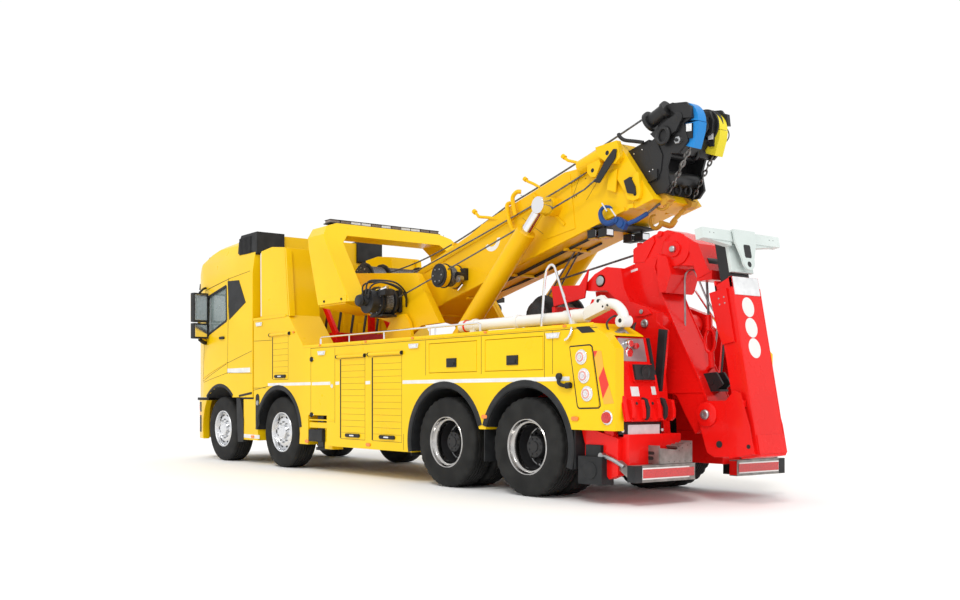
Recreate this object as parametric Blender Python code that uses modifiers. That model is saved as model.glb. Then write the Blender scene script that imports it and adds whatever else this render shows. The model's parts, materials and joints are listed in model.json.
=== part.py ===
"""A heavy four-axle recovery truck: forward-control cab, locker bodies, telescopic boom and folding underlift.

Metres, +X forward, +Y to the driver's left, +Z up. The origin is on the ground, halfway along the truck.
Stations along the truck are measured forward from the rearmost axle.
"""

import math

import bmesh
import bpy
from mathutils import Matrix, Vector

# Stations of the axles and ends, forward from axle 4
AXLE_GAP_12 = 1.975
AXLE_GAP_23 = 3.975
AXLE_GAP_34 = 1.370
FRONT_OVERHANG = 1.380
REAR_OVERHANG = 2.130
AXLE_4 = 0.0
AXLE_3 = AXLE_4 + AXLE_GAP_34
AXLE_2 = AXLE_3 + AXLE_GAP_23
AXLE_1 = AXLE_2 + AXLE_GAP_12
NOSE = AXLE_1 + FRONT_OVERHANG
DATUM_X = (REAR_OVERHANG - NOSE) / 2

# Clearances
SEAT_GAP = 0.0003
RUN_GAP = 0.006
OVERRUN = 0.05
BITE = 0.02
STRAIGHT = 0.0000001

# Colours and finishes: red, green, blue, roughness, metallic
YELLOW = (0.95, 0.66, 0.02, 0.35, 0.0)
RED = (0.80, 0.03, 0.02, 0.35, 0.0)
BLACK = (0.03, 0.03, 0.035, 0.5, 0.0)
GREY = (0.10, 0.10, 0.11, 0.55, 0.0)
RUBBER = (0.02, 0.02, 0.022, 0.85, 0.0)
CHROME = (0.80, 0.80, 0.82, 0.12, 1.0)
WHITE = (0.85, 0.85, 0.83, 0.4, 0.0)
SILVER = (0.55, 0.58, 0.58, 0.4, 0.6)
GLASS = (0.35, 0.50, 0.48, 0.1, 0.0)

# Wheels and tyres
TYRE_RADIUS = 0.530
RIM_RADIUS = 0.298
HUB_RADIUS = 0.120
FRONT_TYRE_WIDTH = 0.330
REAR_TYRE_WIDTH = 0.300
FRONT_WHEEL_Y = 1.030
REAR_WHEEL_Y = 0.905
TWIN_GAP = 0.045
WHEEL_STEPS = 20
AXLE_HEIGHT = TYRE_RADIUS

# Chassis frame
RAIL_Y = 0.37
RAIL_THICK = 0.08
RAIL_DEPTH = 0.28
RAIL_TOP = 1.00
RAIL_FRONT = NOSE - 0.45
RAIL_REAR = -0.62
CROSS_DEPTH = 0.16
CROSS_LENGTH = 0.10
CROSS_STATION_SHARES = (0.007, 0.16, 0.32, 0.52, 0.70, 0.815, 0.985)
RAIL_BOTTOM = RAIL_TOP - RAIL_DEPTH

# Front axles, springs and steering knuckles
KINGPIN_Y = 0.860
BEAM_HALF_WIDTH = 0.045
BEAM_DEPTH = 0.11
BEAM_DROP = 0.10
KINGPIN_RADIUS = 0.055
EYE_HALF_HEIGHT = 0.075
LUG_HEIGHT = 0.050
SPINDLE_RADIUS = 0.055
SPRING_HALF_LENGTH = 0.72
SPRING_THICK = 0.055
SPRING_WIDTH = 0.08
KNUCKLE_PLATE = 0.030

# Rear bogie
HOUSING_RADIUS = 0.085
PUMPKIN_RADIUS = 0.210
PUMPKIN_HALF_LENGTH = 0.17
PUMPKIN_RAISE = 0.013
DRUM_RADIUS = 0.205
DRUM_LENGTH = 0.14

# Cab
CAB_HALF_WIDTH = 1.250
CAB_LENGTH = 2.500
CAB_FRONT = NOSE - 0.04
CAB_REAR = CAB_FRONT - CAB_LENGTH
CAB_FLOOR = 1.050
CAB_ROOF = 3.620
CAB_HEIGHT = CAB_ROOF - CAB_FLOOR
CAB_WALL = 0.060
# Side outline: share of the length back from the face, share of the height up from the floor
CAB_SIDE_SHARES = (
    (0.000, 0.000), (0.008, 0.350), (0.096, 0.766), (0.184, 0.868), (0.344, 0.942), (0.504, 0.980),
    (0.704, 1.000), (1.000, 1.000), (1.000, 0.000),
)
# Plan outline of the left half: share of the length back from the face, share of the half width
CAB_PLAN_SHARES = (
    (0.000, 0.000), (0.000, 0.420), (0.018, 0.640), (0.070, 0.815), (0.150, 0.915), (0.270, 0.980),
    (0.400, 1.000), (1.000, 1.000), (1.000, 0.000),
)
# Cross-section of the left half: share of the half width, share of the height
CAB_SECTION_SHARES = ((1.000, 0.000), (1.000, 0.760), (0.965, 0.880), (0.900, 0.965), (0.800, 1.000), (0.000, 1.000), (0.000, 0.000))
CAB_TILT_BACK = 0.035
CAB_TILT_UP = 0.004
# Windscreen opening seen from ahead: share of the half width, share of the cab height
WINDSCREEN_SHARES = ((0.000, 0.380), (0.800, 0.380), (0.770, 0.700), (0.000, 0.735))
GLASS_THICK = 0.012

# Cab doors: outline in shares of the cab's length back and of its height up
CAB_MOUNT_STATIONS = (CAB_REAR + 0.08, RAIL_FRONT - 0.16)
CAB_MOUNT_LENGTH = 0.14
CAB_MOUNT_HALF_WIDTH = 0.045
DOOR_SHARES = ((0.252, 0.121), (0.652, 0.222), (0.672, 0.753), (0.324, 0.708), (0.288, 0.409))
DOOR_GAP = 0.006
DOOR_INSET = 0.10
DOOR_SKIN = 0.042
DOOR_FLANGE = 0.030
WINDOW_SHARES = ((0.317, 0.400), (0.326, 0.655), (0.634, 0.712), (0.640, 0.490))

# Apron under the cab: bumper, steps and front wheel arches in one U-shaped moulding
APRON_BOTTOM = 0.340
APRON_GAP = 0.050
APRON_WALL = 0.10
APRON_REAR = AXLE_1 + 0.30
ARCH_RADIUS = 0.700
ARCH_INNER_Y = 0.620
ARCH_STEPS = 28

# Mirrors
MIRROR_STATION_SHARE = 0.344
MIRROR_Y = 1.40
MIRROR_HALF_WIDTH = 0.125
MIRROR_THICK = 0.13
MIRROR_TALL = 0.47
MIRROR_LOW_TALL = 0.24
MIRROR_TOP = 2.80
MIRROR_SPLIT = 0.04
MIRROR_ROOT_SHARE = 0.308
MIRROR_ARM_RADIUS = 0.028

# Grille, roof deflector and cab interior
GRILLE_HALF_WIDTH = 0.62
GRILLE_THICK = 0.030
GRILLE_LOW_SHARE = 0.03
GRILLE_HIGH_SHARE = 0.27
DEFLECTOR_REACH = 0.60
DEFLECTOR_OVER = 0.05
DEFLECTOR_LOW = 3.270
DEFLECTOR_TOP = 3.650
DEFLECTOR_INNER_Y = 0.700
DEFLECTOR_OUTER_Y = 1.200
SEAT_WIDTH = 0.50
SEAT_Y = 0.68
DASH_DEPTH = 0.42
PAN_THICK = 0.040

# Locker bodies
BODY_HALF_WIDTH = 1.250
BODY_INNER_Y = 0.700
SKIRT_FRONT = CAB_REAR + 0.30
BODY_REAR = -1.26
BODY_LENGTH = SKIRT_FRONT - BODY_REAR
BODY_BOTTOM = 0.380
BODY_TOP = 1.800
SKIRT_TOP = 1.020
TOWER_TOP = 3.330
TOWER_HEIGHT = TOWER_TOP - BODY_BOTTOM
# Side outline: share of the length back from the skirt's front, share of the tower's height up
BODY_SIDE_SHARES = (
    (0.000, 0.000), (0.000, 0.217), (0.044, 0.217), (0.044, 0.644), (0.075, 0.647), (0.076, 0.990), (0.120, 1.000),
    (0.170, 0.983), (0.184, 0.640), (0.240, 0.4814), (0.954, 0.4814), (0.983, 0.440), (1.000, 0.390), (1.000, 0.120),
    (0.925, 0.120), (0.925, 0.000),
)
FENDER_RADIUS = 0.655
STEERED_FENDER_RADIUS = 0.645
FENDER_VALLEY = 0.700
OUTRIGGER_STATION = 4.22
OUTRIGGER_BAY_HALF = 0.25
OUTRIGGER_BAY_TOP = 0.800
LID_STATIONS = ((1.660, 0.780), (0.640, -0.280))
LID_BOTTOM = 1.345
LID_TOP = 1.700
LID_THICK = 0.030
LID_GAP = 0.006
LID_REBATE = 0.030
POCKET_DEPTH = 0.420
POCKET_MARGIN = 0.045
HINGE_DROP = 0.010

# Outriggers
OUTRIGGER_Y = 1.12
OUTRIGGER_HALF = 0.075
OUTRIGGER_TUBE_HALF = 0.105
FOOT_RADIUS = 0.130
FOOT_THICK = 0.030
FOOT_HEIGHT = 0.340
OUTRIGGER_TRAVEL = 0.320

# Recovery subframe, red
SUB_HALF_WIDTH = 0.44
SUB_BOTTOM = RAIL_TOP + SEAT_GAP
SUB_TOP = 1.310
SUB_FRONT = CAB_REAR - 0.16
DECK_THICK = 0.05
TAIL_FRONT = -0.70
TAIL_REAR = -1.30
TAIL_BOTTOM = 0.360
TAIL_HALF_WIDTH = 1.10
TAIL_BEAM_TOP = 0.700
SLOT_HALF_WIDTH = 0.335

# Boom pivot and pedestal
PIVOT_X = 3.050
PIVOT_Z = 2.040
PEDESTAL_Y = 0.620
PEDESTAL_THICK = 0.050
PIVOT_BOSS_RADIUS = 0.110
# Pedestal cheek: station ahead of the pivot and height above it, in shares of the pivot's height over the deck
PEDESTAL_SHARES = (
    (0.950, -1.000), (0.420, -0.100), (0.280, 0.060), (0.080, 0.170), (-0.150, 0.180), (-0.300, 0.000), (-0.550, -1.000),
)
PEDESTAL_RISE = PIVOT_Z - SUB_TOP

# Winch frame, which turns with the boom
FRAME_FRONT = 4.400
FRAME_LENGTH = 2.150
FRAME_LOW = 1.850
FRAME_HEIGHT = 1.010
FRAME_Y = 0.540
FRAME_THICK = 0.060
FRAME_SHARES = (
    (0.010, 0.490), (0.000, 1.000), (0.587, 0.880), (0.755, 0.845), (0.988, 0.160), (0.813, 0.150), (0.740, 0.090),
    (0.680, 0.020), (0.590, 0.000), (0.520, 0.080), (0.480, 0.230),
)
COLUMN_SHARES = ((0.610, 0.870), (0.755, 0.845), (0.988, 0.160), (0.813, 0.150))
COLUMN_PROUD = 0.045
FLOOR_THICK = 0.050
WING_OUT_Y = 1.230
WING_DROP = 0.120
WING_FRONT = 4.190
WING_REAR = 3.520
HOOP_HALF_WIDTH = 1.250
HOOP_TOP = 3.540
HOOP_BOTTOM = 2.345
HOOP_HEIGHT = HOOP_TOP - HOOP_BOTTOM
HOOP_LEG = 0.300
HOOP_BEAM = 0.195
HOOP_FRONT = 4.560
HOOP_LENGTH = 1.165
# Side outline of a leg: share of the length back from the front, share of the height up
HOOP_SIDE_SHARES = ((0.305, 0.000), (0.000, 0.960), (0.030, 1.000), (0.290, 1.000), (0.350, 0.920), (1.000, 0.000))
# Rear view of the left half: share of the half width, share of the height
HOOP_OUTER_SHARES = ((0.740, 1.000), (0.900, 0.945), (0.985, 0.830), (1.000, 0.700), (1.000, 0.000))

# Boom
BOOM_ANGLE = math.radians(13.7)
BOOM_HALF_WIDTH = 0.350
BOOM_LOW = 0.110
BOOM_HIGH = 0.800
BOOM_FRONT = -0.020
BOOM_TIP = 4.000
BOOM_LENGTH = BOOM_TIP - BOOM_FRONT
BOOM_DEPTH = BOOM_HIGH - BOOM_LOW
# Side outline in shares of the boom's length and depth: low root, ridge over the cylinders, slanted mouth
BOOM_SHARES = (
    (0.000, 0.000), (0.000, 0.820), (0.090, 0.900), (0.330, 1.000), (0.430, 1.080), (0.760, 1.120), (0.850, 1.000),
    (0.962, 1.000), (1.037, 0.000),
)
COLLAR_LENGTH = 0.22
COLLAR_PROUD = 0.035
COLLAR_SLANT = 0.300
INNER_HALF_WIDTH = 0.290
INNER_LOW = 0.165
INNER_HIGH = 0.745
INNER_TAIL = 1.500
INNER_TIP = 4.250
EXTEND_TRAVEL = 1.900
HEAD_PLATE = 0.05
HEAD_HALF_WIDTH = 0.360
SHEAVE_RADIUS = 0.20
SHEAVE_THICK = 0.09
SHEAVE_Y = 0.22
LIFT_MAX_DEG = 20.0
ROOT_PLATE_S = 0.160

# Lift cylinders
CYL_Y = 0.560
CYL_RADIUS = 0.120
CYL_BASE_X = 2.100
CYL_BASE_Z = 1.600
CYL_TOP_S = 2.810
CYL_TOP_T = 0.550
CYL_BARREL_LENGTH = 1.960
CYL_NECK = 0.200
ROD_RADIUS = 0.065
EYE_RADIUS = 0.110
EYE_HALF_WIDTH = 0.075
CHEEK_THICK = 0.030

# Winches
DRUM_FLANGE = 0.270
DRUM_CORE = 0.160
FLANGE_THICK = 0.030
WINCH_STEPS = 18
UPPER_WINCH_X = 4.180
UPPER_WINCH_Z = 2.730
SIDE_WINCH_X = 3.215
SIDE_WINCH_Z = 2.340
SIDE_WINCH_LENGTH = 0.560
SIDE_DRUM_X = 2.200
SIDE_DRUM_Z = 2.610

# Underlift
ARM_PIVOT_X = -0.930
ARM_PIVOT_Z = 1.830
ARM_HALF_WIDTH = 0.325
ARM_REACH = 1.690
ARM_FRONT = 0.100
ARM_LOW = 0.680
ARM_HIGH = 2.520
ARM_TALL = ARM_HIGH - ARM_LOW
# Side outline: share of the reach back from the front tip, share of the height up
ARM_SHARES = (
    (0.000, 0.838), (0.216, 0.959), (0.364, 0.931), (0.600, 1.000), (0.657, 0.820), (0.780, 0.786), (0.990, 0.355),
    (1.000, 0.130), (0.960, 0.040), (0.880, 0.000), (0.740, 0.090), (0.668, 0.230), (0.447, 0.708), (0.350, 0.724),
)
KNEE_X = -1.560
KNEE_Z = 0.890
KNEE_BOSS = 0.120
MAST_HALF_WIDTH = 0.215
MAST_THICK = 0.202
MAST_LOW = 0.500
MAST_HIGH = 2.140
MAST_FOOT_X = -1.912
MAST_LEAN = math.radians(10.3)
MAST_WALL = 0.035
FORK_THICK = 0.045
STINGER_HALF_WIDTH = 0.150
STINGER_THICK = 0.120
STINGER_BACK = 0.050
STINGER_UP = 0.555
STINGER_IN = 1.30
STINGER_TRAVEL = 0.28
TBAR_HALF_WIDTH = 0.600
TBAR_DEPTH = 0.110
TBAR_THICK = 0.090
PLATE_HALF_TOP = 0.170
PLATE_TALL = 0.400

# Arm cylinder
RAM_BASE_X = -0.300
RAM_BASE_Z = 1.400
RAM_TOP_X = -0.280
RAM_TOP_Z = 2.330
RAM_RADIUS = 0.070
RAM_ROD_RADIUS = 0.035

# Rear cabinets, underrun and tow bar
CABINET_IN_Y = 0.600
CABINET_OUT_Y = 1.120
CABINET_FRONT = -0.900
CABINET_REAR = -1.270
CABINET_LOW = 0.820
CABINET_HIGH = 1.660
UNDERRUN_OUT_Y = 1.180
UNDERRUN_IN_Y = 0.370
UNDERRUN_LOW = 0.250
UNDERRUN_HIGH = 0.400
UNDERRUN_REAR = -1.440
TOWBAR_Y = 0.950
TOWBAR_RADIUS = 0.065
TOWBAR_Z = 1.900
TOWBAR_FRONT = 1.40
TOWBAR_REAR = -0.62


def clear_scene():
    """Empties the startup scene, its objects and its collections' contents."""
    for found in list(bpy.data.objects):
        bpy.data.objects.remove(found, do_unlink=True)


clear_scene()
TRUCK = bpy.data.collections.new("recovery_truck")
bpy.context.scene.collection.children.link(TRUCK)
DATUM = bpy.data.objects.new("rear_axle_datum", None)
DATUM.location = (DATUM_X, 0.0, 0.0)
TRUCK.objects.link(DATUM)


def finish_of(name, values):
    """A Principled material of one colour, shared by the pieces that ask for it."""
    material = bpy.data.materials.get(name)
    if material is None:
        material = bpy.data.materials.new(name)
        material.use_nodes = True
        shader = material.node_tree.nodes["Principled BSDF"]
        shader.inputs["Base Color"].default_value = (*values[:3], 1.0)
        shader.inputs["Roughness"].default_value = values[3]
        shader.inputs["Metallic"].default_value = values[4]
        material.diffuse_color = (*values[:3], 1.0)
    return material


FINISHES = {
    "yellow": YELLOW, "red": RED, "black": BLACK, "grey": GREY, "rubber": RUBBER, "chrome": CHROME,
    "white": WHITE, "silver": SILVER, "glass": GLASS,
}


def temporary(mesh):
    """A mesh as an unnamed working object."""
    made = bpy.data.objects.new("working", mesh)
    TRUCK.objects.link(made)
    return made


def evaluated_copy(source):
    """The object as its modifiers leave it, as a plain mesh object; the source is removed."""
    bpy.context.view_layer.update()
    graph = bpy.context.evaluated_depsgraph_get()
    mesh = bpy.data.meshes.new_from_object(source.evaluated_get(graph))
    mesh.transform(source.matrix_world)
    bpy.data.objects.remove(source, do_unlink=True)
    return temporary(mesh)


WELD = 0.00005


def tidy(mesh, cap_heights=()):
    """Welds a curve's loose caps to its sides, makes each flat cap one polygon and turns every face outwards."""
    cage = bmesh.new()
    cage.from_mesh(mesh)
    bmesh.ops.remove_doubles(cage, verts=cage.verts, dist=WELD)
    for height in cap_heights:
        cap = [face for face in cage.faces if all(abs(vert.co.z - height) < WELD for vert in face.verts)]
        bmesh.ops.dissolve_faces(cage, faces=cap)
    bmesh.ops.recalc_face_normals(cage, faces=cage.faces)
    cage.to_mesh(mesh)
    cage.free()


def block(low, high):
    """A box between two opposite corners."""
    cage = bmesh.new()
    bmesh.ops.create_cube(cage, size=1.0)
    low, high = Vector(low), Vector(high)
    size = high - low
    bmesh.ops.scale(cage, vec=size, verts=cage.verts)
    bmesh.ops.translate(cage, vec=(low + high) / 2, verts=cage.verts)
    mesh = bpy.data.meshes.new("block")
    cage.to_mesh(mesh)
    cage.free()
    return temporary(mesh)


TURNS = {
    "Y": Matrix(((1, 0, 0), (0, 0, 1), (0, 1, 0))),
    "X": Matrix(((0, 0, 1), (1, 0, 0), (0, 1, 0))),
    "Z": Matrix(((1, 0, 0), (0, 1, 0), (0, 0, 1))),
}


def corners_only(points):
    """The outline without points that lie on the straight line between their neighbours."""
    kept = []
    for before, here, after in zip(points[-1:] + points[:-1], points, points[1:] + points[:1]):
        bend = (here[0] - before[0]) * (after[1] - here[1]) - (here[1] - before[1]) * (after[0] - here[0])
        if abs(bend) > STRAIGHT:
            kept.append(here)
    return kept


def prism(points, along, low, high):
    """A flat outline with thickness along one axis. Points are (x, z) for Y, (y, z) for X and (x, y) for Z."""
    points = corners_only(list(points))
    flat = bpy.data.curves.new("outline", "CURVE")
    flat.dimensions = "2D"
    flat.fill_mode = "BOTH"
    flat.extrude = (high - low) / 2
    line = flat.splines.new("POLY")
    line.points.add(len(points) - 1)
    for point, (a, b) in zip(line.points, points):
        point.co = (a, b, 0.0, 1.0)
    line.use_cyclic_u = True
    made = evaluated_copy(temporary(flat))
    tidy(made.data, (flat.extrude, -flat.extrude))
    centre = {"X": 0, "Y": 1, "Z": 2}[along]
    made.data.transform(TURNS[along].to_4x4())
    shift = Vector((0.0, 0.0, 0.0))
    shift[centre] = (low + high) / 2
    made.data.transform(Matrix.Translation(shift))
    tidy(made.data)
    return made


def rod(start, end, radius, steps=16, end_radius=None):
    """A round bar, or a cone when the second radius differs, between two points."""
    start, end = Vector(start), Vector(end)
    along = end - start
    cage = bmesh.new()
    bmesh.ops.create_cone(
        cage, cap_ends=True, segments=steps, radius1=radius, radius2=radius if end_radius is None else end_radius,
        depth=along.length,
    )
    turn = along.to_track_quat("Z", "Y").to_matrix().to_4x4()
    bmesh.ops.transform(cage, matrix=Matrix.Translation((start + end) / 2) @ turn, verts=cage.verts)
    mesh = bpy.data.meshes.new("rod")
    cage.to_mesh(mesh)
    cage.free()
    return temporary(mesh)


def tube(points, radius):
    """A bent round bar through the points."""
    line = bpy.data.curves.new("tube", "CURVE")
    line.dimensions = "3D"
    line.bevel_depth = radius
    line.bevel_resolution = 1
    line.use_fill_caps = True
    path = line.splines.new("POLY")
    path.points.add(len(points) - 1)
    for point, place in zip(path.points, points):
        point.co = (*place, 1.0)
    made = evaluated_copy(temporary(line))
    tidy(made.data)
    return made


def turned(profile, centre, steps=WHEEL_STEPS):
    """A turned shape about an axis along Y. The profile is (radius, y) pairs from one end of the axis to the other."""
    cage = bmesh.new()
    ring = [cage.verts.new((radius, y, 0.0)) for radius, y in profile]
    for a, b in zip(ring, ring[1:]):
        cage.edges.new((a, b))
    mesh = bpy.data.meshes.new("turned")
    cage.to_mesh(mesh)
    cage.free()
    made = temporary(mesh)
    screw = made.modifiers.new("turn", "SCREW")
    screw.axis = "Y"
    screw.angle = math.tau
    screw.steps = screw.render_steps = steps
    screw.use_merge_vertices = True
    screw.merge_threshold = 0.0001
    made = evaluated_copy(made)
    tidy(made.data)
    made.data.transform(Matrix.Translation(centre))
    return made


def combine(solid, others, operation):
    """The solid with the others joined to it, cut from it, or kept only where it meets them."""
    for other in others:
        step = solid.modifiers.new(operation.lower(), "BOOLEAN")
        step.operation = operation
        step.solver = "EXACT"
        step.object = other
    made = evaluated_copy(solid)
    for other in others:
        bpy.data.objects.remove(other, do_unlink=True)
    return made


def node(name, finish, solids, cuts=(), pivot=(0.0, 0.0, 0.0), parent=None):
    """Fuses solids, takes the cuts away, and names the result as one sub-part whose origin is its joint."""
    made = combine(solids[0], list(solids[1:]), "UNION") if len(solids) > 1 else solids[0]
    if cuts:
        made = combine(made, list(cuts), "DIFFERENCE")
    made.data.transform(Matrix.Translation(-Vector(pivot)))
    made.name = name
    made.data.name = name
    made.data.materials.clear()
    made.data.materials.append(finish_of(finish, FINISHES[finish]))
    made.parent = parent or DATUM
    made.location = pivot
    made.data.shade_smooth()
    made.data.set_sharp_from_angle(angle=math.radians(35.0))
    return made


def other_side(source, name):
    """The right-hand copy of a left-hand piece, sharing its mesh."""
    made = bpy.data.objects.new(name, source.data)
    TRUCK.objects.link(made)
    made.parent = source.parent
    made.location = (source.location.x, -source.location.y, source.location.z)
    made.scale = (1.0, -1.0, 1.0)
    return made


def along_boom(s, t):
    """Station (x, z) of a point s along the boom and t above its line, from the boom's pivot."""
    return (
        PIVOT_X - s * math.cos(BOOM_ANGLE) + t * math.sin(BOOM_ANGLE),
        PIVOT_Z + s * math.sin(BOOM_ANGLE) + t * math.cos(BOOM_ANGLE),
    )


def boom_box(s_low, s_high, t_low, t_high, y_low, y_high):
    """A block square to the boom."""
    corners = [along_boom(s, t) for s, t in ((s_low, t_low), (s_high, t_low), (s_high, t_high), (s_low, t_high))]
    return prism(corners, "Y", y_low, y_high)


def along_mast(u, v):
    """Station (x, z) of a point u up the folded mast and v ahead of its rear face."""
    return (
        MAST_FOOT_X - MAST_THICK + u * math.sin(MAST_LEAN) + v * math.cos(MAST_LEAN),
        MAST_LOW + u * math.cos(MAST_LEAN) - v * math.sin(MAST_LEAN),
    )


def mast_box(u_low, u_high, v_low, v_high, y_low, y_high):
    """A block square to the folded mast."""
    corners = [along_mast(u, v) for u, v in ((u_low, v_low), (u_high, v_low), (u_high, v_high), (u_low, v_high))]
    return prism(corners, "Y", y_low, y_high)


def spread(shares, front, length, low, height):
    """Outline points (x, z) from shares of a length counted back from the front and of a height counted up."""
    return [(front - a * length, low + b * height) for a, b in shares]


def both_halves(half):
    """A left-half outline (side, up) closed by its mirror image."""
    return list(half) + [(-a, b) for a, b in reversed(half) if a > 0.0]


def front_wheel(name, station):
    """A steered wheel: convex disc, hub that stands out, single tyre."""
    half = FRONT_TYRE_WIDTH / 2
    tyre_height = TYRE_RADIUS - RIM_RADIUS
    lip = RIM_RADIUS
    profile = (
        (0.0, half * 0.96), (HUB_RADIUS * 0.85, half * 0.94), (HUB_RADIUS, half * 0.58), (lip * 0.86, half * 0.50),
        (lip * 0.93, half * 0.93), (lip, half * 0.93), (lip + tyre_height * 0.45, half), (TYRE_RADIUS * 0.96, half * 0.93),
        (TYRE_RADIUS, half * 0.76), (TYRE_RADIUS, -half * 0.76), (TYRE_RADIUS * 0.96, -half * 0.93),
        (lip + tyre_height * 0.45, -half), (lip, -half * 0.93), (lip * 0.86, half * 0.30), (HUB_RADIUS, half * 0.25),
        (HUB_RADIUS, -half * 0.30), (0.0, -half * 0.30),
    )
    centre = Vector((station, FRONT_WHEEL_Y, AXLE_HEIGHT))
    return node(name, "rubber", [turned(profile, centre)], pivot=centre)


def twin_wheel(name, station):
    """A driven wheel: two tyres on one dished pair of rims."""
    wide = REAR_TYRE_WIDTH
    out = wide + TWIN_GAP / 2
    mid = TWIN_GAP / 2
    lip = RIM_RADIUS
    bulge = RIM_RADIUS + (TYRE_RADIUS - RIM_RADIUS) * 0.45
    crown = TYRE_RADIUS
    shoulder = TYRE_RADIUS * 0.955
    step = wide * 0.06
    outer_half = (
        (0.0, out * 0.50), (HUB_RADIUS * 0.85, out * 0.49), (HUB_RADIUS, out * 0.18), (lip * 0.84, out * 0.14),
        (lip * 0.93, out - step), (lip, out - step), (bulge, out), (shoulder, out - step),
        (crown, out - 2 * step), (crown, mid + 2 * step), (shoulder, mid + step), (lip, mid + step),
    )
    inner_half = (
        (lip, -mid - step), (shoulder, -mid - step), (crown, -mid - 2 * step), (crown, -out + 2 * step),
        (shoulder, -out + step), (bulge, -out), (lip, -out + step), (lip * 0.84, -out * 0.20), (HUB_RADIUS, -out * 0.16),
        (0.0, -out * 0.16),
    )
    centre = Vector((station, REAR_WHEEL_Y, AXLE_HEIGHT))
    return node(name, "rubber", [turned(outer_half + inner_half, centre)], pivot=centre)


def chassis_frame():
    """Two deep rails and their cross members."""
    rails = [
        block((RAIL_REAR, side * RAIL_Y - RAIL_THICK / 2, RAIL_BOTTOM), (RAIL_FRONT, side * RAIL_Y + RAIL_THICK / 2, RAIL_TOP))
        for side in (-1, 1)
    ]
    span = RAIL_FRONT - RAIL_REAR
    middle = (RAIL_TOP + RAIL_BOTTOM) / 2
    crosses = [
        block(
            (RAIL_REAR + share * span - CROSS_LENGTH / 2, -RAIL_Y, middle - CROSS_DEPTH / 2),
            (RAIL_REAR + share * span + CROSS_LENGTH / 2, RAIL_Y, middle + CROSS_DEPTH / 2),
        )
        for share in CROSS_STATION_SHARES
    ]
    mounts = [
        block(
            (station, side * RAIL_Y - CAB_MOUNT_HALF_WIDTH, RAIL_TOP - BITE),
            (station + CAB_MOUNT_LENGTH, side * RAIL_Y + CAB_MOUNT_HALF_WIDTH, CAB_FLOOR - SEAT_GAP),
        )
        for side in (-1, 1) for station in CAB_MOUNT_STATIONS
    ]
    return node("chassis_frame", "black", rails + crosses + mounts)


ENGINE_LENGTH = 1.25
ENGINE_HALF_WIDTH = RAIL_Y - RAIL_THICK / 2 - SEAT_GAP
ENGINE_BOTTOM = 0.60
ENGINE_TOP = 1.03
ENGINE_FRONT = AXLE_1 + 0.72


def engine_block():
    """The engine as one plain mass between the rails, clear of the cross members."""
    return node("engine_block", "grey", [block(
        (ENGINE_FRONT - ENGINE_LENGTH, -ENGINE_HALF_WIDTH, ENGINE_BOTTOM), (ENGINE_FRONT, ENGINE_HALF_WIDTH, ENGINE_TOP),
    )])


def front_axle(name, station):
    """A dropped beam with kingpin eyes, carried by two leaf springs under the rails."""
    top = AXLE_HEIGHT + BEAM_DEPTH / 2
    low = AXLE_HEIGHT - BEAM_DEPTH / 2
    inner = KINGPIN_Y * 0.72
    flat = KINGPIN_Y * 0.60
    beam = prism(
        both_halves([(0.0, top - BEAM_DROP), (flat, top - BEAM_DROP), (inner, top), (KINGPIN_Y, top), (KINGPIN_Y, low), (inner, low),
                     (flat, low - BEAM_DROP), (0.0, low - BEAM_DROP)]),
        "X", station - BEAM_HALF_WIDTH, station + BEAM_HALF_WIDTH,
    )
    eyes = [
        rod((station, side * KINGPIN_Y, AXLE_HEIGHT - EYE_HALF_HEIGHT), (station, side * KINGPIN_Y, AXLE_HEIGHT + EYE_HALF_HEIGHT), KINGPIN_RADIUS, 12)
        for side in (-1, 1)
    ]
    hang = RAIL_BOTTOM - SEAT_GAP
    seat = AXLE_HEIGHT + BEAM_DEPTH / 2 - BEAM_DROP
    springs = []
    for side in (-1, 1):
        outline = [
            (station - SPRING_HALF_LENGTH, hang), (station - SPRING_HALF_LENGTH * 0.86, hang),
            (station - SPRING_HALF_LENGTH * 0.5, seat + SPRING_THICK * 1.7), (station, seat + SPRING_THICK),
            (station + SPRING_HALF_LENGTH * 0.5, seat + SPRING_THICK * 1.7), (station + SPRING_HALF_LENGTH * 0.86, hang),
            (station + SPRING_HALF_LENGTH, hang), (station + SPRING_HALF_LENGTH * 0.5, seat + SPRING_THICK * 0.5),
            (station, seat - BITE), (station - SPRING_HALF_LENGTH * 0.5, seat + SPRING_THICK * 0.5),
        ]
        springs.append(prism(outline, "Y", side * RAIL_Y - SPRING_WIDTH / 2, side * RAIL_Y + SPRING_WIDTH / 2))
    return node(name, "black", [beam] + eyes + springs)


def knuckle(name, station):
    """A steering knuckle: lugs above and below the beam's eye, a back plate and the wheel's spindle."""
    pin = Vector((station, KINGPIN_Y, AXLE_HEIGHT))
    face = FRONT_WHEEL_Y - FRONT_TYRE_WIDTH / 2 * 0.30 - SEAT_GAP
    plate_in = KINGPIN_Y + KINGPIN_RADIUS + RUN_GAP
    plate_out = plate_in + KNUCKLE_PLATE
    reach = EYE_HALF_HEIGHT + SEAT_GAP + LUG_HEIGHT
    solids = [block((station - KINGPIN_RADIUS, plate_in, AXLE_HEIGHT - reach), (station + KINGPIN_RADIUS, plate_out, AXLE_HEIGHT + reach))]
    for side in (-1, 1):
        near = AXLE_HEIGHT + side * (EYE_HALF_HEIGHT + SEAT_GAP)
        far = AXLE_HEIGHT + side * reach
        solids.append(rod((station, KINGPIN_Y, near), (station, KINGPIN_Y, far), KINGPIN_RADIUS, 12))
        solids.append(block(
            (station - KINGPIN_RADIUS * 0.8, KINGPIN_Y, min(near, far)), (station + KINGPIN_RADIUS * 0.8, plate_in + BITE, max(near, far))
        ))
    solids.append(rod((station, plate_out - BITE, AXLE_HEIGHT), (station, face, AXLE_HEIGHT), SPINDLE_RADIUS, 12))
    return node(name, "black", solids, pivot=pin)


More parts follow.
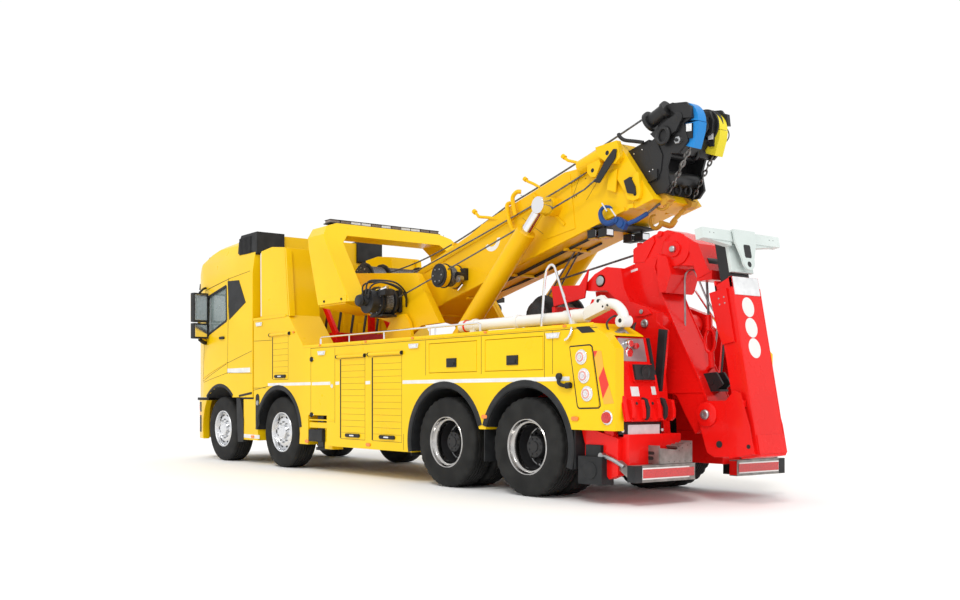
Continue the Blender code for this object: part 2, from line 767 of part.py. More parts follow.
def rear_bogie():
    """Two driven axle housings, their drums, and the beams that join them under the rails."""
    face = REAR_WHEEL_Y - (REAR_TYRE_WIDTH + TWIN_GAP / 2) * 0.16 - SEAT_GAP
    solids = []
    for station in (AXLE_3, AXLE_4):
        solids.append(rod((station, -face, AXLE_HEIGHT), (station, face, AXLE_HEIGHT), HOUSING_RADIUS, 12))
        case_z = AXLE_HEIGHT + PUMPKIN_RAISE
        solids.append(rod(
            (station - PUMPKIN_HALF_LENGTH, 0.0, case_z), (station + PUMPKIN_HALF_LENGTH, 0.0, case_z), PUMPKIN_RADIUS, 12,
            PUMPKIN_RADIUS * 0.7,
        ))
    middle = (AXLE_3 + AXLE_4) / 2
    half = (AXLE_3 - AXLE_4) / 2
    hang = RAIL_BOTTOM - SEAT_GAP
    for side in (-1, 1):
        outline = [
            (middle - half - HOUSING_RADIUS, AXLE_HEIGHT + HOUSING_RADIUS * 0.5), (middle - half, AXLE_HEIGHT + HOUSING_RADIUS * 1.3),
            (middle - half * 0.3, hang), (middle + half * 0.3, hang), (middle + half, AXLE_HEIGHT + HOUSING_RADIUS * 1.3),
            (middle + half + HOUSING_RADIUS, AXLE_HEIGHT + HOUSING_RADIUS * 0.5), (middle, AXLE_HEIGHT + HOUSING_RADIUS * 0.4),
        ]
        solids.append(prism(outline, "Y", side * RAIL_Y - SPRING_WIDTH / 2, side * RAIL_Y + SPRING_WIDTH / 2))
    return node("rear_bogie", "black", solids)


def cab_solid(inset):
    """The cab's outer form, shrunk inwards on every face by the inset."""
    length = CAB_LENGTH - 2 * inset
    front = CAB_FRONT - inset
    low = CAB_FLOOR + inset
    height = CAB_HEIGHT - 2 * inset
    half = CAB_HALF_WIDTH - inset
    side = prism(spread(CAB_SIDE_SHARES, front, length, low, height), "Y", -half, half)
    plan = prism(
        [(front - a * length, b * half) for a, b in CAB_PLAN_SHARES if b > 0.0]
        + [(front - a * length, -b * half) for a, b in reversed(CAB_PLAN_SHARES) if b > 0.0],
        "Z", low - OVERRUN, low + height + OVERRUN,
    )
    section = prism(
        both_halves([(a * half, low + b * height) for a, b in CAB_SECTION_SHARES if not (a == 0.0 and b == 0.0)]),
        "X", front - length - OVERRUN, front + OVERRUN,
    )
    return combine(side, [plan, section], "INTERSECT")


def wheel_arches(station, radius, inner_y, outer_y, sides=(-1, 1)):
    """Cutters for the arches over one axle: a round top and straight sides down past the sill."""
    made = []
    for side in sides:
        y_low, y_high = sorted((side * inner_y, side * outer_y))
        made.append(rod((station, y_low, AXLE_HEIGHT), (station, y_high, AXLE_HEIGHT), radius, ARCH_STEPS))
        made.append(block((station - radius * 0.93, y_low, 0.0), (station + radius * 0.93, y_high, AXLE_HEIGHT)))
    return made


def cab_hollow(inset):
    """The space inside the cab: its form shrunk by the inset, stepped up over the front wheels' arches."""
    arches = wheel_arches(AXLE_1, ARCH_RADIUS + inset, ARCH_INNER_Y - inset, CAB_HALF_WIDTH + OVERRUN)
    return combine(cab_solid(inset), arches, "DIFFERENCE")


def door_outline(grow):
    """The door's outline in side view, grown or shrunk about its middle."""
    points = spread(DOOR_SHARES, CAB_FRONT, CAB_LENGTH, CAB_FLOOR, CAB_HEIGHT)
    return grown(points, grow)


def grown(points, distance):
    """A closed outline with each corner moved out along its mitre by a distance, or in if that is negative."""
    area = sum(a[0] * b[1] - b[0] * a[1] for a, b in zip(points, points[1:] + points[:1]))
    turn = 1.0 if area > 0.0 else -1.0
    moved = []
    for before, here, after in zip(points[-1:] + points[:-1], points, points[1:] + points[:1]):
        first = (Vector(here) - Vector(before)).normalized()
        second = (Vector(after) - Vector(here)).normalized()
        out_first = Vector((first.y, -first.x)) * turn
        out_second = Vector((second.y, -second.x)) * turn
        mitre = (out_first + out_second).normalized()
        reach = distance / max(mitre.dot(out_first), 0.3)
        moved.append((here[0] + mitre.x * reach, here[1] + mitre.y * reach))
    return moved


CAB_TILT_X = CAB_FRONT - CAB_TILT_BACK
CAB_TILT_Z = CAB_FLOOR + CAB_TILT_UP
DOOR_HINGE_X = CAB_FRONT - DOOR_SHARES[0][0] * CAB_LENGTH
DOOR_HINGE_Y = CAB_HALF_WIDTH * 0.976


def cab_and_doors():
    """The hollow cab with its openings, and the two doors cut from the same skin with their window panes."""
    tilt = (CAB_TILT_X, 0.0, CAB_TILT_Z)
    outer = CAB_HALF_WIDTH + OVERRUN
    screen = [(a * CAB_HALF_WIDTH, CAB_FLOOR + b * CAB_HEIGHT) for a, b in WINDSCREEN_SHARES]
    hollow = cab_hollow(CAB_WALL)
    arches = wheel_arches(AXLE_1, ARCH_RADIUS, ARCH_INNER_Y, CAB_HALF_WIDTH + OVERRUN)
    recess = combine(prism(door_outline(0.0), "Y", -outer, outer), [cab_solid(DOOR_SKIN)], "DIFFERENCE")
    door_hole = prism(door_outline(-DOOR_FLANGE), "Y", -outer, outer)
    screen_hole = prism(both_halves(screen), "X", CAB_FRONT - CAB_LENGTH / 2, CAB_FRONT + OVERRUN)
    node("cab_shell", "yellow", [cab_solid(0.0)], [hollow, recess, door_hole, screen_hole] + arches, pivot=tilt)

    window = spread(WINDOW_SHARES, CAB_FRONT, CAB_LENGTH, CAB_FLOOR, CAB_HEIGHT)
    skin = combine(cab_solid(0.0), [prism(door_outline(-DOOR_GAP), "Y", 0.0, outer)], "INTERSECT")
    hinge = (DOOR_HINGE_X, DOOR_HINGE_Y, CAB_FLOOR + CAB_HEIGHT * 0.2)
    corner = min(z for x, z in door_outline(0.0) if x > DOOR_HINGE_X - DOOR_FLANGE)
    notch = block((DOOR_HINGE_X - DOOR_SKIN * 1.2, 0.0, corner - OVERRUN), (DOOR_HINGE_X + OVERRUN, outer, corner + DOOR_SKIN / 2))
    hollowed = combine(skin, [cab_solid(DOOR_SKIN - SEAT_GAP), prism(window, "Y", 0.0, outer), notch], "DIFFERENCE")
    left = node("door_left", "yellow", [hollowed] + mirror(), pivot=hinge)
    other_side(left, "door_right")
    pane = combine(cab_solid(DOOR_SKIN / 2), [prism(grown(window, -SEAT_GAP), "Y", 0.0, outer)], "INTERSECT")
    glass = node("door_glass_left", "glass", [pane], [cab_solid(DOOR_SKIN / 2 + GLASS_THICK)], pivot=hinge)
    other_side(glass, "door_glass_right")
    front = prism(grown(both_halves(screen), -SEAT_GAP), "X", CAB_FRONT - CAB_LENGTH / 3, CAB_FRONT + OVERRUN)
    shield = combine(cab_solid(CAB_WALL / 2), [front], "INTERSECT")
    node("windscreen", "glass", [shield], [cab_solid(CAB_WALL / 2 + GLASS_THICK)], pivot=tilt)


def mirror():
    """Main mirror over a wide-angle one, and the arm that carries them from the door's front edge."""
    x = CAB_FRONT - MIRROR_STATION_SHARE * CAB_LENGTH
    top = MIRROR_TOP
    mid = top - MIRROR_TALL
    low_top = mid - MIRROR_SPLIT
    low = low_top - MIRROR_LOW_TALL
    back = x - MIRROR_THICK / 2
    front = x + MIRROR_THICK / 2
    y_in = MIRROR_Y - MIRROR_HALF_WIDTH
    y_out = MIRROR_Y + MIRROR_HALF_WIDTH
    root_x = CAB_FRONT - MIRROR_ROOT_SHARE * CAB_LENGTH
    root_z = low - MIRROR_SPLIT
    return [
        block((back, y_in, mid), (front, y_out, top)),
        block((back, y_in, low), (front, y_out, low_top)),
        rod((x, MIRROR_Y, mid + BITE), (x, MIRROR_Y, low_top - BITE), MIRROR_ARM_RADIUS, 8),
        rod((root_x, CAB_HALF_WIDTH * 0.968, root_z), (x, MIRROR_Y, low + BITE), MIRROR_ARM_RADIUS, 8),
    ]


def grille():
    """The dark slatted panel on the cab's face below the windscreen."""
    low = CAB_FLOOR + GRILLE_LOW_SHARE * CAB_HEIGHT
    high = CAB_FLOOR + GRILLE_HIGH_SHARE * CAB_HEIGHT
    x = CAB_FRONT + SEAT_GAP
    panel = block((x - GRILLE_THICK, -GRILLE_HALF_WIDTH, low), (x + GRILLE_THICK, GRILLE_HALF_WIDTH, high))
    count = 5
    pitch = (high - low) / count
    slots = [
        block(
            (x + GRILLE_THICK * 0.4, -GRILLE_HALF_WIDTH + BITE * 2, low + pitch * (k + 0.25)),
            (x + GRILLE_THICK + OVERRUN, GRILLE_HALF_WIDTH - BITE * 2, low + pitch * (k + 0.75)),
        )
        for k in range(count)
    ]
    return node("grille", "black", [panel], [cab_solid(-SEAT_GAP)] + slots, pivot=(CAB_TILT_X, 0.0, CAB_TILT_Z))


def roof_deflectors():
    """The dark air intakes wrapped round the cab's rear roof corners."""
    front = CAB_REAR + DEFLECTOR_REACH
    rear = CAB_REAR - DEFLECTOR_OVER
    solid = prism(
        [(front, DEFLECTOR_LOW + 0.10), (front - 0.03, DEFLECTOR_TOP - 0.10), (front - 0.12, DEFLECTOR_TOP), (rear, DEFLECTOR_TOP),
         (rear, DEFLECTOR_LOW + 0.04), (rear + 0.10, DEFLECTOR_LOW)],
        "Y", DEFLECTOR_INNER_Y, DEFLECTOR_OUTER_Y,
    )
    left = node("roof_deflector_left", "grey", [solid], [cab_solid(-SEAT_GAP)], pivot=(CAB_TILT_X, 0.0, CAB_TILT_Z))
    other_side(left, "roof_deflector_right")


def cab_interior():
    """Floor pan with two seats, the bunk, the dashboard and the steering wheel's column."""
    floor = AXLE_HEIGHT + ARCH_RADIUS + CAB_WALL + SEAT_GAP
    wall = CAB_HALF_WIDTH - CAB_WALL - DOOR_INSET
    inside_front = CAB_FRONT - CAB_WALL - CAB_LENGTH * 0.04
    rear = CAB_REAR + CAB_WALL + SEAT_GAP
    pan = block((rear, -wall, floor), (inside_front, wall, floor + PAN_THICK))
    dash = block(
        (inside_front - DASH_DEPTH, -wall * 0.86, floor + PAN_THICK + SEAT_GAP),
        (inside_front - PAN_THICK, wall * 0.86, floor + CAB_HEIGHT * 0.26),
    )
    bunk = block((rear, -wall, floor), (rear + 0.62, wall, floor + 0.48))
    room = cab_solid(CAB_WALL + RUN_GAP * 2)
    base = combine(combine(pan, [bunk], "UNION"), [room], "INTERSECT")
    solids = [base]
    seat_rear = rear + 0.62 + 0.20
    for side in (-1, 1):
        y_low = side * SEAT_Y - SEAT_WIDTH / 2
        y_high = side * SEAT_Y + SEAT_WIDTH / 2
        solids.append(block((seat_rear, y_low, floor), (seat_rear + 0.50, y_high, floor + 0.50)))
        solids.append(prism(
            [(seat_rear, floor + 0.40), (seat_rear + 0.14, floor + 0.40), (seat_rear + 0.04, floor + 1.10), (seat_rear - 0.08, floor + 1.10)],
            "Y", y_low, y_high,
        ))
    column_low = Vector((inside_front - DASH_DEPTH * 0.8, SEAT_Y, floor + CAB_HEIGHT * 0.20))
    column_high = Vector((inside_front - DASH_DEPTH * 1.25, SEAT_Y, floor + CAB_HEIGHT * 0.31))
    column = rod(column_low, column_high, 0.035, 8)
    lean = (column_high - column_low).normalized()
    wheel = rod(column_high - lean * 0.015, column_high + lean * 0.015, 0.22, 16)
    tilt = (CAB_TILT_X, 0.0, CAB_TILT_Z)
    node("cab_interior", "grey", solids, pivot=tilt)
    board = combine(dash, [cab_solid(CAB_WALL + RUN_GAP * 2)], "INTERSECT")
    node("dashboard", "grey", [board, column, wheel], pivot=tilt)


def front_apron():
    """Bumper and lower corners ahead of the front wheels: the cab's plan outline carried down as one wall."""
    top = CAB_FLOOR - APRON_GAP
    half = CAB_HALF_WIDTH

    def ring(inset, back):
        plan = [(NOSE - inset - a * CAB_LENGTH, b * (half - inset)) for a, b in CAB_PLAN_SHARES if b > 0.0][:-1]
        plan.append((back, half - inset))
        return plan + [(x, -y) for x, y in reversed(plan)]

    shell = prism(ring(0.0, APRON_REAR), "Z", APRON_BOTTOM, top)
    hollow = prism(ring(APRON_WALL, APRON_REAR - OVERRUN), "Z", APRON_BOTTOM - OVERRUN, top + OVERRUN)
    arches = wheel_arches(AXLE_1, ARCH_RADIUS, ARCH_INNER_Y, half + OVERRUN)
    ties = [
        block(
            (RAIL_FRONT + SEAT_GAP, side * RAIL_Y - RAIL_THICK / 2, RAIL_BOTTOM),
            (NOSE - APRON_WALL + BITE, side * RAIL_Y + RAIL_THICK / 2, RAIL_TOP),
        )
        for side in (-1, 1)
    ]
    body = combine(shell, [hollow] + arches, "DIFFERENCE")
    return node("front_apron", "yellow", [body] + ties)


def locker_body():
    """One side's lockers: tower, long body, arches over axles 2, 3 and 4, and pockets behind the two lids."""
    side = prism(spread(BODY_SIDE_SHARES, SKIRT_FRONT, BODY_LENGTH, BODY_BOTTOM, TOWER_HEIGHT), "Y", BODY_INNER_Y, BODY_HALF_WIDTH)
    cuts = []
    for station, radius in ((AXLE_2, STEERED_FENDER_RADIUS), (AXLE_3, FENDER_RADIUS), (AXLE_4, FENDER_RADIUS)):
        cuts += wheel_arches(station, radius, BODY_INNER_Y - OVERRUN, BODY_HALF_WIDTH + OVERRUN, (1,))
    cuts.append(block((AXLE_4, BODY_INNER_Y - OVERRUN, 0.0), (AXLE_3, BODY_HALF_WIDTH + OVERRUN, FENDER_VALLEY)))
    cuts.append(block(
        (BODY_REAR - OVERRUN, BODY_INNER_Y - OVERRUN, CABINET_LOW - OVERRUN * 2),
        (CABINET_FRONT + BITE, CABINET_OUT_Y + RUN_GAP, CABINET_HIGH + RUN_GAP),
    ))
    cuts.append(block(
        (OUTRIGGER_STATION - OUTRIGGER_BAY_HALF, OUTRIGGER_Y - OUTRIGGER_HALF - SEAT_GAP, BODY_BOTTOM - OVERRUN),
        (OUTRIGGER_STATION + OUTRIGGER_BAY_HALF, BODY_HALF_WIDTH + OVERRUN, OUTRIGGER_BAY_TOP),
    ))
    for front, rear in LID_STATIONS:
        cuts.append(block((rear, BODY_HALF_WIDTH - LID_THICK - SEAT_GAP, LID_BOTTOM), (front, BODY_HALF_WIDTH + OVERRUN, LID_TOP)))
        cuts.append(block(
            (rear + POCKET_MARGIN, BODY_HALF_WIDTH - POCKET_DEPTH, LID_BOTTOM + POCKET_MARGIN),
            (front - POCKET_MARGIN, BODY_HALF_WIDTH, LID_TOP - POCKET_MARGIN),
        ))
    left = node("body_left", "yellow", [side], cuts)
    other_side(left, "body_right")


def lids():
    """Lift-up locker lids, hinged along their top edges."""
    for number, (front, rear) in enumerate(LID_STATIONS, 1):
        hinge = ((front + rear) / 2, BODY_HALF_WIDTH, LID_TOP - LID_GAP)
        panel = block(
            (rear + LID_GAP, BODY_HALF_WIDTH - LID_THICK, LID_BOTTOM + LID_GAP), (front - LID_GAP, BODY_HALF_WIDTH, LID_TOP - LID_GAP)
        )
        left = node(f"lid_{number}_left", "yellow", [panel], pivot=hinge)
        other_side(left, f"lid_{number}_right")


def outriggers():
    """A square leg in its housing with a round foot, which slides down to the ground."""
    x, y, half = OUTRIGGER_STATION, OUTRIGGER_Y, OUTRIGGER_HALF
    top = OUTRIGGER_BAY_TOP - RUN_GAP
    leg = block((x - half, y - half, FOOT_HEIGHT), (x + half, y + half, top))
    foot = rod((x, y, FOOT_HEIGHT - FOOT_THICK), (x, y, FOOT_HEIGHT + BITE / 2), FOOT_RADIUS, 16)
    left = node("outrigger_left", "black", [leg, foot], pivot=(x, y, FOOT_HEIGHT))
    other_side(left, "outrigger_right")


def subframe():
    """The red recovery subframe: long box beams, deck plate, outrigger boxes and the heavy tail with its slot."""
    beams = [
        block((TAIL_FRONT, side * RAIL_Y - RAIL_THICK * 0.8, SUB_BOTTOM), (SUB_FRONT, side * RAIL_Y + RAIL_THICK * 0.8, SUB_TOP))
        for side in (-1, 1)
    ]
    deck = block((0.15, -BODY_INNER_Y + SEAT_GAP, SUB_TOP - DECK_THICK), (SUB_FRONT, BODY_INNER_Y - SEAT_GAP, SUB_TOP))
    front_wall = block((SUB_FRONT - 0.10, -BODY_INNER_Y + SEAT_GAP, SUB_TOP - BITE), (SUB_FRONT - 0.02, BODY_INNER_Y - SEAT_GAP, SUB_TOP + 0.62))
    solids = beams + [deck, front_wall]
    solids.append(block((TAIL_REAR, -TAIL_HALF_WIDTH, TAIL_BOTTOM), (TAIL_FRONT - RUN_GAP, TAIL_HALF_WIDTH, TAIL_BEAM_TOP)))
    for side in (-1, 1):
        y_low, y_high = sorted((side * (SLOT_HALF_WIDTH + 0.01), side * (SLOT_HALF_WIDTH + 0.11)))
        solids.append(prism(
            [(0.22, SUB_TOP - DECK_THICK * 0.4), (-0.20, ARM_PIVOT_Z + 0.30), (ARM_PIVOT_X + 0.14, ARM_PIVOT_Z + 0.22), (ARM_PIVOT_X - 0.16, ARM_PIVOT_Z + 0.10),
             (ARM_PIVOT_X - 0.16, ARM_PIVOT_Z - 0.18), (TAIL_REAR + 0.12, TAIL_BEAM_TOP + 0.02), (TAIL_REAR + 0.06, TAIL_BOTTOM + BITE),
             (TAIL_FRONT - BITE, TAIL_BOTTOM + BITE), (TAIL_FRONT + 0.04, SUB_TOP - DECK_THICK * 1.7)],
            "Y", y_low, y_high,
        ))
    for side in (-1, 1):
        y_low, y_high = sorted((side * UNDERRUN_IN_Y, side * UNDERRUN_OUT_Y))
        solids.append(block((UNDERRUN_REAR, y_low, UNDERRUN_LOW), (UNDERRUN_REAR + 0.09, y_high, UNDERRUN_HIGH)))
        solids.append(block((UNDERRUN_REAR + 0.04, side * 0.70 - 0.05, UNDERRUN_HIGH - 0.05), (TAIL_REAR + BITE, side * 0.70 + 0.05, TAIL_BOTTOM + 0.12)))
    for side in (-1, 1):
        y_low, y_high = sorted((side * CABINET_IN_Y, side * CABINET_OUT_Y))
        solids.append(prism(
            [(CABINET_FRONT, CABINET_LOW), (CABINET_FRONT, CABINET_HIGH), (CABINET_REAR + 0.16, CABINET_HIGH),
             (CABINET_REAR, CABINET_LOW + 0.12), (CABINET_REAR + 0.02, CABINET_LOW)],
            "Y", y_low, y_high,
        ))
        y_low, y_high = sorted((side * (SLOT_HALF_WIDTH + 0.05), side * (CABINET_IN_Y + BITE)))
        solids.append(block((CABINET_REAR + 0.10, y_low, CABINET_LOW + 0.10), (CABINET_FRONT - 0.05, y_high, CABINET_LOW + 0.30)))
    for side in (-1, 1):
        y_low, y_high = sorted((side * (RAM_RADIUS + SEAT_GAP), side * (SLOT_HALF_WIDTH + 0.05)))
        solids.append(rod((RAM_BASE_X, y_low, RAM_BASE_Z), (RAM_BASE_X, y_high, RAM_BASE_Z), RAM_ROD_RADIUS, 12))
    slot = block((TAIL_REAR - OVERRUN, -SLOT_HALF_WIDTH, TAIL_BOTTOM - OVERRUN), (TAIL_FRONT + 0.02, SLOT_HALF_WIDTH, ARM_PIVOT_Z))
    return node("subframe", "red", solids, [slot])


def frame_outline(shares):
    """Points (x, z) of the winch frame from shares of its length back from the front and of its height."""
    return spread(shares, FRAME_FRONT, FRAME_LENGTH, FRAME_LOW, FRAME_HEIGHT)


def pedestal():
    """Cheeks that rise from the deck to the boom's pivot, with inward bosses, and the lift cylinders' brackets."""
    solids = []
    outline = [(PIVOT_X + a * PEDESTAL_RISE, PIVOT_Z + b * (PEDESTAL_RISE - SEAT_GAP)) for a, b in PEDESTAL_SHARES]
    for side in (-1, 1):
        y_low, y_high = sorted((side * PEDESTAL_Y, side * (PEDESTAL_Y + PEDESTAL_THICK)))
        solids.append(prism(outline, "Y", y_low, y_high))
        y_low, y_high = sorted((side * (FRAME_Y + FRAME_THICK + SEAT_GAP), side * (PEDESTAL_Y + PEDESTAL_THICK / 2)))
        solids.append(rod((PIVOT_X, y_low, PIVOT_Z), (PIVOT_X, y_high, PIVOT_Z), PIVOT_BOSS_RADIUS, 18))
    foot_low = SUB_TOP + SEAT_GAP
    foot_high = foot_low + FLOOR_THICK
    solids.append(block(
        (CYL_BASE_X - 0.20, -PEDESTAL_Y - PEDESTAL_THICK * 0.8, foot_low),
        (PIVOT_X + PEDESTAL_RISE * 0.80, PEDESTAL_Y + PEDESTAL_THICK * 0.8, foot_high),
    ))
    rise = CYL_BASE_Z - foot_low
    for side in (-1, 1):
        for edge in (-1, 1):
            near = side * CYL_Y + edge * (EYE_HALF_WIDTH + SEAT_GAP)
            y_low, y_high = sorted((near, near + edge * CHEEK_THICK))
            solids.append(prism(
                [(CYL_BASE_X - rise * 0.55, foot_low + BITE), (CYL_BASE_X - rise * 0.32, CYL_BASE_Z + rise * 0.20),
                 (CYL_BASE_X, CYL_BASE_Z + rise * 0.36), (CYL_BASE_X + rise * 0.32, CYL_BASE_Z + rise * 0.20),
                 (CYL_BASE_X + rise * 0.70, foot_low + BITE)],
                "Y", y_low, y_high,
            ))
    return node("boom_pedestal", "yellow", solids)


def winch_frame():
    """The frame at the boom's root: two cheeks with their columns, the sloping floor, and wings under the hoop's legs."""
    solids = []
    for side in (-1, 1):
        y_low, y_high = sorted((side * FRAME_Y, side * (FRAME_Y + FRAME_THICK)))
        solids.append(prism(frame_outline(FRAME_SHARES), "Y", y_low, y_high))
        y_low, y_high = sorted((side * (FRAME_Y - COLUMN_PROUD), side * (FRAME_Y + FRAME_THICK / 2)))
        solids.append(prism(grown(frame_outline(COLUMN_SHARES), -BITE / 4), "Y", y_low, y_high))
        wing_top = HOOP_BOTTOM - SEAT_GAP
        inner = side * (FRAME_Y + FRAME_THICK / 2)
        solids.append(prism(
            [(inner, wing_top), (side * WING_OUT_Y, wing_top), (side * WING_OUT_Y, wing_top - WING_DROP * 0.2),
             (inner, wing_top - WING_DROP)],
            "X", WING_REAR, WING_FRONT,
        ))
    half = FRAME_Y + FRAME_THICK / 2
    floor = [(FRAME_FRONT - 0.04, FRAME_LOW + 0.50 * FRAME_HEIGHT), (FRAME_FRONT - 0.04, FRAME_LOW + 0.50 * FRAME_HEIGHT + FLOOR_THICK),
             (PIVOT_X + 0.10, PIVOT_Z + 0.12 + FLOOR_THICK), (PIVOT_X + 0.10, PIVOT_Z + 0.12)]
    solids.append(prism(floor, "Y", -half, half))
    solids.append(boom_box(BOOM_FRONT - 0.03, ROOT_PLATE_S, BOOM_LOW - 0.02, BOOM_HIGH - 0.22, -half, half))
    return solids


def boom():
    """The outer boom: a deep hollow box with a ridge, rooted in the winch frame, and a slanted collar at its mouth."""
    outline = [along_boom(BOOM_FRONT + a * BOOM_LENGTH, BOOM_LOW + b * BOOM_DEPTH) for a, b in BOOM_SHARES]
    solids = [prism(outline, "Y", -BOOM_HALF_WIDTH, BOOM_HALF_WIDTH)]
    proud = COLLAR_PROUD
    lead = BOOM_TIP - COLLAR_LENGTH
    solids.append(prism(
        [along_boom(lead + COLLAR_SLANT / 2, BOOM_LOW - proud), along_boom(lead - COLLAR_SLANT / 2, BOOM_HIGH + proud),
         along_boom(BOOM_TIP - COLLAR_SLANT / 2 + proud, BOOM_HIGH + proud), along_boom(BOOM_TIP + COLLAR_SLANT / 2 + proud, BOOM_LOW - proud)],
        "Y", -BOOM_HALF_WIDTH - proud, BOOM_HALF_WIDTH + proud,
    ))
    x, z = along_boom(CYL_TOP_S, CYL_TOP_T)
    for side in (-1, 1):
        y_low, y_high = sorted((side * (BOOM_HALF_WIDTH - BITE), side * (CYL_Y - EYE_HALF_WIDTH - RUN_GAP)))
        solids.append(rod((x, y_low, z), (x, y_high, z), EYE_RADIUS, 14))
    profile = [
        (0.0, 0.34), (0.13, 0.34), (0.145, 0.32), (0.145, 0.24), (0.11, 0.23), (0.11, 0.13), (0.145, 0.12), (0.145, 0.05), (0.10, 0.0), (0.0, 0.0),
    ]
    solids.append(turned(profile, Vector((SIDE_DRUM_X, BOOM_HALF_WIDTH - BITE, SIDE_DRUM_Z)), WINCH_STEPS))
    gap = RUN_GAP
    bore = boom_box(
        INNER_TAIL - 0.05, BOOM_TIP + COLLAR_SLANT + OVERRUN, INNER_LOW - SEAT_GAP, INNER_HIGH + gap, -INNER_HALF_WIDTH - gap, INNER_HALF_WIDTH + gap
    )
    return node("boom_outer", "yellow", winch_frame() + solids, [bore], pivot=(PIVOT_X, 0.0, PIVOT_Z))


def hoop():
    """The arched hoop over the winches: flared legs and a deep beam with rounded shoulders."""
    outline = spread(HOOP_SIDE_SHARES, HOOP_FRONT, HOOP_LENGTH, HOOP_BOTTOM, HOOP_HEIGHT)
    solid = prism(outline, "Y", -HOOP_HALF_WIDTH, HOOP_HALF_WIDTH)
    half = [(a * HOOP_HALF_WIDTH, HOOP_BOTTOM + b * HOOP_HEIGHT) for a, b in HOOP_OUTER_SHARES]
    front, rear = HOOP_FRONT + OVERRUN, HOOP_FRONT - HOOP_LENGTH - OVERRUN
    shape = prism(half + [(-y, z) for y, z in reversed(half)], "X", rear, front)
    inner_half = HOOP_HALF_WIDTH - HOOP_LEG
    inner_top = HOOP_TOP - HOOP_BEAM
    corner = HOOP_BEAM * 0.6
    opening = prism(
        both_halves([(inner_half - corner, inner_top), (inner_half, inner_top - corner), (inner_half, HOOP_BOTTOM - OVERRUN)]), "X", rear, front
    )
    arch = combine(solid, [shape], "INTERSECT")
    return node("hoop", "yellow", [arch], [opening], pivot=(PIVOT_X, 0.0, PIVOT_Z))


def winches():
    """The twin-drum winch between the frame's cheeks, and a geared winch outside each cheek."""
    half = FRAME_Y - SEAT_GAP
    flange, core, thick = DRUM_FLANGE, DRUM_CORE, FLANGE_THICK
    profile = [
        (0.0, half), (core, half), (core, half * 0.92), (flange, half * 0.92), (flange, half * 0.92 - thick), (core, half * 0.92 - thick),
        (core, half * 0.30 + thick), (flange, half * 0.30 + thick), (flange, half * 0.30), (core, half * 0.30),
        (core, -half * 0.92 + thick), (flange, -half * 0.92 + thick), (flange, -half * 0.92), (core, -half * 0.92), (core, -half), (0.0, -half),
    ]
    drum = turned(profile, Vector((UPPER_WINCH_X, 0.0, UPPER_WINCH_Z)), WINCH_STEPS)
    node("winch_upper", "black", [drum], pivot=(PIVOT_X, 0.0, PIVOT_Z))
    length = SIDE_WINCH_LENGTH
    profile = [
        (0.0, length), (0.06, length), (0.07, length * 0.86), (0.14, length * 0.84), (0.16, length * 0.62), (0.19, length * 0.60),
        (0.19, length * 0.50), (0.12, length * 0.48), (0.12, length * 0.26), (0.19, length * 0.24), (0.19, length * 0.17),
        (0.11, length * 0.17), (0.11, 0.0), (0.0, 0.0),
    ]
    x, z = SIDE_WINCH_X, SIDE_WINCH_Z
    start = FRAME_Y + FRAME_THICK + SEAT_GAP
    left = turned(profile, Vector((x, start, z)), WINCH_STEPS)
    left = node("winch_left", "black", [left], pivot=(PIVOT_X, 0.0, PIVOT_Z))
    other_side(left, "winch_right")


HEAD_SHARES = (
    (-0.06, 0.18), (-0.10, 0.78), (-0.02, 0.98), (0.06, 1.02), (0.27, 1.01), (0.50, 0.90), (0.62, 0.70), (0.52, 0.50), (0.38, 0.40),
    (0.46, 0.20), (0.36, 0.08), (0.12, 0.08),
)


def boom_inner():
    """The telescopic section with the head: cheek plates, sheaves under guards, and the lower nose."""
    solids = [boom_box(INNER_TAIL, INNER_TIP, INNER_LOW, INNER_HIGH, -INNER_HALF_WIDTH, INNER_HALF_WIDTH)]
    outline = [along_boom(INNER_TIP + a, b) for a, b in HEAD_SHARES]
    for side in (-1, 1):
        y_low, y_high = sorted((side * (INNER_HALF_WIDTH - HEAD_PLATE), side * (INNER_HALF_WIDTH + BITE / 4)))
        solids.append(prism(outline, "Y", y_low, y_high))
    x, z = along_boom(INNER_TIP + 0.12, 0.84)
    solids.append(rod((x, -HEAD_HALF_WIDTH, z), (x, HEAD_HALF_WIDTH, z), 0.10, 14))
    x, z = along_boom(INNER_TIP + 0.32, 0.20)
    solids.append(rod((x, -HEAD_HALF_WIDTH + 0.06, z), (x, HEAD_HALF_WIDTH - 0.06, z), 0.09, 14))
    x, z = along_boom(INNER_TIP + 0.40, 0.78)
    solids.append(rod((x, -HEAD_HALF_WIDTH + 0.02, z), (x, HEAD_HALF_WIDTH - 0.02, z), 0.06, 12))
    for side in (-1, 1):
        y_low, y_high = sorted((side * (SHEAVE_Y - SHEAVE_THICK / 2), side * (SHEAVE_Y + SHEAVE_THICK / 2)))
        solids.append(rod((x, y_low, z), (x, y_high, z), SHEAVE_RADIUS, 18))
    return node("boom_inner", "black", solids, pivot=(PIVOT_X, 0.0, PIVOT_Z))


CYL_TOP_X, CYL_TOP_Z = along_boom(CYL_TOP_S, CYL_TOP_T)


